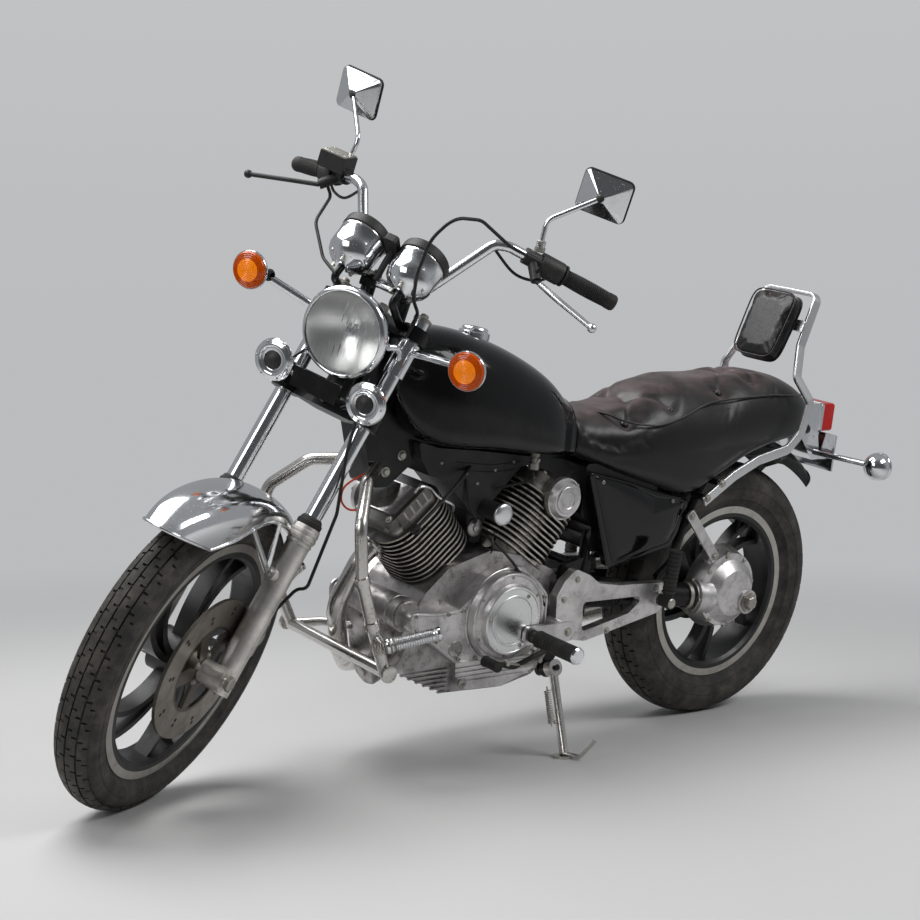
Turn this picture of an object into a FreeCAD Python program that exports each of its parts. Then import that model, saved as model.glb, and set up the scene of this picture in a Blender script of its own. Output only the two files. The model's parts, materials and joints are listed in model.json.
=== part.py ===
import FreeCAD, Part
import math
import os
from FreeCAD import Placement, Rotation, Vector

# A shaft-driven V-twin cruiser motorcycle, parked on its side stand with the front wheel
# turned to its left stop. Everything is modelled upright and straight ahead, in millimetres:
# +X forward, +Y to the rider's left, +Z up, zero on the ground midway between the axles.
# The front end is then turned about the steering axis and the whole machine leans onto its stand.

# Stance
wheelbase = 1525.0
lean_angle = 10.17
lock_angle = 31.0
rake_angle = 29.5
trail = 125.0
rear_fender_radius = 399.6
seat_gap = 0.3
running_gap = 5.0

# Wheels and tyres
front_tyre_radius = 331.0
front_tyre_half_width = 46.0
front_crown_radius = 52.0
front_rim_radius = 243.0
front_rim_half_width = 33.0
rear_tyre_radius = 320.0
rear_tyre_half_width = 65.0
rear_crown_radius = 80.0
rear_rim_radius = 206.0
rear_rim_half_width = 48.0
rim_wall = 7.0
rim_depth = 24.0
flange_height = 10.0
spoke_pairs = 5
spoke_width = 15.0
spoke_half_depth = 17.0
front_spoke_angles = ((-47.0, -31.0, -11.0), (-58.0, -45.0, -30.0))
rear_spoke_angles = ((38.0, 55.0, 73.0), (27.0, 40.0, 52.0))
hub_radius = 46.0
hub_half_width = 40.0
axle_radius = 8.5
front_hub_bore = axle_radius + seat_gap

# Brake disc on the left of the front wheel
disc_radius = 149.0
disc_inner_radius = 86.0
disc_thickness = 7.0
disc_centre = 60.0
disc_carrier_radius = 62.0
disc_arm_width = 26.0

# Fork
fork_tube_radius = 18.0
fork_slider_radius = 25.0
fork_half_spacing = 95.0
fork_offset = 15.0
slider_top = 694.0
tube_top = 1165.0
lower_clamp_along = 930.0
upper_clamp_along = 1128.0
clamp_depth = 30.0
axle_boss_radius = 24.0
axle_boss_reach = 21.0

# Steering head on the frame
head_tube_radius = 30.0
head_tube_gap = 22.0
head_tube_bottom = lower_clamp_along + head_tube_gap
head_tube_top = upper_clamp_along - head_tube_gap


def vec(x, y, z):
    return Vector(x, y, z)


# Places on the front end, found from the steering axis
rake = math.radians(rake_angle)
front_axle = vec(wheelbase / 2, 0, front_tyre_radius)
rear_axle = vec(-wheelbase / 2, 0, rear_tyre_radius)
steering_foot = vec(front_axle.x + trail, 0, 0)
steering_up = vec(-math.sin(rake), 0, math.cos(rake))
steering_ahead = vec(math.cos(rake), 0, math.sin(rake))
axle_along = (front_axle - steering_foot).dot(steering_up)
axle_lead = (front_axle - steering_foot).dot(steering_ahead)


def tail_point(behind, side, above):
    """A point given behind the rear axle and above the rear fender's crown."""
    return vec(rear_axle.x - behind, side, rear_axle.z + rear_fender_radius + above)


def fork_point(along, ahead, side):
    """A point given along the steering axis, ahead of it and to its left."""
    return steering_foot + steering_up * along + steering_ahead * ahead + vec(0, side, 0)


head = fork_point(upper_clamp_along, 0, 0)


def head_point(ahead, side, above):
    """A point given from the top of the steering head, level with the ground."""
    return head + vec(ahead, side, above)


# Wheels, brakes and fork
drum_radius = 95.0
drum_width = 66.0
rear_axle_radius = 9.0
rear_hub_bore = rear_axle_radius + seat_gap
slider_bottom = axle_along - 28.0
caliper_along = axle_along + 105.0
fender_wall = 3.0
fender_arch = ((0.0, 0.0), (0.3, 0.025), (0.58, 0.11), (0.8, 0.27), (0.93, 0.52), (0.985, 0.78), (1.0, 1.0))
fender_stations = (((58.0, 403.0), (70.5, 308.0), 57.0), ((66.0, 401.0), (76.0, 305.0), 66.0),
                   ((75.0, 391.0), (83.0, 303.0), 71.0), ((86.0, 377.0), (91.0, 307.0), 72.0),
                   ((98.0, 367.0), (100.0, 313.0), 70.0), ((111.0, 361.0), (111.0, 317.0), 66.0),
                   ((124.0, 358.0), (124.0, 318.0), 62.0), ((137.0, 358.0), (137.0, 318.0), 62.0))
fender_stay_tops = ((93.0, 310.0, 71.0), (115.0, 320.0, 64.0))
stem_radius = 14.0

# Bars, lamps and instruments
riser_half_spacing = 42.0
bar_radius = 11.0
bar_bend_radius = 38.0
bar_clamp = head_point(-8.0, 0.0, 72.0)
bar_bend = head_point(-88.0, 158.0, 222.0)
bar_knee = head_point(-100.0, 185.0, 226.0)
bar_end = head_point(-227.0, 386.0, 174.0)
grip_length = 118.0
grip_radius = 16.0
pod_length = 52.0
perch_radius = 11.0
lever_pivot = head_point(-100.0, 262.0, 184.0)
lever_bend = head_point(-84.0, 320.0, 172.0)
lever_tip = head_point(-72.0, 414.0, 150.0)
mirror_foot = head_point(-141.0, 234.0, 231.1)
mirror_bend = head_point(-145.0, 226.0, 296.0)
mirror_centre = head_point(-232.0, 296.0, 370.0)
mirror_width = 104.0
mirror_height = 88.0
mirror_depth = 32.0
plate_depth = 8.0
plate_width = 106.0
plate_height = 42.0
plate_centre = head_point(186.0, 0.0, -113.0)
horn_centre = head_point(178.0, 109.0, -108.0)
horn_radius = 43.0
horn_depth = 34.0
headlight_front = head_point(139.0, 0.0, -8.0)
headlight_radius = 92.0
headlight_depth = 80.0
headlight_side = headlight_front - vec(44, 0, 0)
gauge_face = head_point(26.0, 68.0, 154.0)
gauge_radius = 53.0
gauge_depth = 84.0
gauge_tilt = 42.0
signal_centre = head_point(97.0, 257.0, 15.0)
signal_radius = 39.0
cable_radius = 3.5

# Frame
rail_half_spacing = 62.0
tail_end = tail_point(222.5, 0.0, 6.4)
spine_half_width = 34.0
tunnel_half_width = 42.0
tank_mount = vec(150.0, 0.0, 792.0)
stay_side = 104.0
stay_radius = 11.0
rail_side = 146.0
hoop_thickness = 9.0
hoop_bolts = ((-559.0, 593.0), (-603.0, 626.0))
cover_low = 96.0
cover_thickness = 16.0
cover_peg = vec(-281.0, 0.0, 560.0)
strut_top = vec(-542.0, 0.0, 545.0)
strut_low = 122.0
strut_thickness = 5.0
strut_foot = vec(-638.0, 0.0, 440.0)
strut_width = 26.0
pivot = vec(-232.0, 0.0, 372.0)
pivot_radius = 14.0
stay_bend = 30.0
battery_half_width = 88.0

# Tank and seat sections: places from back to front, heights, half widths
section_points = 24
tank_top_power = 2.7
tank_low_power = 6.0
tank_widest = 0.24
tank_tail = vec(-176.0, 0.0, 694.0)
tank_stations = ((0.98, 0.57, 0.834, 60.0), (0.929, 0.368, 0.907, 84.0), (0.862, 0.229, 0.938, 100.0),
                 (0.74, 0.139, 0.966, 122.0), (0.504, 0.104, 0.896, 134.0), (0.268, 0.049, 0.737, 128.0),
                 (0.091, 0.017, 0.549, 108.0), (0.0, 0.003, 0.438, 92.0))
seat_top_power = 2.6
seat_low_power = 7.0
seat_widest = 0.35
seat_hollow_half_width = 96.0
seat_stations = ((-184, 694, 792, 86), (-250, 671, 786, 106), (-340, 641, 812, 130), (-430, 615, 850, 141),
                 (-520, 594, 858, 143), (-620, 630, 860, 135), (-720, 675, 872, 129), (-820, 700, 870, 122),
                 (-900, 712, 848, 112), (-955, 720, 816, 88), (-984, 732, 780, 56))

# Tail
rear_fender_half_width = 79.0
rear_signal_centre = tail_point(337.5, 205.0, -63.6)
rear_signal_radius = 34.0
plate_back = tail_point(313.5, 0, 0).x
plate_hole_spacing = 140.0
plate_hole_height = tail_point(0, 0, -25.6).z
plate_hole_radius = 3.5

# Engine and drive
crank = vec(38.0, 0.0, 362.0)
case_half_width = 98.0
cover_face = 134.0
front_cylinder_tilt = 41.0
rear_cylinder_tilt = -34.0
front_cylinder_side = 0.0
rear_cylinder_side = 24.0
fin_count = 12
fin_pitch = 12.0
fin_thickness = 4.0
fin_start = 148.0
front_fin_half_length = 87.0
front_fin_half_width = 79.0
rear_fin_half_length = 98.0
rear_fin_half_width = 84.0
fin_corner = 56.0
cam_height = 300.0
cam_cover_radius = 47.0
port_height = 262.0
port_radius = 27.0
front_port = vec(front_fin_half_length + 2, -8, port_height)
rear_port = vec(-rear_fin_half_length - 2, -30, port_height)
starter = vec(250.0, 0.0, 374.0)
starter_radius = 36.0
lower_cover_face = 116.0
dish_centre = vec(16.0, 0.0, 364.0)
disc_middle = vec(12.0, 0.0, 359.0)
muffler_side = -230.0
muffler_radius = 38.0
pipe_radius = 20.0
guard_radius = 13.0
shaft_end = vec(-594.0, 101.3, 340.1)
shaft_tube_radius = 28.0
axle_end = 150.0
drive_centre = vec(-708.0, 0.0, 350.0)
drive_radius = 104.0
cleaner_half_width = 60.0

# Footrests and side stand
bracket_face = 136.0
bracket_depth = 22.0
peg_arm_face = 177.0
peg_place = vec(-36.0, 0.0, 324.0)
stand_pivot = vec(-166.0, 116.0, 216.0)
stand_axis = vec(0.0, 0.925, 0.379)
stand_fold_angle = 86.0
stand_foot_floor = vec(-144.0, 212.0, 0.0)
stand_eye_half = 11.0
stand_eye_radius = 19.0
stand_pin_radius = 7.0
stand_spring_share = 0.6
stand_spring_gap = 24.0


# Basic solids

def cylinder(start, end, radius):
    return Part.makeCylinder(radius, (end - start).Length, start, end - start)


def tube(start, end, radius, inner_radius):
    return cylinder(start, end, radius).cut(cylinder(start, end, inner_radius))


def cone(start, end, start_radius, end_radius):
    return Part.makeCone(start_radius, end_radius, (end - start).Length, start, end - start)


def across(x, z, low, high, radius):
    """A cylinder across the motorcycle between two side positions."""
    return cylinder(vec(x, low, z), vec(x, high, z), radius)


def joined(shapes):
    solid = shapes[0].fuse(shapes[1:]) if len(shapes) > 1 else shapes[0]
    return solid.removeSplitter()


def mirrored(shape):
    return shape.mirror(vec(0, 0, 0), vec(0, 1, 0))


def both_sides(shape):
    return Part.makeCompound([shape, mirrored(shape)])


def corner_arc(before, at, after, radius):
    """Start, middle and end of the arc that rounds one corner of a path."""
    back = (before - at).normalize()
    ahead = (after - at).normalize()
    half = back.getAngle(ahead) / 2
    longest = 0.45 * min(before.distanceToPoint(at), after.distanceToPoint(at))
    cut = min(radius / math.tan(half), longest)
    centre_way = (back + ahead).normalize()
    middle_reach = cut / math.cos(half) - cut * math.tan(half)
    return at + back * cut, at + centre_way * middle_reach, at + ahead * cut


def rounded_wire(points, radius):
    """A closed outline with every corner rounded."""
    arcs = []
    for number, point in enumerate(points):
        arcs.append(corner_arc(points[number - 1], point, points[(number + 1) % len(points)], radius))
    edges = []
    for number, (start, middle, end) in enumerate(arcs):
        edges.append(Part.Arc(start, middle, end).toShape())
        edges.append(Part.makeLine(end, arcs[(number + 1) % len(arcs)][0]))
    return Part.Wire(edges)


def side_plate(outline, low, high, radius):
    """A side-view outline of x and z pairs, as thick as from low to high across the machine."""
    wire = rounded_wire([vec(x, low, z) for x, z in outline], radius)
    return Part.Face(wire).extrude(vec(0, high - low, 0))


def bent_path(points, bend):
    edges = []
    last = points[0]
    for before, at, after in zip(points, points[1:], points[2:]):
        start, middle, end = corner_arc(before, at, after, bend)
        edges.append(Part.makeLine(last, start))
        edges.append(Part.Arc(start, middle, end).toShape())
        last = end
    edges.append(Part.makeLine(last, points[-1]))
    return Part.Wire(edges)


def rod(points, radius, bend):
    """A round bar or tube along straight runs joined by bends."""
    if len(points) == 2:
        return cylinder(points[0], points[1], radius)
    profile = Part.Wire(Part.makeCircle(radius, points[0], points[1] - points[0]))
    return bent_path(points, bend).makePipeShell([profile], True, False)


def flat_bar(points, width, thickness, bend):
    """A flat bar whose broad side faces sideways where it starts."""
    way = (points[1] - points[0]).normalize()
    flat = vec(0, 1, 0)
    edge = way.cross(flat).normalize()
    corners = []
    for along_edge, along_flat in ((-1, -1), (1, -1), (1, 1), (-1, 1)):
        corners.append(points[0] + edge * (along_edge * width / 2) + flat * (along_flat * thickness / 2))
    profile = rounded_wire(corners, thickness / 4)
    return bent_path(points, bend).makePipeShell([profile], True, False)


def turned(profile, centre, axis):
    """A full turn of a closed outline about an axis."""
    return Part.Face(Part.makePolygon(profile + profile[:1])).revolve(centre, axis, 360)


def oval_section(x, low, high, half_width, top_power, low_power, widest):
    """A closed section across the machine, widest at a share of its height; a higher power fills the corners."""
    points = []
    middle = low + (high - low) * widest
    for step in range(section_points):
        turn = 2 * math.pi * step / section_points
        upper = math.sin(turn) > 0
        power = 2 / (top_power if upper else low_power)
        reach = half_width * math.copysign(abs(math.cos(turn)) ** power, math.cos(turn))
        height = high - middle if upper else middle - low
        rise = height * math.copysign(abs(math.sin(turn)) ** power, math.sin(turn))
        points.append(vec(x, reach, middle + rise))
    curve = Part.BSplineCurve()
    curve.interpolate(Points=points, PeriodicFlag=True)
    return Part.Wire(curve.toShape())


def lofted(sections):
    return Part.makeLoft(sections, True, False)


# Wheels

def wheel_ring(profile, centre):
    """A ring from radius and side pairs, turned about an axle."""
    points = [vec(centre.x + radius, side, centre.z) for radius, side in profile]
    return turned(points, centre, vec(0, 1, 0))


def tyre(centre, radius, half_width, crown_radius, rim_radius, rim_half_width):
    """A round-shouldered tyre seated on its rim."""
    bead = rim_radius + seat_gap
    crown = radius - crown_radius
    shoulder = math.sqrt(max(crown_radius ** 2 - (half_width * 0.8) ** 2, 1.0))
    seat_width = rim_half_width - rim_wall - 2 * seat_gap
    top = vec(centre.x + radius, 0, centre.z)
    side = vec(centre.x + crown + shoulder, half_width * 0.8, centre.z)
    wide = vec(centre.x + (radius + bead) / 2, half_width, centre.z)
    low = vec(centre.x + bead, seat_width, centre.z)
    halfway = vec(centre.x + crown + crown_radius * math.cos(math.asin(0.4 * half_width / crown_radius)),
                  0.4 * half_width, centre.z)
    lower = vec(centre.x + bead + (radius - bead) * 0.3, half_width * 0.94, centre.z)
    edge = vec(centre.x + rim_radius + flange_height + 1, rim_half_width - 1, centre.z)
    edges = [Part.Arc(top, halfway, side).toShape(), Part.makeLine(side, wide),
             Part.makeLine(wide, lower), Part.makeLine(lower, edge), Part.makeLine(edge, low)]
    half = Part.Wire(edges)
    other = half.mirror(vec(0, 0, 0), vec(0, 1, 0))
    foot = Part.makeLine(low, vec(low.x, -low.y, low.z))
    outline = Part.Wire(Part.__sortEdges__(half.Edges + [foot] + other.Edges))
    return Part.Face(outline).revolve(centre, vec(0, 1, 0), 360)


def rim_profile(rim_radius, half_width):
    """The rim's outline from one flange to the other."""
    outer = rim_radius + flange_height
    bed = rim_radius
    inner = rim_radius - rim_depth
    lip = half_width - rim_wall
    return [(outer, half_width), (bed, lip), (bed, -lip), (outer, -half_width),
            (inner + rim_wall, -half_width), (inner, -half_width + rim_wall),
            (inner, half_width - rim_wall), (inner + rim_wall, half_width)]


def polar(centre, radius, angle, side):
    turn = math.radians(angle)
    return vec(centre.x + radius * math.cos(turn), side, centre.z + radius * math.sin(turn))


def spoke(centre, inner_radius, outer_radius, angles, half_depth):
    """One curved spoke whose angle swings round from the hub to the rim."""
    middle_radius = (inner_radius + outer_radius) / 2
    radii = (inner_radius, middle_radius, outer_radius)
    sides = []
    for turn_way in (-1, 1):
        points = []
        for radius, angle in zip(radii, angles):
            swing = math.degrees(turn_way * spoke_width / 2 / radius)
            points.append(polar(centre, radius, angle + swing, -half_depth))
        sides.append(points)
    first, second = sides
    edges = [Part.Arc(first[0], first[1], first[2]).toShape(), Part.makeLine(first[2], second[2]),
             Part.Arc(second[2], second[1], second[0]).toShape(), Part.makeLine(second[0], first[0])]
    return Part.Face(Part.Wire(edges)).extrude(vec(0, 2 * half_depth, 0))


def wheel_casting(centre, rim_radius, rim_half_width, spoke_angles, bore):
    """Rim, hub and pairs of swept spokes cast in one piece."""
    rim = wheel_ring(rim_profile(rim_radius, rim_half_width), centre)
    hub = across(centre.x, centre.z, -hub_half_width, hub_half_width, hub_radius)
    pieces = [rim, hub]
    spoke_end = rim_radius - rim_depth + rim_wall / 2
    for number in range(spoke_pairs):
        step = 360 / spoke_pairs * number
        for angles in spoke_angles:
            swung = [angle + step for angle in angles]
            pieces.append(spoke(centre, hub_radius - rim_wall, spoke_end, swung, spoke_half_depth))
    casting = joined(pieces)
    return casting.cut(across(centre.x, centre.z, -hub_half_width, hub_half_width, bore))


def front_tyre():
    return tyre(front_axle, front_tyre_radius, front_tyre_half_width, front_crown_radius,
                front_rim_radius, front_rim_half_width)


def rear_tyre():
    return tyre(rear_axle, rear_tyre_radius, rear_tyre_half_width, rear_crown_radius,
                rear_rim_radius, rear_rim_half_width)


def front_wheel_casting():
    return wheel_casting(front_axle, front_rim_radius, front_rim_half_width,
                         front_spoke_angles, front_hub_bore)


def rear_wheel_casting():
    casting = wheel_casting(rear_axle, rear_rim_radius, rear_rim_half_width,
                            rear_spoke_angles, rear_hub_bore)
    drum = across(rear_axle.x, rear_axle.z, -drum_width, -hub_half_width + 1, drum_radius)
    return casting.fuse(drum.cut(across(rear_axle.x, rear_axle.z, -drum_width, 0, rear_hub_bore)))


def brake_disc():
    """A ring on five arms bolted to the hub."""
    low = disc_centre - disc_thickness / 2
    high = disc_centre + disc_thickness / 2
    ring = across(front_axle.x, front_axle.z, low, high, disc_radius)
    ring = ring.cut(across(front_axle.x, front_axle.z, low, high, disc_inner_radius))
    carrier = across(front_axle.x, front_axle.z, hub_half_width + seat_gap, high, hub_radius - rim_wall)
    arms = []
    for number in range(spoke_pairs):
        end = polar(front_axle, disc_inner_radius + rim_wall, 360 / spoke_pairs * number, 0)
        start = polar(front_axle, hub_radius / 2, 360 / spoke_pairs * number, 0)
        way = (end - start).normalize()
        flat = vec(way.z, 0, -way.x) * (disc_arm_width / 2)
        outline = [start + flat, end + flat, end - flat, start - flat]
        outline = [point + vec(0, low, 0) for point in outline]
        arms.append(Part.Face(Part.makePolygon(outline + outline[:1])).extrude(vec(0, disc_thickness, 0)))
    disc = joined([ring, carrier] + arms)
    return disc.cut(across(front_axle.x, front_axle.z, low - hub_radius, high, front_hub_bore))


def fork_tubes():
    tubes = []
    for side in (-fork_half_spacing, fork_half_spacing):
        tubes.append(cylinder(fork_point(slider_top + seat_gap, fork_offset, side),
                              fork_point(tube_top, fork_offset, side), fork_tube_radius))
    return Part.makeCompound(tubes)


def fork_slider(side):
    """A cast lower leg with its boss for the axle carried ahead of the tube."""
    leg = cylinder(fork_point(slider_bottom, fork_offset, side),
                   fork_point(slider_top, fork_offset, side), fork_slider_radius)
    collar = cylinder(fork_point(slider_top - 34, fork_offset, side),
                      fork_point(slider_top - 4, fork_offset, side), fork_slider_radius + 3)
    inner = hub_half_width + running_gap + (disc_centre - hub_half_width if side > 0 else 0)
    inner = math.copysign(inner, side)
    outer = math.copysign(fork_half_spacing + axle_boss_reach, side)
    low, high = min(inner, outer), max(inner, outer)
    boss = across(front_axle.x, front_axle.z, low, high, axle_boss_radius)
    web = cylinder(fork_point(axle_along + 4, fork_offset, side),
                   fork_point(axle_along, axle_lead, side), axle_boss_radius - 6)
    lug = cylinder(fork_point(axle_along + 225, fork_offset, side),
                   fork_point(axle_along + 225, fork_offset + 34, side * 0.9), 13)
    return joined([leg, collar, boss, web, lug])


def fork_sliders():
    axle_length = fork_half_spacing + axle_boss_reach + 4
    axle = across(front_axle.x, front_axle.z, -axle_length, axle_length, axle_radius)
    nut = across(front_axle.x, front_axle.z, -axle_length - 8, -axle_length + 6, 15)
    return joined([fork_slider(fork_half_spacing), fork_slider(-fork_half_spacing), axle, nut])


def clamp_plate(along, ahead_reach, behind_reach):
    """One bridge between the fork tubes, with a ring round each."""
    low = along - clamp_depth / 2
    pieces = []
    for side in (-fork_half_spacing, fork_half_spacing):
        pieces.append(cylinder(fork_point(low, fork_offset, side),
                               fork_point(low + clamp_depth, fork_offset, side), fork_tube_radius + 12))
    corners = [(ahead_reach, -fork_half_spacing), (ahead_reach, fork_half_spacing),
               (-behind_reach, 34.0), (-behind_reach, -34.0)]
    wire = rounded_wire([fork_point(low, ahead, side) for ahead, side in corners], 12)
    pieces.append(Part.Face(wire).extrude(steering_up * clamp_depth))
    return joined(pieces)


def triple_clamps():
    """Upper and lower fork bridges, the steering stem and the brackets they carry."""
    upper = clamp_plate(upper_clamp_along, 30, 28)
    lower = clamp_plate(lower_clamp_along, 30, 28)
    stem = cylinder(fork_point(lower_clamp_along, 0, 0), fork_point(upper_clamp_along + 24, 0, 0),
                    stem_radius)
    tube_holes = []
    for side in (-fork_half_spacing, fork_half_spacing):
        tube_holes.append(cylinder(fork_point(slider_top, fork_offset, side),
                                   fork_point(tube_top + 5, fork_offset, side),
                                   fork_tube_radius + seat_gap))
    risers = []
    for side in (-riser_half_spacing, riser_half_spacing):
        foot = fork_point(upper_clamp_along + clamp_depth / 2 - 2, 0, side)
        risers.append(cylinder(foot, vec(bar_clamp.x, side, bar_clamp.z), 15))
    bar_hole = rod(bar_path(), bar_radius + seat_gap, bar_bend_radius)
    yoke = [cylinder(fork_point(lower_clamp_along, 25, 0), plate_centre - vec(plate_depth / 2, 0, 0), 9)]
    for side in (-1, 1):
        horn_back = side_of(horn_centre, side) - vec(horn_depth + seat_gap, 0, 0)
        yoke.append(rod([fork_point(lower_clamp_along, 25, side * 40), horn_back - vec(24, 0, 0), horn_back], 6, 12))
        yoke.append(rod([fork_point(upper_clamp_along, 0, side * 62), gauge_back(side) - gauge_axis() * 26,
                         gauge_back(side)], 8, 20))
    badge = Part.makeBox(plate_depth, plate_width, plate_height,
                         plate_centre - vec(plate_depth / 2, plate_width / 2, plate_height / 2))
    return joined([upper, lower, stem, badge] + risers + yoke).cut(tube_holes + [bar_hole])


def gauge_axis():
    tilt = math.radians(gauge_tilt)
    return vec(-math.cos(tilt), 0, math.sin(tilt))


def gauge_back(side):
    centre = vec(gauge_face.x, side * gauge_face.y, gauge_face.z)
    return centre - gauge_axis() * (gauge_depth + seat_gap)


def along_line(start, end, share):
    return start + (end - start) * share


def side_of(point, side):
    return vec(point.x, point.y * side, point.z)


def bar_path():
    half = [vec(bar_clamp.x, riser_half_spacing + 18, bar_clamp.z), bar_bend, bar_knee, bar_end]
    return [side_of(point, -1) for point in reversed(half)] + half


def handlebar():
    """One tube pulled up and back, with a bend above each riser and one before each grip."""
    return rod(bar_path(), bar_radius, bar_bend_radius)


def bar_way():
    return (bar_end - bar_knee).normalize()


def grips():
    left_start = bar_end - bar_way() * grip_length
    grip = tube(left_start, bar_end, grip_radius, bar_radius + seat_gap)
    cap = cylinder(bar_end + bar_way() * seat_gap, bar_end + bar_way() * 9, grip_radius - 2)
    flange = tube(left_start, left_start + bar_way() * 5, grip_radius + 7, bar_radius + seat_gap)
    return both_sides(Part.makeCompound([joined([grip, flange]), cap]))


def control_pods():
    """Switch housings beside the grips, the lever brackets and the front brake reservoir."""
    way = bar_way()
    pieces = []
    for side in (-1, 1):
        outer = side_of(bar_end - way * (grip_length + 3), side)
        inner = side_of(bar_end - way * (grip_length + 3 + pod_length), side)
        perch = side_of(bar_end - way * (grip_length + pod_length + 38), side)
        pod = cylinder(inner, outer, 22)
        bracket = cylinder(perch, inner, 17)
        nose = cylinder(along_line(perch, inner, 0.5), side_of(lever_pivot, side), perch_radius)
        body = joined([pod, bracket, nose])
        if side < 0:
            low = side_of(along_line(bar_end, bar_knee, 0.68), side) + vec(-14, -32, 12)
            body = joined([body, Part.makeBox(54, 62, 34, low)])
        core = cylinder(side_of(bar_knee, side), side_of(bar_end, side), bar_radius + seat_gap)
        pieces.append(body.cut(core))
        blade = rod([side_of(lever_pivot, side), side_of(lever_bend, side), side_of(lever_tip, side)], 5, 60)
        ball = Part.makeSphere(9, side_of(lever_tip, side))
        pieces.append(joined([blade, ball]).cut(body))
    return Part.makeCompound(pieces)


def mirror_frame(side):
    """Placement of a mirror head, its glass facing back towards the rider."""
    turn = Rotation(vec(0, 0, 1), side * 8.0).multiply(Rotation(vec(0, 1, 0), 6.0))
    return Placement(side_of(mirror_centre, side), turn)


def mirror_outline(depth, share):
    half_width = mirror_width / 2 * share
    half_height = mirror_height / 2 * share
    corners = [vec(depth, -half_width, -half_height), vec(depth, half_width, -half_height),
               vec(depth, half_width, half_height), vec(depth, -half_width, half_height)]
    return rounded_wire(corners, 12 * share)


def mirrors():
    """Rectangular mirror shells with pyramid backs on bent stalks."""
    pieces = []
    for side in (-1, 1):
        rim = lofted([mirror_outline(0, 1), mirror_outline(8, 1)])
        back = lofted([mirror_outline(8, 1), mirror_outline(mirror_depth, 0.18)])
        shell = joined([rim, back])
        shell.Placement = mirror_frame(side).multiply(shell.Placement)
        neck = mirror_frame(side).multVec(vec(mirror_depth - 6, 0, 0))
        stalk = rod([side_of(mirror_foot, side), side_of(mirror_bend, side), neck], 5, 30)
        nut = cylinder(side_of(mirror_foot, side), along_line(side_of(mirror_foot, side),
                       side_of(mirror_bend, side), 0.3), 9)
        pieces.append(joined([shell, stalk, nut]))
    return Part.makeCompound(pieces).cut(control_pods())


def mirror_glasses():
    pieces = []
    for side in (-1, 1):
        glass = lofted([mirror_outline(-2.3, 0.94), mirror_outline(-seat_gap, 0.94)])
        glass.Placement = mirror_frame(side).multiply(glass.Placement)
        pieces.append(glass)
    return Part.makeCompound(pieces)


def headlight_shell():
    """A deep bucket with a raised rim round the lens."""
    rim_width = 14.0
    profile = [(0, headlight_radius - 9), (0, headlight_radius), (-rim_width, headlight_radius + 2),
               (-rim_width - 4, headlight_radius - 4)] + headlight_back(0) + [
               (-30, 0), (-12, headlight_radius - 12)]
    points = [headlight_front + vec(ahead, 0, radius) for ahead, radius in profile]
    return turned(points, headlight_front, vec(1, 0, 0))


def headlight_back(gap):
    """Depth and radius pairs of the bucket's tapered back, grown by a gap."""
    return [(-headlight_depth * 0.55, headlight_radius - 10 + gap), (-headlight_depth * 0.8, headlight_radius * 0.52 + gap),
            (-headlight_depth - gap, headlight_radius * 0.26 + gap), (-headlight_depth - gap, 0)]


def headlight_room():
    """Room round the bucket for what holds it."""
    profile = [(0, 0), (0, headlight_radius + 2 + seat_gap), (-14, headlight_radius + 2 + seat_gap),
               (-18, headlight_radius - 4 + seat_gap)] + headlight_back(seat_gap)
    points = [headlight_front + vec(ahead, 0, radius) for ahead, radius in profile]
    return turned(points, headlight_front, vec(1, 0, 0))


def headlight_lens():
    """A domed glass inside the rim."""
    radius = headlight_radius - 9 - seat_gap
    profile = [(-10, 0), (-10, radius - 3), (0, radius - 1), (7, radius * 0.6), (10, 0)]
    points = [headlight_front + vec(ahead, 0, out) for ahead, out in profile]
    return turned(points, headlight_front, vec(1, 0, 0))


def gauge_cups():
    """Chromed instrument cups with dark rims and flat faces."""
    pieces = []
    axis = gauge_axis()
    for side in (-1, 1):
        face = side_of(gauge_face, side)
        out = vec(0, 1, 0)
        cup = [(0, 0), (0, gauge_radius - 3), (-46, gauge_radius - 3), (-68, gauge_radius * 0.72),
               (-gauge_depth, gauge_radius * 0.3), (-gauge_depth, 0)]
        points = [face + axis * depth + out * radius for depth, radius in cup]
        pieces.append(turned(points, face, axis))
        ring = [(seat_gap, 0), (seat_gap, gauge_radius), (20, gauge_radius), (24, gauge_radius - 4),
                (24, gauge_radius - 8), (14, gauge_radius - 10), (14, 0)]
        points = [face + axis * depth + out * radius for depth, radius in ring]
        pieces.append(turned(points, face, axis))
    return Part.makeCompound(pieces)


def between_clamps(share):
    """A place along the fork, from 0 at the lower bridge to 1 at the upper one."""
    return lower_clamp_along + (upper_clamp_along - lower_clamp_along) * share


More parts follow.
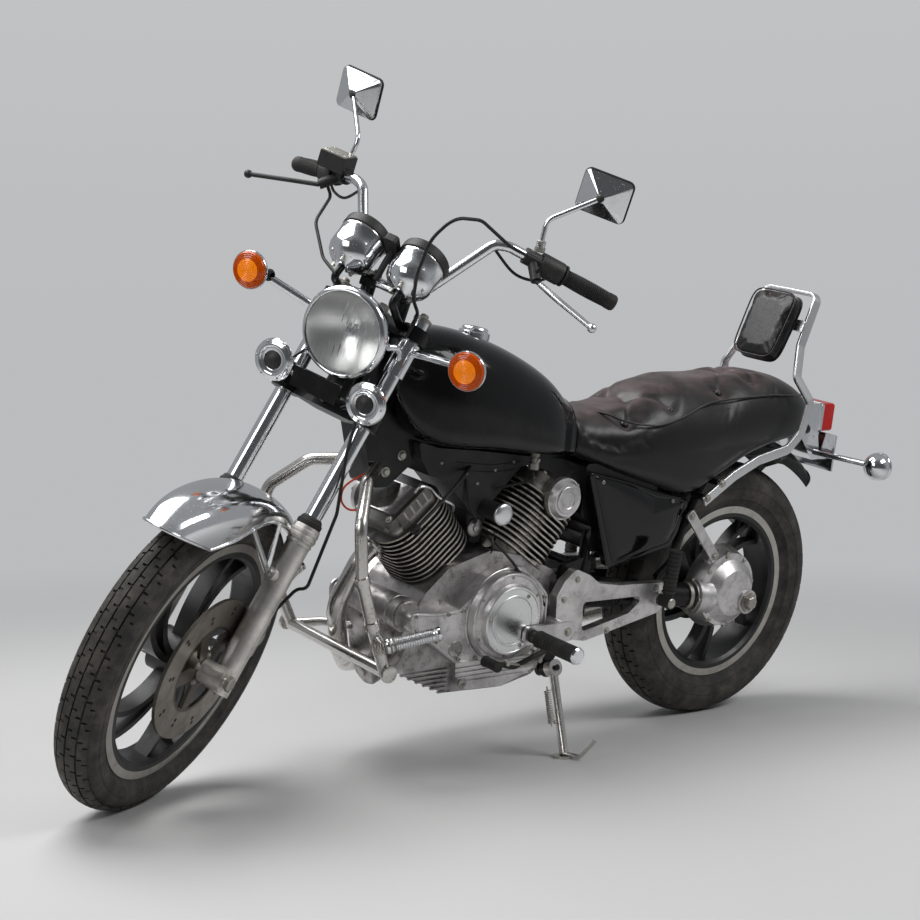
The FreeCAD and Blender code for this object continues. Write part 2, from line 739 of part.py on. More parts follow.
def front_signal_bodies():
    """Round lamp bowls on stalks from the fork ears."""
    pieces = []
    for side in (-1, 1):
        centre = side_of(signal_centre, side)
        profile = [(-4, 0), (-4, signal_radius - 2), (-18, signal_radius - 8), (-34, signal_radius * 0.5),
                   (-40, 0)]
        points = [centre + vec(ahead, 0, radius) for ahead, radius in profile]
        bowl = turned(points, centre, vec(1, 0, 0))
        start = fork_point(between_clamps(0.82), fork_offset, side * fork_half_spacing)
        stalk = cylinder(start, centre + vec(-22, 0, 0), 8.5)
        ear_low = fork_point(between_clamps(0.535), fork_offset, side * fork_half_spacing)
        ear_high = fork_point(between_clamps(0.91), fork_offset, side * fork_half_spacing)
        ear = cylinder(ear_low, ear_high, fork_tube_radius + 6)
        hole = cylinder(ear_low - steering_up, ear_high + steering_up, fork_tube_radius + seat_gap)
        bolt = side_of(vec(headlight_side.x, headlight_radius - 6, headlight_side.z), side)
        arm = rod([fork_point(between_clamps(0.7), fork_offset + 20, side * (fork_half_spacing + 2)),
                   bolt + vec(-20, side * 12, 0), bolt + vec(4, 0, 0)], 7, 20)
        pieces.append(joined([bowl, stalk, ear, arm]).cut(hole))
    return Part.makeCompound(pieces).cut(headlight_room())


def lens_profile(radius):
    return [(seat_gap, 0), (seat_gap, radius), (10, radius), (17, radius - 7), (17, 0)]


def front_signal_lenses():
    pieces = []
    for side in (-1, 1):
        centre = side_of(signal_centre, side) - vec(4, 0, 0)
        points = [centre + vec(ahead, 0, radius) for ahead, radius in lens_profile(signal_radius)]
        pieces.append(turned(points, centre, vec(1, 0, 0)))
    return Part.makeCompound(pieces)


def horns():
    """Round disc horns with a raised ring and a domed centre."""
    pieces = []
    for side in (-1, 1):
        centre = side_of(horn_centre, side)
        profile = [(-horn_depth, 0), (-horn_depth, 17), (-20, 20), (-14, horn_radius - 5), (-6, horn_radius),
                   (0, horn_radius - 3), (3, horn_radius * 0.72), (0, horn_radius * 0.48), (0, 16),
                   (7, 8), (8, 0)]
        points = [centre + vec(ahead, 0, radius) for ahead, radius in profile]
        pieces.append(turned(points, centre, vec(1, 0, 0)))
    return Part.makeCompound(pieces)


def fender_section(crest, edge, half_width):
    """An arched strip across the wheel between two angle and reach pairs, with its wall's thickness."""
    edges = []
    ends = []
    ridge = polar(front_axle, crest[1], crest[0], 0)
    foot = polar(front_axle, edge[1], edge[0], 0)
    for wall in (0.0, fender_wall):
        top = ridge + (foot - ridge).normalize() * wall
        half = half_width - wall
        points = [top + (foot - top) * drop + vec(0, half * out, 0) for out, drop in fender_arch]
        points = [side_of(point, -1) for point in reversed(points[1:])] + points
        curve = Part.BSplineCurve()
        curve.interpolate(Points=points)
        edges.append(curve.toShape())
        ends.append((points[0], points[-1]))
    outer, inner = ends
    edges = [edges[0], Part.makeLine(outer[1], inner[1]), edges[1], Part.makeLine(inner[0], outer[0])]
    return Part.Wire(Part.__sortEdges__(edges))


def front_fender():
    """A short crowned fender that flares at its front lip, with two stays down to each fork leg."""
    shell = lofted([fender_section(crest, edge, half) for crest, edge, half in fender_stations])
    stays = []
    for side in (-1, 1):
        lug = fork_point(axle_along + 225, fork_offset + 30, side * (fork_half_spacing - 18))
        for angle, reach, half in fender_stay_tops:
            stays.append(rod([polar(front_axle, reach, angle, side * half), lug], 6, 10))
    return joined([shell] + stays).cut(fork_clearance())


def fork_clearance():
    """Room round both fork legs."""
    legs = []
    for side in (-fork_half_spacing, fork_half_spacing):
        legs.append(cylinder(fork_point(slider_bottom, fork_offset, side),
                             fork_point(slider_top + 40, fork_offset, side), fork_slider_radius + 3 + seat_gap))
        legs.append(cylinder(fork_point(axle_along + 225, fork_offset, side),
                             fork_point(axle_along + 225, fork_offset + 34, side * 0.9), 13 + seat_gap))
    return Part.makeCompound(legs)


def brake_caliper():
    """A block behind the left fork leg that straddles the disc."""
    centre = fork_point(caliper_along, -34, disc_centre)
    block = Part.makeBox(64, 62, 88, centre - vec(32, 26, 44))
    block.rotate(centre, vec(0, 1, 0), -rake_angle)
    block = block.makeFillet(8, block.Edges)
    slot = across(front_axle.x, front_axle.z, disc_centre - disc_thickness / 2 - 3,
                  disc_centre + disc_thickness / 2 + 3, disc_radius + 4)
    leg = cylinder(fork_point(slider_bottom, fork_offset, fork_half_spacing),
                   fork_point(slider_top, fork_offset, fork_half_spacing), fork_slider_radius + seat_gap)
    wheel_room = across(front_axle.x, front_axle.z, -front_tyre_half_width, front_tyre_half_width + 6,
                        front_tyre_radius)
    return block.cut(Part.makeCompound([slot, leg, wheel_room]))


def lever_way(side, reach):
    """Straight out of the lever's perch, upwards on the left and downwards on the right."""
    perch = bar_end - bar_way() * (grip_length + pod_length + 38)
    inner = bar_end - bar_way() * (grip_length + 3 + pod_length)
    middle = along_line(perch, inner, 0.5)
    nose = (lever_pivot - middle).normalize()
    out = (vec(0, 0, 1) - nose * nose.z).normalize() * side
    base = along_line(middle, lever_pivot, 0.7)
    return [side_of(base + out * (perch_radius + seat_gap), side), side_of(base + out * (perch_radius + reach), side)]


def clip_way(side):
    """Down in front of the upper bridge's ring."""
    ahead = fork_offset + fork_tube_radius + 12 + cable_radius + seat_gap
    return [fork_point(upper_clamp_along + 36, ahead, side * fork_half_spacing),
            fork_point(upper_clamp_along - 14, ahead, side * fork_half_spacing)]


def control_cables():
    """Clutch cable, throttle cables and brake hose, looped from the bars down to the steering head."""
    left = rod(lever_way(1, 26) + [head_point(-52, 205, 239), head_point(40, 165, 287), head_point(108, 137, 287),
                                   head_point(134, 116, 237), head_point(122, 106, 160),
                                   head_point(98, 104, 103)] + clip_way(1), cable_radius, 60)
    right = rod(lever_way(-1, 22) + [head_point(-60, -226, 120), head_point(-10, -160, 70)] + clip_way(-1),
                cable_radius, 50)
    hose = rod([fork_point(lower_clamp_along - 16, 46, 88), fork_point(lower_clamp_along - 80, 46, 104),
                fork_point(lower_clamp_along - 190, 6, 132), fork_point(slider_top - 110, -44, 134),
                fork_point(caliper_along + 120, -52, 112), fork_point(caliper_along + 46, -46, 92)], cable_radius, 60)
    return Part.makeCompound([left, right, hose])


# Frame and bodywork


def frame():
    """Steering head, boxed backbone, battery case, seat rails and the plates for engine and swingarm."""
    head_tube = tube(fork_point(head_tube_bottom, 0, 0), fork_point(head_tube_top, 0, 0),
                     head_tube_radius, stem_radius + seat_gap)
    neck = fork_point((head_tube_bottom + head_tube_top) / 2, -20, 0)
    spine = side_plate([(neck.x - 6, neck.z + 48), (neck.x + 24, neck.z - 52), (210, 720), (-60, 690),
                        (-300, 668), (-310, 700), (-60, 745)], -spine_half_width, spine_half_width, 14)
    gusset = side_plate([(neck.x + 26, neck.z - 46), (352, 712), (330, 640), (292, 640), (230, 690), (236, 760)],
                        -spine_half_width - 6, spine_half_width + 6, 12)
    tubes = []
    for side in (-1, 1):
        tubes.append(rod([vec(-220, side * 20, 688), vec(-290, side * rail_half_spacing, 684),
                          vec(-560, side * rail_half_spacing, 712),
                          vec(tail_end.x, side * rail_half_spacing, tail_end.z)], 12, 40))
        tubes.append(rod([vec(-286, side * 30, 684), vec(-280, side * 62, 560),
                          vec(pivot.x - 22, side * 76, pivot.z + 40)], 13, 50))
        tubes.append(rod(stay_points(side), stay_radius, stay_bend))
        low, high = sorted((side * stay_side, side * (bracket_face - bracket_depth - seat_gap)))
        tubes.append(across(stay_points(side)[0].x, stay_points(side)[0].z, low, high, stay_radius - 2))
        for x, z in hoop_bolts:
            low, high = sorted((side * stay_side, side * (rail_side - hoop_thickness / 2 - seat_gap)))
            tubes.append(across(x, z, low, high, 8))
        low, high = (68, 82) if side > 0 else (-82, -68)
        tubes.append(side_plate([(pivot.x - 44, pivot.z - 60), (pivot.x + 40, pivot.z - 60),
                                 (pivot.x + 44, pivot.z + 70), (pivot.x - 44, pivot.z + 90)], low, high, 16))
    tubes.append(cylinder(vec(-520, -rail_half_spacing, 708), vec(-520, rail_half_spacing, 708), 10))
    tubes.append(across(pivot.x - 22, pivot.z + 62, -76, 76, 10))
    tubes.append(across(strut_top.x, strut_top.z, stay_side, strut_low - seat_gap, 8))
    tubes.append(across(cover_peg.x, cover_peg.z, -cover_low + seat_gap, cover_low - seat_gap, 8))
    tubes.append(across(tank_mount.x, tank_mount.z, -tunnel_half_width + seat_gap,
                        tunnel_half_width - seat_gap, 13))
    tubes.append(side_plate([(-256, 344), (-206, 344), (-178, 264), (-150, 232), (-150, 198), (-182, 190),
                             (-214, 252)], 68, 82, 8))
    seat_reach = stand_eye_half + seat_gap
    tubes.append(cylinder(vec(stand_pivot.x, 72, stand_pivot.z - 18), stand_pivot - stand_axis * (seat_reach + 7),
                          stand_eye_radius - 5))
    tubes.append(cylinder(stand_pivot - stand_axis * (seat_reach + 14), stand_pivot - stand_axis * seat_reach,
                          stand_eye_radius))
    tubes.append(cylinder(stand_pivot - stand_axis * (stand_eye_half + 2), stand_pivot + stand_axis * (stand_eye_half + 5),
                          stand_pin_radius))
    box = side_plate([(-222, 676), (-222, 562), (-258, 532), (-262, 470), (-430, 470), (-455, 560),
                      (-452, 676)], -battery_half_width, battery_half_width, 10)
    body = joined([head_tube, spine, gusset, box] + tubes)
    core = cylinder(fork_point(head_tube_bottom - 5, 0, 0), fork_point(head_tube_top + 5, 0, 0), stem_radius + seat_gap)
    return body.cut([core, across(pivot.x, pivot.z, -90, 90, pivot_radius + seat_gap), front_cylinder()])


def tank_x(ahead):
    """A place on the tank, from 0 at its tail to 1 at the steering head."""
    return tank_tail.x + (head.x - tank_tail.x) * ahead


def tank_z(above):
    """A height on the tank, from 0 at its tail's lower edge to 1 at the top of the steering head."""
    return tank_tail.z + (head.z - tank_tail.z) * above


def fuel_tank():
    """A teardrop tank, high at the steering head and tapering to the seat."""
    sections = []
    for ahead, low, high, half in tank_stations:
        sections.append(oval_section(tank_x(ahead), tank_z(low), tank_z(high), half, tank_top_power,
                                     tank_low_power, tank_widest))
    tank = lofted(sections)
    far = head.x + 100
    tunnel = side_plate([(far, head.z + 20), (far, 600), (-330, 600), (-330, 718), (-60, 757),
                         (head.x + 8, head.z - 32), (head.x + 20, head.z + 20)],
                        -tunnel_half_width, tunnel_half_width, 10)
    sweep = cylinder(fork_point(lower_clamp_along - 230, 0, 0), fork_point(upper_clamp_along + 72, 0, 0),
                     head_tube_radius + 38)
    return tank.cut(tunnel).cut(sweep)


def seat():
    """A stepped dual seat: low rider's dish, raised passenger pad, skirt down both sides."""
    sections = []
    for x, low, high, half in seat_stations:
        sections.append(oval_section(x, low, high, half, seat_top_power, seat_low_power, seat_widest))
    body = lofted(sections)
    end = tail_end.x - 25
    under = side_plate([(-150, 560), (-150, 731), (-310, 702), (-560, tail_end.z - 1.6),
                        (tail_end.x, tail_end.z + 12.4), (end, tail_end.z + 16.3), (end, 560)],
                       -seat_hollow_half_width, seat_hollow_half_width, 6)
    fender_room = across(rear_axle.x, rear_axle.z, -rear_fender_half_width - 1, rear_fender_half_width + 1,
                         rear_fender_radius + seat_gap)
    return body.cut([under, fender_room, frame()])


def side_covers():
    """Curved panels over the battery space under the seat."""
    back = [(-340, 635), (-430, 609), (-541, 581), (-526, 540), (-516, 505), (-495, 471)]
    high = cover_low + cover_thickness
    left = side_plate([(-208, 664)] + back + [(-298, 436)], cover_low, high, 16)
    right = side_plate([(-262, 652)] + back + [(-310, 440), (-276, 500)], -high, -cover_low, 16)
    stays = [rod(stay_points(side)[:-1], stay_radius + seat_gap, stay_bend) for side in (-1, 1)]
    return Part.makeCompound([left, right]).cut(stays)


def stay_points(side):
    """The outer stay, from behind the footrest bracket up to the seat rail."""
    low, high = side * stay_side, side * (stay_side - 6)
    return [vec(-474, low, 396), vec(-520, low, 432), vec(-526, low, 474), vec(-549, low, 540),
            vec(-578, low, 600), vec(-610, high, 640), vec(-664, side * rail_half_spacing, 714)]


def sissy_bar():
    """A flat polished bar up both sides of the seat, bent into a hoop behind the passenger."""
    half = [vec(-552, rail_side, 584), vec(-645, rail_side, 642), vec(-722, rail_side, 676),
            vec(-822, rail_side, 698), vec(-862, rail_side, 736), vec(-882, rail_side, 812),
            vec(-852, 118, 868), vec(-880, 92, 940), vec(-932, 82, 1062)]
    lower_to_top = half + [side_of(point, -1) for point in reversed(half)]
    hoop = flat_bar(lower_to_top, 24, hoop_thickness, 22)
    strap = Part.makeBox(8, 180, 28, vec(-8 - seat_gap, -90, 6))
    strap.Placement = pad_place().multiply(strap.Placement)
    return joined([hoop, strap])


def pad_place():
    return Placement(vec(-874, 0, 970), Rotation(vec(0, 1, 0), -23.0))


def backrest_pad():
    """A flat padded rectangle held in front of the hoop."""
    points = []
    for y, z in ((-66, -88), (66, -88), (72, 88), (-72, 88)):
        points.append(vec(0, y, z))
    pad = Part.Face(rounded_wire(points, 16)).extrude(vec(40, 0, 0))
    pad.Placement = pad_place().multiply(pad.Placement)
    return pad


def rear_fender():
    """A deep valanced fender under the seat and tail."""
    outer = rear_fender_radius
    half = rear_fender_half_width
    section = [(outer, 0), (outer - 6, half * 0.6), (outer - 26, half * 0.94), (outer - 48, half)]
    inner = [(radius - fender_wall, side - (1.5 if side else 0)) for radius, side in reversed(section)]
    right = [(radius, -side) for radius, side in reversed(section[1:])]
    right_inner = [(radius - fender_wall, -side + (1.5 if side else 0)) for radius, side in section[1:]]
    profile = right + section + inner + right_inner
    points = [vec(rear_axle.x + radius, side, rear_axle.z) for radius, side in profile]
    shell = Part.Face(Part.makePolygon(points + points[:1])).revolve(rear_axle, vec(0, 1, 0), -84)
    shell.rotate(rear_axle, vec(0, 1, 0), -48)
    return shell.cut(frame())


def tail_outline(pairs):
    """Side-view points from pairs given behind the rear axle and above the fender's crown."""
    points = [tail_point(behind, 0, above) for behind, above in pairs]
    return [(point.x, point.z) for point in points]


def tail_bracket():
    """Steel tail bracket with the plate holder, the lamp housing and the rear signal bowls."""
    spine = side_plate(tail_outline([(223.5, 21.4), (223.5, -13.6), (277.5, -79.6), (309.5, -79.6),
                                     (293.5, -19.6), (293.5, 64.4), (247.5, 64.4)]), -44, 44, 6)
    tongue_half = rail_half_spacing - 12 - seat_gap
    tongue = side_plate(tail_outline([(163.5, 13.4), (163.5, -3.6), (237.5, -11.6), (237.5, 16.4)]),
                        -tongue_half, tongue_half, 4)
    holder = Part.makeBox(6, 176, 92, vec(plate_back, -88, plate_hole_height - 76))
    for side in (-plate_hole_spacing / 2, plate_hole_spacing / 2):
        holder = holder.cut(cylinder(vec(plate_back - 10, side, plate_hole_height),
                                     vec(plate_back + 16, side, plate_hole_height), plate_hole_radius))
    pieces = [spine, tongue, holder]
    for side in (-1, 1):
        centre = side_of(rear_signal_centre, side)
        bowl = Part.makeSphere(rear_signal_radius, centre)
        front_only = Part.makeBox(100, 100, 100, centre + vec(-10, -50, -50))
        stalk = cylinder(tail_point(281.5, side * 30, -59.6), centre, 8)
        pieces += [bowl.common(front_only), stalk]
    return joined(pieces)


def tail_lamp_lens():
    depth = 56.0
    block = Part.makeBox(depth, 96, 71, tail_point(285.5 + depth, -48, -6.6))
    block = block.makeFillet(8, block.Edges)
    return block.cut(Part.makeBox(60, 200, 200, tail_point(293.5 + seat_gap, -100, -119.6)))


def rear_signal_lenses():
    pieces = []
    for side in (-1, 1):
        centre = side_of(rear_signal_centre, side) - vec(10, 0, 0)
        points = [centre - vec(ahead, 0, 0) + vec(0, 0, radius)
                  for ahead, radius in lens_profile(rear_signal_radius - 1)]
        pieces.append(turned(points, centre, vec(1, 0, 0)))
    return Part.makeCompound(pieces)


# Engine


def crankcase():
    """The main castings, with the sump below and a deck for each cylinder."""
    outline = [(-180, 300), (-124, 204), (-30, 184), (130, 190), (244, 240), (262, 330), (206, 420),
               (150, 470), (40, 500), (-60, 480), (-150, 440), (-186, 380)]
    case = side_plate(outline, -case_half_width, case_half_width, 30)
    return joined([case, across(starter.x, starter.z, -70, case_half_width - 3, starter_radius)])


def engine_covers():
    """Side covers bolted to the case, and the round cover on each head's cam drive."""
    outline = [(-108, 262), (-70, 232), (120, 226), (224, 262), (282, 330), (288, 384), (214, 408), (150, 452),
               (60, 484), (-40, 470), (-96, 410), (-112, 330)]
    left_outline = [(268, 386), (181, 382), (140, 388), (108, 414), (63, 450), (20, 473), (-28, 467), (-83, 424),
                    (-108, 396), (-112, 300), (-96, 262), (32, 257), (137, 269), (208, 320), (262, 350)]
    lower_outline = [(124, 300), (-100, 300), (-106, 224), (-18, 192), (84, 198), (117, 231)]
    start = case_half_width + seat_gap
    pieces = []
    left_cover = side_plate(left_outline, start, cover_face, 12)
    lower_cover = side_plate(lower_outline, start, lower_cover_face, 12)
    dish = cone(dish_centre + vec(0, cover_face - 1, 0), dish_centre + vec(0, cover_face + 18, 0), 103, 96)
    disc = cone(disc_middle + vec(0, cover_face + 17, 0), disc_middle + vec(0, cover_face + 30, 0), 80, 75)
    pieces.append(joined([left_cover, lower_cover, dish, disc]))
    right_cover = side_plate(outline, -cover_face, -start, 24)
    clutch = cone(vec(crank.x - 44, -cover_face + 1, crank.z - 4),
                  vec(crank.x - 44, -cover_face - 26, crank.z - 4), 76, 70)
    pieces.append(joined([right_cover, clutch]))
    for tilt, middle, side, half_width in ((front_cylinder_tilt, front_cylinder_side, -1, front_fin_half_width),
                                           (rear_cylinder_tilt, rear_cylinder_side, 1, rear_fin_half_width)):
        inner = middle + side * (half_width + 6 + seat_gap)
        rim = cylinder(vec(0, inner, cam_height), vec(0, inner + side * 12, cam_height), cam_cover_radius)
        dome = cone(vec(0, inner + side * 11, cam_height), vec(0, inner + side * 24, cam_height),
                    cam_cover_radius - 2, cam_cover_radius - 10)
        cap = joined([rim, dome])
        cap.Placement = engine_place(tilt).multiply(cap.Placement)
        pieces.append(cap)
    return Part.makeCompound(pieces)


def engine_place(tilt):
    """Placement that stands a cylinder on the crankshaft's axis at its tilt."""
    return Placement(crank, Rotation(vec(0, 1, 0), tilt))


def deck_outline(half_length, half_width, middle, height, corner):
    """A rounded rectangle across the cylinder's axis."""
    corners = [vec(-half_length, middle - half_width, height), vec(half_length, middle - half_width, height),
               vec(half_length, middle + half_width, height), vec(-half_length, middle + half_width, height)]
    return Part.Face(rounded_wire(corners, corner))


def cylinder_and_head(tilt, middle, cam_side, port_end, half_length, half_width):
    """Finned barrel and head under a smooth rocker box, built upright and then tilted."""
    pieces = []
    for number in range(fin_count):
        low = fin_start + number * fin_pitch
        fin = deck_outline(half_length, half_width, middle, low, fin_corner)
        pieces.append(fin.extrude(vec(0, 0, fin_thickness)))
    top = fin_start + fin_count * fin_pitch
    pieces.append(cylinder(vec(0, middle, fin_start - 40), vec(0, middle, top), half_width - 16))
    box = deck_outline(64, half_width - 12, middle, top - fin_pitch, 20)
    pieces.append(box.extrude(vec(0, 0, 44)))
    cam_seat = middle + cam_side * (half_width + 6)
    pieces.append(cylinder(vec(0, middle, cam_height), vec(0, cam_seat, cam_height), cam_cover_radius))
    pieces.append(cylinder(vec(0, port_end.y, port_height), port_end, port_radius))
    body = joined(pieces)
    body.Placement = engine_place(tilt).multiply(body.Placement)
    return body.cut(crankcase())


def front_cylinder():
    return cylinder_and_head(front_cylinder_tilt, front_cylinder_side, -1, front_port,
                             front_fin_half_length, front_fin_half_width)


def rear_cylinder():
    return cylinder_and_head(rear_cylinder_tilt, rear_cylinder_side, 1, rear_port,
                             rear_fin_half_length, rear_fin_half_width)


def carburettors():
    """Two downdraught bodies in the V with a round cap outside, under the air cleaner's case."""
    body = side_plate([(36, 506), (62, 508), (76, 560), (84, 620), (6, 620), (26, 560)], -50, 50, 8)
    cleaner = side_plate([(-110, 690), (-110, 677), (-52, 672), (26, 592), (44, 566), (66, 566), (154, 652),
                          (200, 664), (224, 700), (236, 738), (180, 722), (80, 713), (-40, 698)],
                         -cleaner_half_width, cleaner_half_width, 5)
    cap = across(37, 585, 20, 122, 21)
    return joined([body, cleaner, cap]).cut([front_cylinder(), rear_cylinder(), crankcase(), frame(), fuel_tank()])


def exhaust():
    """Header pipes down and back to two long mufflers on the right."""
    front_start = engine_place(front_cylinder_tilt).multVec(front_port + vec(seat_gap, 0, 0))
    front_way = engine_place(front_cylinder_tilt).Rotation.multVec(vec(1, 0, 0))
    front = rod([front_start, front_start + front_way * 42, vec(352, -20, 372), vec(300, -62, 262),
                 vec(206, -160, 184), vec(40, -205, 178), vec(-262, muffler_side, 196)], pipe_radius, 70)
    rear_start = engine_place(rear_cylinder_tilt).multVec(rear_port - vec(seat_gap, 0, 0))
    rear_way = engine_place(rear_cylinder_tilt).Rotation.multVec(vec(-1, 0, 0))
    rear = rod([rear_start, rear_start + rear_way * 36, vec(-240, -150, 466),
                vec(-262, muffler_side, 318), vec(-330, muffler_side, 300)], pipe_radius, 44)
    pieces = [front, rear]
    for start, end in ((vec(-262, muffler_side, 196), vec(-930, muffler_side, 242)),
                       (vec(-330, muffler_side, 300), vec(-930, muffler_side, 340))):
        pieces.append(muffler(start, end))
    return Part.makeCompound(pieces)


def muffler(start, end):
    """A long can with a tapered neck that slips over the pipe, and a turned-in open tail."""
    way = (end - start).normalize()
    length = (end - start).Length
    out = way.cross(vec(0, 1, 0))
    profile = [(seat_gap, 0), (seat_gap, pipe_radius + 4), (64, muffler_radius), (length, muffler_radius),
               (length + 4, muffler_radius - 12), (length + 26, muffler_radius - 12),
               (length + 26, muffler_radius - 15), (length - 50, muffler_radius - 15), (length - 50, 0)]
    points = [start + way * along + out * radius for along, radius in profile]
    return turned(points, start, way)


def crash_bars():
    """Tubular guards each side of the engine, tied by a bar across in front of it."""
    pieces = []
    for side in (-1, 1):
        pieces.append(rod([vec(324, side * (spine_half_width + 6), 684), vec(392, side * 104, 672),
                           vec(448, side * 172, 600), vec(438, side * 180, 490), vec(404, side * 182, 396),
                           vec(352, side * 172, 288)], guard_radius, 45))
        pieces.append(rod([vec(354, side * 170, 290), vec(300, side * 136, 298),
                           vec(240, side * (case_half_width - 20), 300)], guard_radius - 3, 30))
        pieces.append(rod([vec(392, side * 182, 374), vec(386, side * 206, 356), vec(296, side * 250, 386)],
                          10, 12))
    pieces.append(cylinder(vec(354, -172, 289), vec(354, 172, 289), guard_radius))
    return joined(pieces).cut([crankcase(), engine_covers(), frame()])


def foot_controls():
    """Rider's pegs, folded passenger pegs, gear lever and brake pedal."""
    pieces = []
    outer = bracket_face + 14 + seat_gap
    for side in (-1, 1):
        pieces.append(across(peg_place.x, peg_place.z, side * (peg_arm_face + seat_gap), side * 320, 15)
                      if side > 0 else
                      across(peg_place.x, peg_place.z, side * 320, side * (peg_arm_face + seat_gap), 15))
        barrel = cylinder(vec(-450, side * outer, 358), vec(-450, side * (outer + 34), 358), 14)
        pieces.append(joined([barrel, cylinder(vec(-450, side * (outer + 18), 358),
                                               vec(-454, side * (outer + 24), 480), 12)]))
        shaft = cover_face + seat_gap
        lever = rod([vec(-92, side * shaft, 292), vec(-92, side * (shaft + 46), 292),
                     vec(14, side * (shaft + 50), 262), vec(98, side * (shaft + 58), 286)], 6, 20)
        pad = across(98, 286, side * (shaft + 92), side * (shaft + 48), 10) if side < 0 else across(
            98, 286, side * (shaft + 48), side * (shaft + 92), 10)
        pieces.append(joined([lever, pad]))
    return Part.makeCompound(pieces)


def footrest_brackets():
    """Cast arms from the engine back to the passenger pegs, each with a long window."""
    outline = [(-134, 392), (-152, 424), (-184, 450), (-228, 432), (-260, 410), (-325, 400), (-480, 394),
               (-492, 352), (-456, 322), (-235, 278), (-176, 288), (-138, 340)]
    window = [(-216, 370), (-412, 368), (-364, 330), (-222, 300)]
    low = bracket_face - bracket_depth
    arm = side_plate(outline, low, bracket_face, 16).cut(side_plate(window, low - 6, bracket_face + 6, 10))
    boss = across(-140, 322, low, peg_arm_face - 4, 20)
    peg_arm = side_plate([(-160, 344), (peg_place.x + 20, peg_place.z + 20), (peg_place.x + 20, peg_place.z - 20),
                          (-160, 300)], peg_arm_face - 10, peg_arm_face, 14)
    peg_boss = across(-450, 358, low, bracket_face + 14, 17)
    foot = side_plate([(-136, 366), (-150, 392), (-178, 380), (-178, 300), (-140, 300)], case_half_width + seat_gap,
                      low + 1, 8)
    arm = joined([arm, boss, peg_arm, peg_boss, foot])
    return both_sides(arm.cut(crankcase()))


def swingarm():
    """Two arms from the pivot to the axle, the left one round the drive shaft."""
    cross = across(pivot.x, pivot.z, -66, 66, 26)
    tie = across(-330, 366, -78, 78, 15)
    left = cylinder(vec(pivot.x - 8, 50, pivot.z), shaft_end, shaft_tube_radius)
    right = cylinder(vec(pivot.x - 8, -50, pivot.z), vec(rear_axle.x + 10, -104, rear_axle.z), 20)
    lug = across(rear_axle.x, rear_axle.z, -118, -92, 26)
    shaft = across(pivot.x, pivot.z, -90, 90, pivot_radius)
    wheel_room = across(rear_axle.x, rear_axle.z, -rear_tyre_half_width - 10, rear_tyre_half_width + 8,
                        rear_tyre_radius + 14)
    axle = across(rear_axle.x, rear_axle.z, -124, axle_end, rear_axle_radius)
    plates = []
    for side in (-1, 1):
        low, high = (66, 84) if side > 0 else (-84, -66)
        plates.append(side_plate([(pivot.x - 60, pivot.z - 70), (pivot.x + 60, pivot.z - 70),
                                  (pivot.x + 60, pivot.z + 100), (pivot.x - 60, pivot.z + 100)], low, high, 10))
    arms = joined([cross, left, right, lug, tie]).cut([wheel_room] + plates)
    return joined([arms, shaft, axle])


def final_drive():
    """Bevel housing on the left of the rear wheel, its flange to the shaft tube, and the flat strut above."""
    x, z = drive_centre.x, drive_centre.z
    way = (shaft_end - vec(pivot.x - 8, 50, pivot.z)).normalize()
    bell = cone(vec(x, 74, z), vec(x, 118, z), drive_radius, drive_radius - 14)
    dome = cone(vec(x - 8, 117, z - 5), vec(x - 8, 138, z - 5), drive_radius - 24, drive_radius - 48)
    boss = across(rear_axle.x, rear_axle.z, 80, axle_end - 8, 30)
    neck = cylinder(shaft_end + way * seat_gap, shaft_end + way * 56, shaft_tube_radius + 10)
    lug = across(strut_foot.x, strut_foot.z, 96, strut_low - seat_gap, 15)
    web = side_plate([(strut_foot.x - 12, strut_foot.z + 10), (strut_foot.x + 10, strut_foot.z - 8),
                      (x + 40, z + 30), (x + 10, z + 60)], 96, 112, 6)
    body = joined([bell, dome, boss, neck, lug, web])
    body = body.cut([across(rear_axle.x, rear_axle.z, 60, axle_end + 10, rear_axle_radius + seat_gap),
                     across(rear_axle.x, rear_axle.z, 0, rear_tyre_half_width + 6, rear_tyre_radius + 5)])
    along = (strut_foot - strut_top).normalize()
    edge = vec(along.z, 0, -along.x) * (strut_width / 2)
    start = strut_top - along * 12 + vec(0, strut_low, 0)
    end = strut_foot + along * 12 + vec(0, strut_low, 0)
    outline = rounded_wire([start + edge, end + edge, end - edge, start - edge], strut_width / 4)
    strut = Part.Face(outline).extrude(vec(0, strut_thickness, 0))
    return Part.makeCompound([body, strut])


# Side stand


def stand_leg():
    """The leg swung out to the ground, with a flat foot, a curled tab and a hook for its spring."""
    foot = from_ground(stand_foot_floor)
    leg = cylinder(stand_pivot, foot + vec(0, 0, 8), 10)
    eye = cylinder(stand_pivot - stand_axis * stand_eye_half, stand_pivot + stand_axis * stand_eye_half,
                   stand_eye_radius)
    hole = cylinder(stand_pivot - stand_axis * 30, stand_pivot + stand_axis * 30, stand_pin_radius + seat_gap)
    pad = Part.makeCylinder(24, 6, stand_foot_floor, vec(0, 0, 1))
    pad.Placement = stance().inverse().multiply(pad.Placement)
    tab = rod([foot + vec(4, 2, 10), foot + vec(-10, 40, 14), foot + vec(-20, 70, 60)], 5, 20)
    spring_low = stand_spring_line(stand_spring_share)
    hook = cylinder(along_line(stand_pivot, foot, stand_spring_share), spring_low - vec(8 + seat_gap, 0, 0), 4)
    return joined([leg.cut(hole), eye.cut(hole), pad, tab, hook])


def stand_spring_line(share):
    """A point on the spring's axis, ahead of the leg."""
    foot = from_ground(stand_foot_floor)
    return along_line(stand_pivot, foot, share) + vec(stand_spring_gap, 0, 0)


def stand_spring():
    return cylinder(stand_spring_line(0.2), stand_spring_line(stand_spring_share + 0.04), 8)


# Stance: both tyres and the stand's foot meet the floor

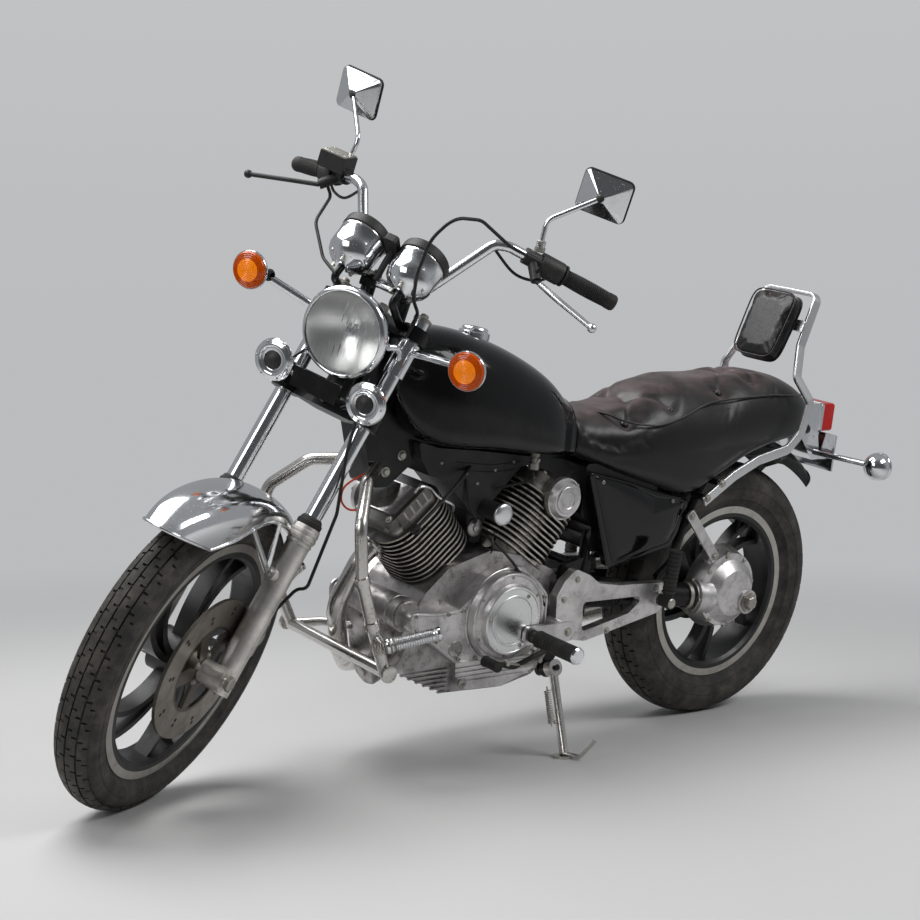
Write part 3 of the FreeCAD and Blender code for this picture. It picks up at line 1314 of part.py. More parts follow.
def lowest_point(place, centre, radius, crown_radius, turn):
    """Height of a tyre's lowest point once it is steered and placed."""
    side = place.Rotation.multiply(turn).multVec(vec(0, 1, 0))
    hub = place.multVec(centre)
    return hub.z - (radius - crown_radius) * math.sqrt(1 - side.z ** 2) - crown_radius


def steering_placement():
    turn = Rotation(steering_up, lock_angle)
    return Placement(vec(0, 0, 0), turn, steering_foot)


def stance():
    """Lean to the left, then pitch and drop until both tyres rest on the floor."""
    lean = Rotation(vec(1, 0, 0), -lean_angle)
    steer = steering_placement()
    pitch = 0.0
    drop = 0.0
    for step in range(6):
        place = Placement(vec(0, 0, drop), lean.multiply(Rotation(vec(0, 1, 0), pitch)))
        front = lowest_point(place, steer.multVec(front_axle), front_tyre_radius, front_crown_radius,
                             steer.Rotation)
        rear = lowest_point(place, rear_axle, rear_tyre_radius, rear_crown_radius, Rotation())
        drop -= (front + rear) / 2
        pitch += math.degrees((front - rear) / wheelbase)
    return place


def from_ground(point):
    """A floor point, seen from the upright machine."""
    return stance().inverse().multVec(point)


steered = {"fork_tubes": fork_tubes, "fork_sliders": fork_sliders, "triple_clamps": triple_clamps,
           "handlebar": handlebar, "grips": grips, "control_pods": control_pods, "mirrors": mirrors,
           "mirror_glasses": mirror_glasses, "headlight_shell": headlight_shell,
           "headlight_lens": headlight_lens, "gauge_cups": gauge_cups,
           "front_signal_bodies": front_signal_bodies, "front_signal_lenses": front_signal_lenses,
           "horns": horns, "front_fender": front_fender, "brake_caliper": brake_caliper,
           "control_cables": control_cables, "front_tyre": front_tyre,
           "front_wheel_casting": front_wheel_casting, "brake_disc": brake_disc}

fixed = {"frame": frame, "fuel_tank": fuel_tank, "seat": seat, "side_covers": side_covers,
         "sissy_bar": sissy_bar, "backrest_pad": backrest_pad, "rear_fender": rear_fender,
         "tail_bracket": tail_bracket, "tail_lamp_lens": tail_lamp_lens,
         "rear_signal_lenses": rear_signal_lenses, "crankcase": crankcase, "engine_covers": engine_covers,
         "front_cylinder": front_cylinder, "rear_cylinder": rear_cylinder, "carburettors": carburettors,
         "exhaust": exhaust, "crash_bars": crash_bars, "foot_controls": foot_controls,
         "footrest_brackets": footrest_brackets, "swingarm": swingarm, "final_drive": final_drive,
         "rear_tyre": rear_tyre, "rear_wheel_casting": rear_wheel_casting, "stand_leg": stand_leg,
         "stand_spring": stand_spring}


def placed_parts():
    """Every part in its resting place, steered, leaned and shifted to the shared origin."""
    place = stance()
    turned_front = place.multiply(steering_placement())
    shapes = {}
    for name, make in steered.items():
        shapes[name] = make()
        shapes[name].Placement = turned_front.multiply(shapes[name].Placement)
    for name, make in fixed.items():
        shapes[name] = make()
        shapes[name].Placement = place.multiply(shapes[name].Placement)
    box = Part.makeCompound(list(shapes.values())).optimalBoundingBox(False, False)
    shift = vec(-(box.XMin + box.XMax) / 2, -(box.YMin + box.YMax) / 2, -box.ZMin)
    for shape in shapes.values():
        shape.Placement = Placement(shift, Rotation()).multiply(shape.Placement)
    return shapes, shift


def main():
    os.makedirs("parts", exist_ok=True)
    shapes, shift = placed_parts()
    for name, shape in shapes.items():
        shape.exportStep("parts/" + name + ".step")
        print(name, len(shape.Solids), "valid" if shape.isValid() else "NOT VALID", round(shape.Volume / 1000), "cm3")
    print("shift", shift)


main()
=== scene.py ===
import bmesh
import bpy
import json
import math
import numpy as np
from mathutils import Matrix, Vector


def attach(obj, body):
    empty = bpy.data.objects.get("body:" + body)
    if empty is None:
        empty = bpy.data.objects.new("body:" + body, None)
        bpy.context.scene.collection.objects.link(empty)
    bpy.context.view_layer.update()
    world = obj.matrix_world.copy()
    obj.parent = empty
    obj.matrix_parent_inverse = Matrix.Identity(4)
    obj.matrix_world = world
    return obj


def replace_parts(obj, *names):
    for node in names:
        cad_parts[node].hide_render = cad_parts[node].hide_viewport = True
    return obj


# A V-twin cruiser motorcycle on its side stand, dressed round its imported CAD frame.
# Pieces are worked out on the upright, straight-ahead machine in millimetres (+X forward,
# +Y to the rider's left, +Z up) and then placed where the frame's joints say that it stands.

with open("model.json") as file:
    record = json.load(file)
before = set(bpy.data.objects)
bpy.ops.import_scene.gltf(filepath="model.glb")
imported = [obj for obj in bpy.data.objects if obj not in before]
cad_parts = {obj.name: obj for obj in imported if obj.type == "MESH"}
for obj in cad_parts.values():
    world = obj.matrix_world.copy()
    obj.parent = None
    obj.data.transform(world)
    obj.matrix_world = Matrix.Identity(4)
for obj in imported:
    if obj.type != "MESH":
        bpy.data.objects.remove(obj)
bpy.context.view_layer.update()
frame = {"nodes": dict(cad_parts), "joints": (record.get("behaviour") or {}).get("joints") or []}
nodes = frame["nodes"]
print("frame loaded:", len(nodes), "nodes")

machine = {
    "rearAxle": Vector((-762.5, 0, 320)),
    "frontAxle": Vector((762.5, 0, 331)),
    "steeringFoot": Vector((887.5, 0, 0)),
    "headAlong": 1128.0,
    "rake": math.radians(29.5),
    "lock": math.radians(31.0),
}
steeringUp = Vector((-math.sin(machine["rake"]), 0, math.cos(machine["rake"])))
steeringAhead = Vector((math.cos(machine["rake"]), 0, math.sin(machine["rake"])))
toFront, toRear, toLeft, toRight, toTop = (1, 0, 0), (-1, 0, 0), (0, 1, 0), (0, -1, 0), (0, 0, 1)
joints = {joint["name"]: joint for joint in frame["joints"]}


def forkPoint(along, ahead, side):
    return machine["steeringFoot"] + steeringUp * along + steeringAhead * ahead + Vector((0, side, 0))


head = forkPoint(machine["headAlong"], 0, 0)


def headPoint(ahead, side, above):
    return head + Vector((ahead, side, above))


def headSpot(spot, side):
    # a spot measured from the steering head, or its twin on the right for a side of -1
    return headPoint(spot[0], side * spot[1], spot[2])


def mirrored(spot, side):
    return Vector((spot[0], side * spot[1], spot[2]))


def wheelWay(degrees):
    # a direction in the machine's middle plane
    return Vector((math.cos(math.radians(degrees)), 0, math.sin(math.radians(degrees))))


def squarish(value, power):
    return math.copysign(abs(value) ** power, value)


def ringFaces(rows, count):
    # quads between rings of points that follow each other
    return [[row * count + n, row * count + (n + 1) % count, (row + 1) * count + (n + 1) % count,
             (row + 1) * count + n] for row in range(rows - 1) for n in range(count)]


def rectangle(left, right, low, high):
    return [(left, low), (right, low), (right, high), (left, high)]


def chamfered(half, tall, cut, slope):
    return [(-half, slope - tall), (cut - half, -tall), (half - cut, -tall), (half, slope - tall),
            (half, tall - slope), (half - cut, tall), (cut - half, tall), (-half, tall - slope)]


def standingPlaces():
    rear = Vector(joints["rear_wheel_spin"]["pos_m"])
    left = Vector(joints["rear_wheel_spin"]["axis"]).normalized()
    toHead = Vector(joints["steering_turn"]["pos_m"]) - rear
    span = head - machine["rearAxle"]
    forward = (Matrix.Rotation(math.atan2(span.z, span.x), 3, left) @ toHead).normalized()
    up = forward.cross(left)
    turn = Matrix((forward, left, up)).transposed().to_4x4()
    place = (Matrix.Translation(rear) @ turn @ Matrix.Scale(0.001, 4)
             @ Matrix.Translation(-machine["rearAxle"]))
    foot = Matrix.Translation(machine["steeringFoot"])
    steered = place @ foot @ Matrix.Rotation(machine["lock"], 4, steeringUp) @ foot.inverted()
    return {"chassis": place, "steering": steered, "front_wheel": steered, "rear_wheel": place,
            "side_stand": place}


places = standingPlaces()


# The studio: a camera on the photograph's spot, a pale floor, soft boxes and a darker room behind the camera

studio = {
    "cameraSpot": (2.5409, 2.97327, 0.8869),
    "cameraYaw": -129.0386,
    "cameraPitch": -3.3156,
    "focalPixels": 1791.8,
    "framePixels": 920.0,
    "backdrop": (0.50, 0.505, 0.515, 1),
    "backdropTop": (0.56, 0.565, 0.57, 1),
    "roomLight": (0.30, 0.31, 0.32, 1),
    "darkRoom": (0.075, 0.077, 0.08, 1),
    "floor": (0.60, 0.596, 0.592, 1),
    "keyPower": 105.0,
    "fillPower": 28.0,
    "rimPower": 55.0,
}


class Field:
    # wraps a node socket so that shader maths reads as plain expressions
    def __init__(self, graph, socket):
        self.graph = graph
        self.socket = socket

    def maths(self, operation, other=None, swapped=False):
        first, second = (other, self) if swapped else (self, other)
        values = {0: first} if second is None else {0: first, 1: second}
        return self.graph.field("ShaderNodeMath", {"operation": operation}, values)

    def __add__(self, other):
        return self.maths("ADD", other)

    def __sub__(self, other):
        return self.maths("SUBTRACT", other)

    def __rsub__(self, other):
        return self.maths("SUBTRACT", other, True)

    def __mul__(self, other):
        return self.maths("MULTIPLY", other)

    def __truediv__(self, other):
        return self.maths("DIVIDE", other)

    __radd__ = __add__
    __rmul__ = __mul__

    def between(self, low, high):
        # 0 below low, 1 above high, smooth in between
        return self.graph.field("ShaderNodeMapRange", {"interpolation_type": "SMOOTHSTEP"},
                                {"Value": self, "From Min": low, "From Max": high})

    def part(self, index):
        return self.graph.field("ShaderNodeSeparateXYZ", {}, {0: self}, index)


class Graph:
    def __init__(self, tree):
        self.tree = tree

    def node(self, kind, settings=None, values=None):
        made = self.tree.nodes.new(kind)
        for key, value in (settings or {}).items():
            if key == "stops":
                ramp = made.color_ramp
                while len(ramp.elements) < len(value):
                    ramp.elements.new(0.5)
                for element, (position, colour) in zip(ramp.elements, value):
                    element.position = position
                    element.color = colour
            else:
                setattr(made, key, value)
        for key, value in (values or {}).items():
            if isinstance(value, Field):
                self.tree.links.new(value.socket, made.inputs[key])
            else:
                made.inputs[key].default_value = value
        return made

    def field(self, kind, settings=None, values=None, output=0):
        return Field(self, self.node(kind, settings, values).outputs[output])

    def blend(self, factor, first, second):
        return self.field("ShaderNodeMix", {"data_type": "RGBA"}, {0: factor, 6: first, 7: second}, 2)

    def vector(self, operation, first, second=None):
        values = {0: first} if second is None else {0: first, 1: second}
        output = 1 if operation in ("DOT_PRODUCT", "LENGTH", "DISTANCE") else 0
        return self.field("ShaderNodeVectorMath", {"operation": operation}, values, output)

    def spot(self):
        return self.field("ShaderNodeTexCoord", {}, {}, "Object")

    def noise(self, scale, detail=3.0, roughness=0.55, where=None):
        return self.field("ShaderNodeTexNoise", {}, {"Vector": where or self.spot(), "Scale": scale,
                                                     "Detail": detail, "Roughness": roughness})

    def bump(self, height, distance, strength=1.0):
        return self.field("ShaderNodeBump", {},
                          {"Height": height, "Distance": distance, "Strength": strength})

    def finish(self, colour, roughness, metallic=0.0, normal=None, fixed=None, coat=None):
        values = {"Base Color": colour, "Roughness": roughness, "Metallic": metallic}
        if normal is not None:
            values["Normal"] = normal
        if coat is not None:
            values["Coat Weight"] = coat
        values.update(fixed or {})
        shader = self.field("ShaderNodeBsdfPrincipled", {}, values)
        self.node("ShaderNodeOutputMaterial", {}, {"Surface": shader})


def newMaterial(name):
    material = bpy.data.materials.new(name)
    material.use_nodes = True
    material.node_tree.nodes.clear()
    return material, Graph(material.node_tree)


def buildCamera():
    data = bpy.data.cameras.new("studioCamera")
    data.sensor_width = 36.0
    data.lens = studio["focalPixels"] / studio["framePixels"] * data.sensor_width
    camera = bpy.data.objects.new("studioCamera", data)
    bpy.context.scene.collection.objects.link(camera)
    yaw, pitch = math.radians(studio["cameraYaw"]), math.radians(studio["cameraPitch"])
    look = Vector((math.cos(yaw) * math.cos(pitch), math.sin(yaw) * math.cos(pitch), math.sin(pitch)))
    camera.location = studio["cameraSpot"]
    camera.rotation_mode = "QUATERNION"
    camera.rotation_quaternion = look.to_track_quat("-Z", "Y")
    bpy.context.scene.camera = camera


def softBox(name, spot, aim, size, power):
    data = bpy.data.lights.new(name, "AREA")
    data.shape = "RECTANGLE"
    data.size, data.size_y = size
    data.energy = power
    lamp = bpy.data.objects.new(name, data)
    bpy.context.scene.collection.objects.link(lamp)
    lamp.location = spot
    lamp.rotation_mode = "QUATERNION"
    lamp.rotation_quaternion = (Vector(aim) - Vector(spot)).to_track_quat("-Z", "Y")


def buildStudio():
    scene = bpy.context.scene
    scene.view_settings.view_transform = "Standard"
    world = bpy.data.worlds.new("studioRoom")
    scene.world = world
    world.use_nodes = True
    world.node_tree.nodes.clear()
    graph = Graph(world.node_tree)
    way = graph.field("ShaderNodeTexCoord", {}, {}, "Generated")
    seen = graph.blend(way.part(2).between(-0.02, 0.35), studio["backdrop"], studio["backdropTop"])
    behind = graph.vector("DOT_PRODUCT", way, (0.63, 0.777, -0.1)).between(0.15, 0.8)
    room = graph.blend(behind, studio["roomLight"], studio["darkRoom"])
    path = graph.node("ShaderNodeLightPath")
    direct = Field(graph, path.outputs["Is Camera Ray"])
    colour = graph.blend(direct, room, seen)
    shader = graph.field("ShaderNodeBackground", {}, {"Color": colour, "Strength": 1.0})
    graph.node("ShaderNodeOutputWorld", {}, {"Surface": shader})

    bpy.ops.mesh.primitive_circle_add(vertices=96, radius=6.5, fill_type="NGON")
    floor = bpy.context.object
    floor.name = "studioFloor"
    material, graph = newMaterial("studioFloor")
    far = graph.vector("LENGTH", graph.spot()).between(0.9, 4.2)
    paper = graph.field("ShaderNodeBsdfDiffuse", {}, {"Color": studio["floor"]})
    clear = graph.field("ShaderNodeBsdfTransparent", {}, {"Color": (1, 1, 1, 1)})
    sheen = graph.field("ShaderNodeBsdfGlossy", {}, {"Color": (0.5, 0.5, 0.5, 1), "Roughness": 0.28})
    glossy = graph.field("ShaderNodeMixShader", {}, {0: 0.06, 1: paper, 2: sheen})
    mixed = graph.field("ShaderNodeMixShader", {}, {0: far, 1: glossy, 2: clear})
    graph.node("ShaderNodeOutputMaterial", {}, {"Surface": mixed})
    floor.data.materials.append(material)

    softBox("keyBox", (1.0, -0.9, 3.3), (0.1, 0.0, 0.4), (2.8, 2.0), studio["keyPower"])
    softBox("fillBox", (3.4, 0.6, 2.3), (0.2, 0.1, 0.5), (1.6, 1.8), studio["fillPower"])
    softBox("rimBox", (-1.5, 2.6, 2.9), (-0.2, 0.0, 0.5), (2.2, 1.2), studio["rimPower"])


buildCamera()
buildStudio()
print("studio ready")


# Finishes

def chromeFinish(name, tone, haze, pits, stain):
    material, graph = newMaterial(name)
    cloud = graph.noise(9.0, 4.0)
    speck = graph.noise(420.0, 2.0, 0.7).between(1.0 - pits, 1.03 - pits)
    patch = graph.noise(26.0, 5.0, 0.7).between(0.52, 0.72) * stain
    colour = graph.blend(patch, tone, (0.30, 0.24, 0.18, 1))
    colour = graph.blend(speck * 0.8, colour, (0.16, 0.08, 0.04, 1))
    roughness = haze + cloud * haze * 0.8 + speck * 0.4 + patch * 0.25
    graph.finish(colour, roughness, 1.0, graph.bump(speck, 0.0004, 0.4))
    return material


def castFinish(name, tone, roughness, grime):
    material, graph = newMaterial(name)
    grain = graph.noise(900.0, 2.0, 0.6)
    cloud = graph.noise(14.0, 5.0, 0.6)
    dirt = graph.noise(38.0, 6.0, 0.72).between(0.46, 0.76) * grime
    colour = graph.blend(cloud.between(0.35, 0.7) * 0.7, tone, tuple(0.55 * part for part in tone[:3]) + (1,))
    colour = graph.blend(dirt, colour, (0.06, 0.048, 0.036, 1))
    rough = roughness + cloud * 0.18 + dirt * 0.35
    graph.finish(colour, rough, 1.0 - dirt * 0.75, graph.bump(grain + cloud * 0.5, 0.0006, 0.25))
    return material


def paintFinish(name, tone, roughness, dust, coat=1.0):
    material, graph = newMaterial(name)
    peel = graph.noise(160.0, 1.0)
    film = graph.noise(11.0, 5.0, 0.65).between(0.42, 0.8) * dust
    mote = graph.noise(700.0, 2.0, 0.8).between(0.74, 0.8) * dust
    colour = graph.blend(film * 0.10 + mote * 0.35, tone, (0.35, 0.33, 0.30, 1))
    graph.finish(colour, roughness + film * 0.22, 0.0, graph.bump(peel, 0.00012, 0.3),
                 {"Coat Roughness": 0.04, "Specular IOR Level": 0.16}, coat)
    return material


def rubberFinish(name, tone, roughness, dust):
    material, graph = newMaterial(name)
    grain = graph.noise(1400.0, 3.0, 0.7)
    film = graph.noise(20.0, 6.0, 0.7).between(0.35, 0.8) * dust
    colour = graph.blend(film, tone, (0.115, 0.10, 0.085, 1))
    graph.finish(colour, roughness + grain * 0.12, 0.0, graph.bump(grain, 0.0005, 0.35),
                 {"Specular IOR Level": 0.35})
    return material


def leatherFinish(name, tone, wornAndSheenTone):
    material, graph = newMaterial(name)
    cells = graph.field("ShaderNodeTexVoronoi", {"feature": "F1"}, {"Vector": graph.spot(), "Scale": 620.0},
                        0)
    crease = graph.noise(75.0, 5.0, 0.6)
    wear = graph.noise(9.0, 4.0, 0.6).between(0.36, 0.72)
    upward = graph.field("ShaderNodeNewGeometry", {}, {}, "Normal").part(2).between(0.45, 0.95)
    # the upward-facing cover takes a lighter tone: partly random wear, and partly a painted sheen highlight on
    # the top where the light falls
    colour = graph.blend(wear * upward * 0.75 + upward * 0.25, tone, wornAndSheenTone)
    roughness = 0.24 + crease * 0.18 + wear * 0.06
    graph.finish(colour, roughness, 0.0, graph.bump(cells * 0.5 + crease, 0.0007, 0.35),
                 {"Specular IOR Level": 0.45, "Sheen Weight": 0.06, "Sheen Roughness": 0.4})
    return material


def lensFinish(name, tone, glow, ribs):
    material, graph = newMaterial(name)
    cloud = graph.noise(30.0, 3.0)
    prism = graph.field("ShaderNodeTexVoronoi", {"feature": "F1", "distance": "CHEBYCHEV"},
                        {"Vector": graph.spot(), "Scale": ribs}, 0)
    colour = graph.blend(cloud * 0.5 + prism * 0.5, tone, tuple(0.45 * part for part in tone[:3]) + (1,))
    # the emission is a painted glow on an unlit lens, standing in for light passing through it
    graph.finish(colour, 0.16 + cloud * 0.05, 0.0, graph.bump(prism, 0.0006, 0.3),
                 {"IOR": 1.45, "Specular IOR Level": 0.3, "Coat Weight": 0.25, "Coat Roughness": 0.05,
                  "Emission Color": tone, "Emission Strength": glow})
    return material


def glassFinish(name, tone, roughness, flute=0.0):
    # a flute is the width of one upright prism in the glass, in metres
    material, graph = newMaterial(name)
    smear = graph.noise(18.0, 4.0)
    normal = None
    if flute:
        across = (places["steering"].to_3x3() @ Vector(toLeft)).normalized()
        wave = (graph.vector("DOT_PRODUCT", graph.spot(),
                             tuple(across)) * (2 * math.pi / flute)).maths("SINE")
        normal = graph.bump(wave, 0.0004, 0.4)
    graph.finish(tone, roughness + smear * 0.06, 0.0, normal, {"Transmission Weight": 1.0, "IOR": 1.46})
    return material


def finFinish(name, tilt):
    # black fins with bare metal on their rims: the rims face away from the cylinder's axis
    material, graph = newMaterial(name)
    axis = (places["chassis"].to_3x3() @ Vector((math.sin(tilt), 0, math.cos(tilt)))).normalized()
    normal = graph.field("ShaderNodeNewGeometry", {}, {}, "True Normal")
    rim = graph.vector("DOT_PRODUCT", normal, tuple(axis)).maths("ABSOLUTE")
    chips = graph.noise(60.0, 6.0, 0.7)
    foot = places["chassis"] @ Vector((38, 0, 362))
    height = graph.vector("DOT_PRODUCT", graph.vector("SUBTRACT", graph.spot(), tuple(foot)), tuple(axis))
    bare = ((1.0 - rim.between(0.25, 0.6)) * chips.between(0.30, 0.52)
            * (1.0 - height.between(0.292, 0.3) * 0.72))
    dust = graph.noise(24.0, 5.0, 0.7).between(0.45, 0.8)
    colour = graph.blend(dust * 0.55, (0.022, 0.021, 0.02, 1), (0.10, 0.082, 0.062, 1))
    colour = graph.blend(bare, colour, (0.52, 0.49, 0.44, 1))
    graph.finish(colour, 0.5 - bare * 0.14 + dust * 0.2, bare * 0.9, graph.bump(chips, 0.0008, 0.3))
    return material


def axleReach(graph, place, centre):
    # how far a point lies from a wheel's axle
    side = (place.to_3x3() @ Vector(toLeft)).normalized()
    offset = graph.vector("SUBTRACT", graph.spot(), tuple(place @ centre))
    along = graph.vector("DOT_PRODUCT", offset, tuple(side))
    return (graph.vector("DOT_PRODUCT", offset, offset) - along * along).maths("SQRT")


def wheelFinish(name, place, centre, lipRadius):
    # satin black, with the rim's outer lip machined bare
    material, graph = newMaterial(name)
    reach = axleReach(graph, place, centre)
    lip = reach.between(lipRadius - 0.0010, lipRadius + 0.0002)
    scratch = graph.noise(240.0, 3.0, 0.6)
    dirt = graph.noise(30.0, 6.0, 0.72).between(0.42, 0.8)
    black = graph.blend(dirt * 0.3, (0.008, 0.008, 0.0085, 1), (0.06, 0.052, 0.045, 1))
    bare = graph.blend(dirt * 0.5, (0.55, 0.53, 0.49, 1), (0.24, 0.20, 0.16, 1))
    colour = graph.blend(lip, black, bare)
    graph.finish(colour, 0.36 + dirt * 0.25 - lip * 0.05, lip, graph.bump(scratch, 0.0003, 0.3))
    return material


def discFinish(name, place, centre):
    # a swept friction ring with fine turned rings and some rust
    material, graph = newMaterial(name)
    reach = axleReach(graph, place, centre)
    rings = (reach * 4200.0).maths("SINE") * 0.5 + 0.5
    blotch = graph.noise(22.0, 5.0, 0.65).between(0.35, 0.75)
    swept = reach.between(0.090, 0.094)
    colour = graph.blend(blotch * 0.7, (0.30, 0.275, 0.245, 1), (0.17, 0.135, 0.105, 1))
    colour = graph.blend(swept, (0.10, 0.085, 0.07, 1), colour)
    graph.finish(colour, 0.33 + blotch * 0.18, 0.9, graph.bump(rings, 0.0002, 0.35))
    return material


finishes = {
    "chrome": chromeFinish("chromePlate", (0.80, 0.81, 0.83, 1), 0.085, 0.32, 0.12),
    "tiredChrome": chromeFinish("tiredChrome", (0.60, 0.585, 0.56, 1), 0.17, 0.36, 0.45),
    "brightBar": chromeFinish("polishedBar", (0.74, 0.745, 0.75, 1), 0.20, 0.26, 0.06),
    "castAlloy": castFinish("castAlloy", (0.72, 0.70, 0.70, 1), 0.27, 0.50),
    "dirtyAlloy": castFinish("weatheredAlloy", (0.45, 0.43, 0.43, 1), 0.28, 0.90),
    "legAlloy": castFinish("forkLegAlloy", (0.80, 0.77, 0.73, 1), 0.36, 0.25),
    "gloss": paintFinish("glossBlackPaint", (0.0022, 0.0022, 0.0025, 1), 0.14, 0.22, 0.42),
    "enamel": paintFinish("frameEnamel", (0.006, 0.006, 0.0063, 1), 0.30, 0.6, 0.22),
    "plastic": rubberFinish("blackPlastic", (0.018, 0.018, 0.019, 1), 0.42, 0.25),
    "rubber": rubberFinish("blackRubber", (0.013, 0.013, 0.013, 1), 0.62, 0.3),
    "tyre": rubberFinish("tyreRubber", (0.026, 0.025, 0.024, 1), 0.62, 0.85),
    "hose": rubberFinish("hoseRubber", (0.010, 0.010, 0.011, 1), 0.38, 0.12),
    # the second tone is the worn top of the cover together with a painted sheen highlight
    "leather": leatherFinish("seatLeather", (0.0045, 0.004, 0.004, 1), (0.115, 0.082, 0.082, 1)),
    "orange": lensFinish("orangeLens", (0.62, 0.085, 0.0, 1), 0.10, 240.0),
    # the amber centre glows more strongly than the rest of the lens, a painted highlight
    "paintedGlowAmber": lensFinish("paintedGlowAmberLens", (1.0, 0.26, 0.008, 1), 0.28, 240.0),
    "red": lensFinish("redLens", (0.50, 0.006, 0.005, 1), 0.16, 240.0),
    "glass": glassFinish("clearGlass", (0.97, 0.98, 0.98, 1), 0.0),
    "fluted": glassFinish("flutedGlass", (0.98, 0.985, 0.98, 1), 0.10, 0.0062),
    "mirror": chromeFinish("silveredGlass", (0.86, 0.87, 0.88, 1), 0.012, 0.20, 0.0),
    "reflector": chromeFinish("lampReflector", (0.96, 0.96, 0.95, 1), 0.22, 0.20, 0.0),
    "frontFins": finFinish("frontFins", math.radians(41.0)),
    "rearFins": finFinish("rearFins", math.radians(-34.0)),
    "frontWheel": wheelFinish("frontWheelEnamel", places["front_wheel"], machine["frontAxle"], 0.2365),
    "rearWheel": wheelFinish("rearWheelEnamel", places["rear_wheel"], machine["rearAxle"], 0.1995),
    "disc": discFinish("discSteel", places["front_wheel"], machine["frontAxle"]),
    "plainSteel": castFinish("zincSteel", (0.48, 0.46, 0.42, 1), 0.34, 0.35),
    "dial": paintFinish("dialFace", (0.010, 0.010, 0.011, 1), 0.5, 0.05, 0.0),
    "redLead": paintFinish("redLead", (0.55, 0.06, 0.02, 1), 0.4, 0.3, 0.0),
    "marking": paintFinish("dialMarks", (0.75, 0.74, 0.70, 1), 0.5, 0.05, 0.0),
    "needle": paintFinish("needleRed", (0.65, 0.05, 0.01, 1), 0.5, 0.05, 0.0),
}

nodeFinishes = {
    "frame": "enamel", "fuel_tank": "gloss", "seat": "leather", "side_covers": "gloss",
    "sissy_bar": "brightBar", "backrest_pad": "leather", "rear_fender": "enamel", "tail_bracket": "chrome",
    "tail_lamp_lens": "red", "rear_signal_lenses": "orange", "crankcase": "dirtyAlloy",
    "engine_covers": "castAlloy", "front_cylinder": "frontFins", "rear_cylinder": "rearFins",
    "carburettors": "plastic", "exhaust": "tiredChrome", "crash_bars": "tiredChrome",
    "foot_controls": "rubber", "footrest_brackets": "castAlloy", "swingarm": "enamel",
    "final_drive": "castAlloy", "rear_tyre": "tyre", "rear_wheel_casting": "rearWheel",
    "stand_leg": "tiredChrome", "stand_spring": "plainSteel", "fork_tubes": "chrome",
    "fork_sliders": "legAlloy", "triple_clamps": "enamel", "handlebar": "chrome", "grips": "rubber",
    "control_pods": "plastic", "mirrors": "chrome", "mirror_glasses": "mirror", "headlight_shell": "chrome",
    "headlight_lens": "fluted", "gauge_cups": "chrome", "front_signal_bodies": "chrome",
    "front_signal_lenses": "orange", "horns": "chrome", "front_fender": "chrome",
    "brake_caliper": "dirtyAlloy", "control_cables": "hose", "front_tyre": "tyre",
    "front_wheel_casting": "frontWheel", "brake_disc": "disc",
}


def smoothingTree():
    # joins a CAD node's loose triangles and shades it smooth except over its real edges
    tree = bpy.data.node_groups.new("smoothOverEdges", "GeometryNodeTree")
    tree.interface.new_socket("Geometry", in_out="INPUT", socket_type="NodeSocketGeometry")
    limit = tree.interface.new_socket("Edge Angle", in_out="INPUT", socket_type="NodeSocketFloat")
    limit.default_value = math.radians(33.0)
    tree.interface.new_socket("Geometry", in_out="OUTPUT", socket_type="NodeSocketGeometry")
    graph = Graph(tree)
    start = graph.node("NodeGroupInput")
    merged = graph.field("GeometryNodeMergeByDistance", {}, {"Geometry": Field(graph, start.outputs[0]),
                                                             "Distance": 0.000005})
    smooth = graph.field("GeometryNodeSetShadeSmooth", {"domain": "FACE"},
                         {"Geometry": merged, "Shade Smooth": True})
    angle = graph.field("GeometryNodeInputMeshEdgeAngle", {}, {}, "Unsigned Angle")
    sharp = graph.field("FunctionNodeCompare", {"operation": "GREATER_THAN"},
                        {0: angle, 1: Field(graph, start.outputs["Edge Angle"])})
    edged = graph.field("GeometryNodeSetShadeSmooth", {"domain": "EDGE"},
                        {"Geometry": smooth, "Selection": sharp, "Shade Smooth": False})
    graph.node("NodeGroupOutput", {}, {"Geometry": edged})
    return tree


smoothOverEdges = smoothingTree()
for name, node in nodes.items():
    node.data.materials.clear()
    node.data.materials.append(finishes[nodeFinishes[name]])
    smoother = node.modifiers.new("smoothOverEdges", "NODES")
    smoother.node_group = smoothOverEdges
print("finishes ready:", len(finishes))


# Shapes are gathered as points and faces on the upright machine, then made into one piece

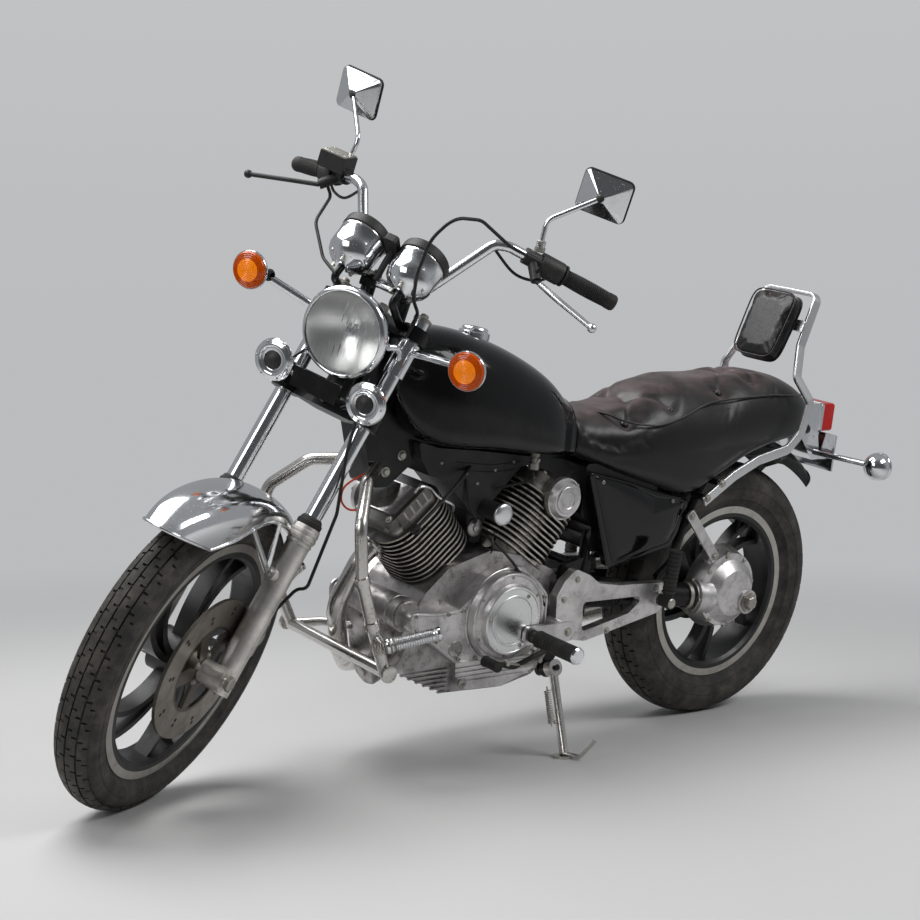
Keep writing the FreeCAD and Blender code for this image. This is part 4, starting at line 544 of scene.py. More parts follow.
class Shape:
    def __init__(self):
        self.points = []
        self.faces = []
        self.finishes = []
        self.slots = []

    def add(self, points, faces, finish):
        if finish not in self.finishes:
            self.finishes.append(finish)
        first = len(self.points)
        self.points.extend(Vector(point) for point in points)
        self.faces.extend([index + first for index in face] for face in faces)
        self.slots.extend([self.finishes.index(finish)] * len(faces))

    def turned(self, profile, centre, axis, finish, steps=48):
        # a full turn of (along, radius) pairs about an axis
        axis = Vector(axis).normalized()
        out = axis.orthogonal().normalized()
        side = axis.cross(out)
        points = []
        for along, radius in profile:
            for step in range(steps):
                turn = 2 * math.pi * step / steps
                points.append(Vector(centre) + axis * along
                              + (out * math.cos(turn) + side * math.sin(turn)) * radius)
        self.add(points, ringFaces(len(profile), steps), finish)

    def pipe(self, path, radius, finish, sides=12, smooth=True):
        # a round bar along points, or along a smooth curve through them
        line = smoothLine(path) if smooth else [Vector(point) for point in path]
        radii = radius if isinstance(radius, (list, tuple)) else [radius] * len(line)
        if len(radii) != len(line):
            radii = np.interp(np.linspace(0, 1, len(line)), np.linspace(0, 1, len(radii)), radii)
        points = []
        across = None
        for number, point in enumerate(line):
            before = line[max(number - 1, 0)]
            after = line[min(number + 1, len(line) - 1)]
            way = (after - before).normalized()
            if across is None:
                across = way.orthogonal().normalized()
            else:
                across = (across - way * across.dot(way)).normalized()
            other = way.cross(across)
            for step in range(sides):
                turn = 2 * math.pi * step / sides
                out = across * math.cos(turn) + other * math.sin(turn)
                points.append(point + out * float(radii[number]))
        faces = ringFaces(len(line), sides)
        last = (len(line) - 1) * sides
        faces.append(list(reversed(range(sides))))
        faces.append(list(range(last, last + sides)))
        self.add(points, faces, finish)

    def plate(self, outline, origin, right, up, thickness, finish):
        # a flat outline of (right, up) pairs with a thickness towards right x up
        right, up = Vector(right).normalized(), Vector(up).normalized()
        out = right.cross(up)
        count = len(outline)
        points = []
        for level in (0, thickness):
            points.extend(Vector(origin) + right * x + up * y + out * level for x, y in outline)
        faces = [list(reversed(range(count))), list(range(count, 2 * count))]
        faces.extend([n, (n + 1) % count, count + (n + 1) % count, count + n] for n in range(count))
        self.add(points, faces, finish)

    def turnings(self, rows, side=1):
        for profile, centre, axis, finish, steps in rows:
            self.turned(profile, mirrored(centre, side), mirrored(axis, side), finish, steps)

    def pipes(self, rows, side=1):
        for path, radius, finish, sides in rows:
            self.pipe([mirrored(spot, side) for spot in path], radius, finish, sides)

    def finish(self, name, body, slotName, bevel=0.0, edgeAngle=33.0, merge=True):
        place = places[body]
        mesh = bpy.data.meshes.new(name)
        mesh.from_pydata([place @ point for point in self.points], [], self.faces)
        for material in self.finishes:
            mesh.materials.append(finishes[material])
        mesh.polygons.foreach_set("material_index", self.slots)
        mesh.update()
        return finishPiece(name, mesh, body, bevel, edgeAngle, merge)


def finishPiece(name, mesh, body, bevel=0.0, edgeAngle=33.0, merge=True):
    piece = bpy.data.objects.new(name, mesh)
    bpy.context.scene.collection.objects.link(piece)
    work = bmesh.new()
    work.from_mesh(mesh)
    if merge:
        bmesh.ops.remove_doubles(work, verts=work.verts, dist=0.000004)
        bmesh.ops.dissolve_degenerate(work, edges=work.edges, dist=0.000002)
        bmesh.ops.recalc_face_normals(work, faces=work.faces)
    for face in work.faces:
        face.smooth = True
    for edge in work.edges:
        edge.smooth = edge.calc_face_angle(0.0) < math.radians(edgeAngle)
    work.to_mesh(mesh)
    work.free()
    if bevel:
        rounding = piece.modifiers.new("roundedEdges", "BEVEL")
        rounding.width = bevel
        rounding.segments = 2
        rounding.limit_method = "ANGLE"
        rounding.angle_limit = math.radians(edgeAngle)
    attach(piece, body)
    return piece


def smoothLine(path, steps=8):
    # a smooth curve through the points
    points = [Vector(point) for point in path]
    if len(points) < 3:
        return points
    padded = [points[0] * 2 - points[1]] + points + [points[-1] * 2 - points[-2]]
    line = []
    for a, b, c, d in zip(padded, padded[1:], padded[2:], padded[3:]):
        for step in range(steps):
            t = step / steps
            line.append(0.5 * ((2 * b) + (c - a) * t + (2 * a - 5 * b + 4 * c - d) * t * t
                               + (3 * b - a - 3 * c + d) * t ** 3))
    line.append(points[-1])
    return line


# Geometry Nodes for what repeats

def newTree(name, inputs):
    tree = bpy.data.node_groups.new(name, "GeometryNodeTree")
    tree.interface.new_socket("Geometry", in_out="INPUT", socket_type="NodeSocketGeometry")
    for label, kind, value in inputs:
        socket = tree.interface.new_socket(label, in_out="INPUT", socket_type="NodeSocket" + kind)
        if value is not None:
            socket.default_value = value
    tree.interface.new_socket("Geometry", in_out="OUTPUT", socket_type="NodeSocketGeometry")
    graph = Graph(tree)
    start = graph.node("NodeGroupInput")
    return tree, graph, {socket.name: Field(graph, socket) for socket in start.outputs if socket.name}


def closeTree(graph, geometry, finish=None):
    real = graph.field("GeometryNodeRealizeInstances", {}, {"Geometry": geometry})
    if finish:
        real = graph.field("GeometryNodeSetMaterial", {}, {"Geometry": real, "Material": finishes[finish]})
    graph.node("NodeGroupOutput", {}, {"Geometry": real})


def runTree(name, tree, base, values):
    # the tree's result on a base mesh, as a plain mesh
    carrier = bpy.data.objects.new(name + "Maker", base)
    bpy.context.scene.collection.objects.link(carrier)
    maker = carrier.modifiers.new("maker", "NODES")
    maker.node_group = tree
    for item in tree.interface.items_tree:
        if item.in_out == "INPUT" and item.name in values:
            maker[item.identifier] = values[item.name]
    bpy.context.view_layer.update()
    graph = bpy.context.evaluated_depsgraph_get()
    mesh = bpy.data.meshes.new_from_object(carrier.evaluated_get(graph))
    bpy.data.objects.remove(carrier)
    mesh.name = name
    return mesh


def spotsMesh(spots):
    # one vertex per spot, with the way that it faces and its size
    mesh = bpy.data.meshes.new("spots")
    mesh.from_pydata([spot[0] for spot in spots], [], [])
    mesh.attributes.new("facing", "FLOAT_VECTOR", "POINT")
    mesh.attributes.new("size", "FLOAT", "POINT")
    ways = [part for spot in spots for part in Vector(spot[1]).normalized()]
    mesh.attributes["facing"].data.foreach_set("vector", ways)
    mesh.attributes["size"].data.foreach_set("value", [spot[2] for spot in spots])
    return mesh


def scatterTree():
    tree, graph, given = newTree("onEachSpot", [("Head", "Object", None)])
    head = graph.field("GeometryNodeObjectInfo", {"transform_space": "ORIGINAL"}, {"Object": given["Head"]},
                       "Geometry")
    facing = graph.field("GeometryNodeInputNamedAttribute", {"data_type": "FLOAT_VECTOR"}, {"Name": "facing"})
    size = graph.field("GeometryNodeInputNamedAttribute", {"data_type": "FLOAT"}, {"Name": "size"})
    turn = graph.field("FunctionNodeAlignRotationToVector", {"axis": "Z"}, {"Vector": facing})
    copies = graph.field("GeometryNodeInstanceOnPoints", {}, {"Points": given["Geometry"], "Instance": head,
                                                              "Rotation": turn, "Scale": size})
    closeTree(graph, copies)
    return tree


onEachSpot = scatterTree()


def templateObject(name, shape):
    mesh = bpy.data.meshes.new(name)
    mesh.from_pydata([tuple(point) for point in shape.points], [], shape.faces)
    for material in shape.finishes:
        mesh.materials.append(finishes[material])
    mesh.polygons.foreach_set("material_index", shape.slots)
    return bpy.data.objects.new(name, mesh)


def scattered(name, head, spots, body, edgeAngle=33.0):
    # a copy of the head on every spot, as one piece
    mesh = runTree(name, onEachSpot, spotsMesh(spots), {"Head": head})
    mesh.transform(places[body])
    return finishPiece(name, mesh, body, 0.0, edgeAngle)


def hexHead(finish, washer=1.35):
    shape = Shape()
    ring = [(math.cos(math.radians(60 * n + 30)), math.sin(math.radians(60 * n + 30))) for n in range(6)]
    points = []
    for scale, height in ((1.0, 0.12), (1.0, 0.62), (0.86, 0.78), (0.0, 0.80)):
        points.extend(Vector((x * scale, y * scale, height)) for x, y in ring)
    shape.add(points, ringFaces(4, 6), finish)
    shape.turned([(-0.2, 0), (-0.2, washer), (0.1, washer), (0.14, washer - 0.08), (0.14, 0)],
                 (0, 0, 0), toTop, finish, 20)
    return templateObject("hexHead", shape)


def socketHead(finish):
    shape = Shape()
    shape.turned([(-0.2, 0), (-0.2, 1.0), (0.85, 1.0), (1.0, 0.86), (1.0, 0.52), (0.45, 0.46), (0.45, 0)],
                 (0, 0, 0), toTop, finish, 20)
    return templateObject("socketHead", shape)


def screwHead(finish):
    shape = Shape()
    shape.turned([(-0.2, 0), (-0.2, 1.0), (0.12, 1.0), (0.42, 0.78), (0.55, 0.42), (0.56, 0.30), (0.30, 0.22),
                  (0.28, 0)], (0, 0, 0), toTop, finish, 18)
    return templateObject("screwHead", shape)


# Tyres: a carcass with raised tread blocks repeated round it

frontTyre = {"axle": machine["frontAxle"], "radius": 331.0, "halfWidth": 46.0, "crown": 52.0, "rim": 243.0,
             "rimHalf": 33.0, "pitches": 46, "depth": 4.6, "rows": ((1.6, 20.5), (24.0, 43.0))}
rearTyre = {"axle": machine["rearAxle"], "radius": 320.0, "halfWidth": 65.0, "crown": 80.0, "rim": 206.0,
            "rimHalf": 48.0, "pitches": 42, "depth": 5.0, "rows": ((2.0, 27.0), (31.0, 57.0))}


def crownPoint(tyre, across, drop):
    # radius and side of a point on the crown, by arc length from its middle
    angle = across / tyre["crown"]
    radius = tyre["radius"] - tyre["crown"] + (tyre["crown"] - drop) * math.cos(angle)
    return radius, (tyre["crown"] - drop) * math.sin(angle)


def treadPitch(tyre):
    # the blocks of one pitch, standing between stepped grooves, about an axle at the origin
    pitch = 2 * math.pi * tyre["radius"] / tyre["pitches"]
    groove = 4.6
    shape = Shape()
    for side in (-1, 1):
        for row, (low, high) in enumerate(tyre["rows"]):
            middle = (low + high) / 2
            shift = pitch * (0.5 if (row + (side > 0)) % 2 else 0.0)
            step = pitch * 0.32
            for start, end, offset in ((low, middle, 0.0), (middle, high, step)):
                addBlock(shape, tyre, side, start, end, shift + offset, shift + offset + pitch - groove)
    return shape


def addBlock(shape, tyre, side, low, high, start, end):
    rows = [low + (high - low) * n / 3 for n in range(4)]
    columns = [start + (end - start) * n / 3 for n in range(4)]
    points, faces = [], []
    for drop in (0.0, tyre["depth"] + 1.0):
        for across in rows:
            radius, reach = crownPoint(tyre, across, drop)
            for along in columns:
                angle = along / tyre["radius"]
                points.append(Vector((radius * math.sin(angle), side * reach, radius * math.cos(angle))))
    for row in range(3):
        for column in range(3):
            first = row * 4 + column
            faces.append([first, first + 1, first + 5, first + 4])
    border = [0, 1, 2, 3, 7, 11, 15, 14, 13, 12, 8, 4]
    for here, after in zip(border, border[1:] + border[:1]):
        faces.append([here, after, after + 16, here + 16])
    shape.add(points, faces, "tyre")


def roundTree():
    tree, graph, given = newTree("roundTheAxle", [("Tread", "Object", None), ("Pitches", "Int", 60)])
    block = graph.field("GeometryNodeObjectInfo", {"transform_space": "ORIGINAL"}, {"Object": given["Tread"]},
                        "Geometry")
    line = graph.field("GeometryNodeMeshLine", {}, {"Count": given["Pitches"], "Offset": (0, 0, 0)})
    index = graph.field("GeometryNodeInputIndex")
    turn = index * (2 * math.pi) / given["Pitches"]
    angles = graph.field("ShaderNodeCombineXYZ", {}, {1: turn})
    copies = graph.field("GeometryNodeInstanceOnPoints", {}, {"Points": line, "Instance": block,
                                                              "Rotation": angles})
    closeTree(graph, copies)
    return tree


roundTheAxle = roundTree()


def roundPiece(name, shape, count, centre, body, edgeAngle=33.0):
    template = templateObject(name + "Part", shape)
    empty = bpy.data.meshes.new("empty")
    mesh = runTree(name, roundTheAxle, empty, {"Tread": template, "Pitches": count})
    mesh.transform(places[body] @ Matrix.Translation(centre))
    return finishPiece(name, mesh, body, 0.0, edgeAngle)


def buildTyre(name, tyre, body, node):
    crown, rim = tyre["crown"], tyre["rim"]
    base = tyre["radius"] - crown
    shoulder = math.asin(tyre["halfWidth"] * 0.8 / crown)
    bead = rim + 0.6
    half = []
    for n in range(15):
        angle = shoulder * n / 14
        sunk = tyre["depth"] if angle * crown < tyre["rows"][-1][1] - 1 else 0.6
        half.append((base + (crown - sunk) * math.cos(angle), (crown - sunk) * math.sin(angle)))
    middle = (tyre["radius"] + bead) / 2
    width = tyre["halfWidth"]
    low = bead + (tyre["radius"] - bead) * 0.3
    half += [(middle + 13, width - 0.9), (middle + 6, width - 0.2), (middle + 1.5, width - 0.1),
             (middle + 1.0, width - 1.1), (middle - 1.0, width - 1.1), (middle - 1.5, width - 0.2),
             (low + 6, width - 1.2), (low, width * 0.94 - 0.2), (low - 3.0, width * 0.94 - 0.4),
             (low - 3.6, width * 0.94 - 1.8), (rim + 13.0, tyre["rimHalf"] - 0.6),
             (rim + 10.5, tyre["rimHalf"] - 1.6), (bead, tyre["rimHalf"] - 8.0), (bead, 0)]
    profile = [(side, radius) for radius, side in half]
    profile = [(-side, radius) for side, radius in reversed(profile[1:])] + profile
    shape = Shape()
    shape.turned(profile, tyre["axle"], toLeft, "tyre", 144)
    carcass = shape.finish(name + "Carcass", body, "tyre_rubber", 0.0, 40.0)
    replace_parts(carcass, node)
    roundPiece(name + "Tread", treadPitch(tyre), tyre["pitches"], tyre["axle"], body, 25.0)


buildTyre("frontTyre", frontTyre, "front_wheel", "front_tyre")
buildTyre("rearTyre", rearTyre, "rear_wheel", "rear_tyre")
print("tyres ready")


# Seat and backrest: padded shapes blown up as cloth, then drawn in at their buttons

seatPlan = {
    "stations": ((-187, 697, 788, 82), (-250, 674, 782, 103), (-340, 644, 808, 127), (-430, 618, 846, 138),
                 (-520, 597, 854, 140), (-620, 633, 856, 132), (-720, 678, 868, 126), (-820, 703, 866, 119),
                 (-900, 715, 844, 109), (-955, 723, 812, 85), (-981, 735, 777, 53)),
    "topPower": 2.6,
    "lowPower": 7.0,
    "widest": 0.35,
    "voxel": 0.006,
    "pressure": 4.0,
    "cap": 0.006,
    "buttonDepth": 15.0,
    "buttonReach": 46.0,
    "buttons": ((-322, 88), (-322, -88), (-372, 30), (-372, -30), (-450, 104), (-450, -104),
                (-627, 78), (-627, -78), (-695, 10), (-745, 72), (-745, -72), (-810, 0)),
    "foldSpan": 118.0,
    "foldDepth": 4.5,
    "foldWidth": 8.0,
    "dish": (-395.0, 118.0, 150.0, 13.0),
    "welt": ((-262, 0.30), (-283, 0.62), (-318, 0.84), (-392, 0.93), (-470, 0.90), (-540, 0.83), (-600, 0.81),
             (-680, 0.85), (-769, 0.88), (-854, 0.88), (-925, 0.76), (-955, 0.45)),
}


def seatMiddle(low, high):
    return low + (high - low) * seatPlan["widest"]


def ovalRing(x, low, high, half, count):
    # a seat section: round on top, boxy below its widest height
    middle = seatMiddle(low, high)
    points = []
    for step in range(count):
        turn = 2 * math.pi * step / count
        power = seatPlan["topPower"] if math.sin(turn) > 0 else seatPlan["lowPower"]
        tall = high - middle if math.sin(turn) > 0 else middle - low
        reach = half * squarish(math.cos(turn), 2 / power)
        rise = tall * squarish(math.sin(turn), 2 / power)
        points.append(Vector((x, reach, middle + rise)))
    return points


def seatSection(x):
    keys = np.array(seatPlan["stations"])[::-1]
    return [float(np.interp(x, keys[:, 0], keys[:, column])) for column in (1, 2, 3)]


def seatTop(x, y):
    low, high, half = seatSection(x)
    middle, power = seatMiddle(low, high), seatPlan["topPower"]
    return middle + (high - middle) * max(1 - min(abs(y) / half, 1) ** power, 0) ** (1 / power)


def seatNormal(x, y):
    step = 6.0
    return Vector((seatTop(x - step, y) - seatTop(x + step, y), seatTop(x, y - step) - seatTop(x, y + step),
                   2 * step)).normalized()


def loftRings(shape, rings, finish):
    count = len(rings[0])
    points = [point for ring in rings for point in ring]
    faces = ringFaces(len(rings), count)
    faces.append(list(reversed(range(count))))
    last = (len(rings) - 1) * count
    faces.append(list(range(last, last + count)))
    shape.add(points, faces, finish)


def smoothStations(stations, steps=6):
    keys = np.array(stations, float)
    line = smoothLine([Vector(key[:3]) for key in keys], steps)
    widths = smoothLine([Vector((key[3], 0, 0)) for key in keys], steps)
    return [(point.x, point.y, point.z, width.x) for point, width in zip(line, widths)]


def blownUp(mesh, plan, pinned):
    # voxel remesh, a short cloth run under pressure, and a cap on how far a point may move
    scene = bpy.context.scene
    pad = bpy.data.objects.new("padWork", mesh)
    scene.collection.objects.link(pad)
    remesh = pad.modifiers.new("remesh", "REMESH")
    remesh.mode = "VOXEL"
    remesh.voxel_size = plan["voxel"]
    graph = bpy.context.evaluated_depsgraph_get()
    fine = bpy.data.meshes.new_from_object(pad.evaluated_get(graph))
    pad.modifiers.clear()
    pad.data = fine
    rest = np.array([vertex.co for vertex in fine.vertices])
    group = pad.vertex_groups.new(name="held")
    for index in np.nonzero(pinned(rest))[0]:
        group.add([int(index)], 1.0, "REPLACE")
    cloth = pad.modifiers.new("cloth", "CLOTH")
    cloth.settings.use_pressure = True
    cloth.settings.uniform_pressure_force = plan["pressure"]
    cloth.settings.effector_weights.gravity = 0.0
    cloth.settings.vertex_group_mass = "held"
    cloth.settings.quality = 4
    cloth.point_cache.frame_start, cloth.point_cache.frame_end = 1, 20
    for step in range(1, 21):
        scene.frame_set(step)
    graph = bpy.context.evaluated_depsgraph_get()
    blown = bpy.data.meshes.new_from_object(pad.evaluated_get(graph))
    moved = np.array([vertex.co for vertex in blown.vertices]) - rest
    length = np.linalg.norm(moved, axis=1, keepdims=True)
    moved *= np.minimum(1.0, plan["cap"] / np.maximum(length, 1e-9))
    scene.frame_set(1)
    bpy.data.objects.remove(pad)
    blown.vertices.foreach_set("co", (rest + moved).astype(np.float32).ravel())
    blown.update()
    return blown


def drawnIn(mesh, place, plan, facing):
    # buttons pull the cover in and leave soft folds between them
    inverse = place.inverted()
    points = np.array([inverse @ vertex.co for vertex in mesh.vertices])
    normals = np.array([inverse.to_3x3() @ vertex.normal for vertex in mesh.vertices])
    normals /= np.linalg.norm(normals, axis=1, keepdims=True)
    upward = np.clip((normals @ np.array(facing) - 0.2) / 0.5, 0, 1)
    depth = np.zeros(len(points))
    for x, y in plan["buttons"]:
        away = np.hypot(points[:, 0] - x, points[:, 1] - y)
        depth += plan["buttonDepth"] * np.exp(-(away / (plan["buttonReach"] * 0.42)) ** 1.3)
    for number, first in enumerate(plan["buttons"]):
        for second in plan["buttons"][number + 1:]:
            span = math.hypot(first[0] - second[0], first[1] - second[1])
            if span > plan["foldSpan"]:
                continue
            way = np.array([second[0] - first[0], second[1] - first[1]]) / span
            along = (points[:, 0] - first[0]) * way[0] + (points[:, 1] - first[1]) * way[1]
            across = (points[:, 0] - first[0]) * way[1] - (points[:, 1] - first[1]) * way[0]
            inside = np.clip(along / span * 6, 0, 1) * np.clip((1 - along / span) * 6, 0, 1)
            depth += plan["foldDepth"] * inside * np.exp(-(across / plan["foldWidth"]) ** 2)
    middle, long, wide, drop = plan["dish"]
    reach = ((points[:, 0] - middle) / long) ** 2 + (points[:, 1] / wide) ** 2
    depth += drop * np.clip(1 - reach, 0, 1) ** 0.7
    points -= np.array(facing) * (depth * upward)[:, None]
    mesh.vertices.foreach_set("co", np.array([place @ Vector(p) for p in points], np.float32).ravel())
    mesh.update()


def paddedPiece(name, mesh, node):
    # a cover of one finish, smoothed
    mesh.materials.clear()
    mesh.materials.append(finishes["leather"])
    piece = finishPiece(name, mesh, "chassis", 0.0, 180.0, False)
    fine = piece.modifiers.new("fine", "SUBSURF")
    fine.levels = fine.render_levels = 1
    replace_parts(piece, node)


def buildSeat():
    place = places["chassis"]
    shape = Shape()
    rings = [ovalRing(x, low, high, half, 64)
             for x, low, high, half in smoothStations(seatPlan["stations"])]
    loftRings(shape, rings, "leather")
    mesh = bpy.data.meshes.new("seatCover")
    mesh.from_pydata([place @ point for point in shape.points], [], shape.faces)
    inverse = np.array(place.inverted())

    def held(points):
        local = points @ inverse[:3, :3].T + inverse[:3, 3]
        return local[:, 2] < 706 - 0.06 * (local[:, 0] + 560)
    mesh = blownUp(mesh, seatPlan, held)
    drawnIn(mesh, place, seatPlan, toTop)
    paddedPiece("seatCover", mesh, "seat")


buildSeat()
print("seat ready")


# Front end: lamps, horns, instruments and what is fixed to the fork

def ringOf(count, centre, axis, radius, start=0.0):
    # spots evenly round an axis
    axis = Vector(axis).normalized()
    out = axis.orthogonal().normalized()
    side = axis.cross(out)
    spots = []
    for step in range(count):
        turn = math.radians(start) + 2 * math.pi * step / count
        spots.append(Vector(centre) + (out * math.cos(turn) + side * math.sin(turn)) * radius)
    return spots


headlight = {
    "front": headPoint(139, 0, -8),
    "radius": 92.0,
    "lensRadius": 82.4,
    "flutes": 15,
    "fluteDepth": 1.3,
    "plainBand": 14,
    "dome": 9.0,
    "lensRings": 16,
    "lensSteps": 96,
    "bowlDepth": 52.0,
    "bowlMouth": (-4.5, 82.2),
    "bowlSteps": 12,
    "shell": [(-79.6, 0), (-79.6, 22), (-76, 34), (-64, 48), (-50, 76), (-44, 82), (-34, 86), (-19, 87.5),
              (-18, 90), (-16.5, 93), (-12, 94), (-7, 93.4), (-3, 91.6), (0, 88.4), (1.6, 85.4), (1.0, 83.6),
              (-2, 83.0)],
    "bulbCap": [(-52, 0), (-52, 9), (-30, 9), (-27, 7.5), (-26, 0)],
}


def buildHeadlight():
    front = headlight["front"]
    shell = Shape()
    mouth, rim = headlight["bowlMouth"]
    bowl = [(mouth, rim)]
    for step in range(1, headlight["bowlSteps"] + 1):
        share = step / headlight["bowlSteps"]
        bowl.append((mouth - headlight["bowlDepth"] * (1 - (1 - share) ** 2),
                     rim * (1 - share) ** 0.98 + 0.2))
    shell.turned(headlight["shell"], front, toFront, "chrome", 72)
    shell.turned(headlight["shell"][-1:] + bowl, front, toFront, "reflector", 72)
    shell.turned(headlight["bulbCap"], front, toFront, "chrome", 24)
    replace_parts(shell.finish("headlightShell", "steering", "chrome_plate", 0.0, 40.0), "headlight_shell")

    # the lens: a smooth domed front, a fluted back, and a wall that joins them
    lens = Shape()
    rings, steps, edge = headlight["lensRings"], headlight["lensSteps"], headlight["lensRadius"]
    radius, flutes = headlight["radius"], headlight["flutes"]
    faces = ringFaces(rings + 1, steps)
    for surface in (0, 1):
        points = []
        for ring in range(rings + 1):
            reach = edge * ring / rings
            for step in range(steps):
                turn = 2 * math.pi * step / steps
                y, z = reach * math.cos(turn), reach * math.sin(turn)
                x = 0.5 + headlight["dome"] * (1 - (reach / radius) ** 2)
                if surface:
                    deep = min(max((abs(z) - headlight["plainBand"]) / 10, 0), 1) * min((edge - reach) / 8, 1)
                    x -= 4.2 + headlight["fluteDepth"] * deep * math.sin(y / radius * flutes * math.pi)
                points.append(front + Vector((x - 2.5, y, z)))
        lens.add(points, faces, "fluted")
    first, second = rings * steps, (2 * rings + 1) * steps
    lens.faces += [[first + s, first + (s + 1) % steps, second + (s + 1) % steps,
                    second + s] for s in range(steps)]
    lens.slots += [0] * steps
    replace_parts(lens.finish("headlightLens", "steering", "clear_lens", 0.0, 60.0), "headlight_lens")


signal = {"centre": (97, 257, 15), "radius": 38.2, "setBack": 4, "rings": 9, "glowRings": 7, "crown": 7.0,
          "stem": [(0, 5), (0, 12.5), (5, 13.2), (9, 11.5), (12, 9.2)]}


def signalLens(shape, centre, way, radius, finish):
    profile = [(0.4, 0), (0.4, radius), (5.5, radius), (7.0, radius - 1.2), (9.5, radius - 2.0)]
    rings = []
    for number in range(signal["rings"]):
        reach = (radius - 3.0) * (1 - number / signal["rings"])
        crown = 9.5 + signal["crown"] * (1 - (reach / radius) ** 2)
        rings += [(crown, reach), (crown - 0.9, reach - radius * 0.045)]
    rings.append((16.6, 0))
    glow = signal["glowRings"]
    shape.turned(profile + rings[:glow], centre, way, finish, 56)
    # the inner rings take the amber finish: its stronger glow is a painted highlight at the lens's centre
    shape.turned(rings[glow - 1:], centre, way, "paintedGlowAmber" if finish == "orange" else finish, 56)


def signalBezel(shape, centre, way, radius):
    profile = [(-3.0, radius - 3), (-3.0, radius + 0.6), (-1.0, radius + 1.8), (3.6, radius + 1.9),
               (5.2, radius + 1.0), (5.2, radius + 0.1), (0.2, radius + 0.05), (0.2, radius - 3)]
    shape.turned(profile + profile[:1], centre, way, "chrome", 56)


def buildFrontSignals():
    lenses, bezels = Shape(), Shape()
    for side in (-1, 1):
        middle = headSpot(signal["centre"], side)
        centre = middle - Vector((signal["setBack"], 0, 0))
        signalLens(lenses, centre, toFront, signal["radius"], "orange")
        signalBezel(bezels, centre, toFront, signal["radius"])
        bezels.turned(signal["stem"], middle + Vector((-23, -side * 30, 0)), (0.1, -side, 0), "rubber", 24)
    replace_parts(lenses.finish("frontSignalLenses", "steering", "orange_lens", 0.0, 28.0),
                "front_signal_lenses")
    bezels.finish("frontSignalBezels", "steering", "chrome_plate", 0.0, 40.0)


horn = {
    "centre": (178, 109, -108),
    "body": [(-33.6, 0), (-33.6, 16), (-27, 17.5), (-21, 21), (-16.5, 34), (-14, 38.6), (-10.5, 40.4),
             (-9.5, 42.4), (-7.0, 43.4), (-4.5, 42.6), (-3.6, 41.0), (-2.2, 41.8), (-0.4, 41.4), (0.8, 39.6),
             (1.2, 36.6), (2.4, 34.4), (3.4, 31.6), (3.0, 28.6), (1.6, 26.6), (1.4, 21.6), (0.6, 19.6),
             (-0.8, 18.6), (-0.8, 16.0)],
    "middle": [(-0.8, 18.4), (1.6, 17.8), (2.6, 16.0), (3.4, 13.0), (5.8, 9.8), (7.6, 5.0), (8.0, 0)],
    "slots": 12,
    "slotRing": 24.0,
    "slot": [(-1.7, -2.3), (1.7, -2.3), (2.1, 2.4), (-2.1, 2.4)],
    "screws": 6,
    "screwRing": 37.4,
    "screw": [(-0.6, 0), (-0.6, 2.4), (2.0, 2.2), (2.7, 1.2), (2.7, 0)],
    "wire": ((-26, -14, 8), (-40, -22, 10), (-58, -34, 30)),
    "wireRadius": 2.6,
}


def buildHorns():
    shape = Shape()
    for side in (-1, 1):
        centre = headSpot(horn["centre"], side)
        shape.turned(horn["body"], centre, toFront, "chrome", 64)
        shape.turned(horn["middle"], centre, toFront, "plastic", 40)
        for spot in ringOf(horn["slots"], centre, toFront, horn["slotRing"], 8.0):
            way = (spot - centre).normalized()
            shape.plate(horn["slot"], spot + Vector((1.2, 0, 0)), way.cross(Vector(toFront)) * -1, way, 0.55,
                        "plastic")
        for spot in ringOf(horn["screws"], centre, toFront, horn["screwRing"], 20.0):
            shape.turned(horn["screw"], spot, toFront, "plainSteel", 12)
        shape.pipe([centre + mirrored(spot, side) for spot in horn["wire"]], horn["wireRadius"], "hose", 8)
    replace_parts(shape.finish("hornPair", "steering", "chrome_plate", 0.0, 30.0), "horns")


gauge = {
    "face": (26.0, 68.0, 154.0),
    "tilt": math.radians(42.0),
    "cup": [(-83.8, 0), (-83.8, 14.5), (-80, 16.5), (-70, 34), (-66, 39.5), (-58, 46), (-48, 49.6),
            (-34, 50.2), (-8, 50.4), (-6.5, 51.4), (-2.5, 51.4), (-1.5, 50.4), (0, 50.2), (0, 0)],
    "rim": [(0.2, 0), (0.2, 51), (2.0, 53), (17, 53), (20.5, 52), (23, 49.6), (24, 46.6), (23.4, 45),
            (14.2, 43.4), (14.2, 0)],
    "nut": [(-8, 0), (-8, 4), (0, 4), (2, 5.5), (6, 5.5), (6, 0)],
    "dialDepth": 14.4,
    "dial": [(0, 0), (0, 43.0), (0.4, 43.0), (0.4, 0)],
    "marks": 21,
    "sweep": 250.0,
    "markReach": 38.5,
    "numberReach": 26.5,
    "pointer": [(-1.2, -8), (1.2, -8), (0.4, 32), (-0.4, 32)],
    "hub": [(0.4, 0), (0.4, 5.5), (3.4, 5.0), (4.0, 4.0), (4.0, 0)],
    "ring": [(0.5, 43), (5.0, 42.6), (5.0, 43.4), (0.5, 43.4)],
    "glass": [(19.0, 0), (19.0, 44.2), (21.2, 44.2), (21.2, 0)],
    "knob": [(-4, 0), (-4, 11), (1.5, 12), (3, 11), (3, 0)],
    "panel": [(-14, -40), (-9, -44), (9, -44), (14, -40), (14, 38), (9, 42), (-9, 42), (-14, 38)],
    "lamp": [(15.5, 0), (15.5, 6.4), (17.2, 6.0), (18.2, 3.8), (18.6, 0)],
    "lamps": ("orange", "glass", "red", "orange"),
}


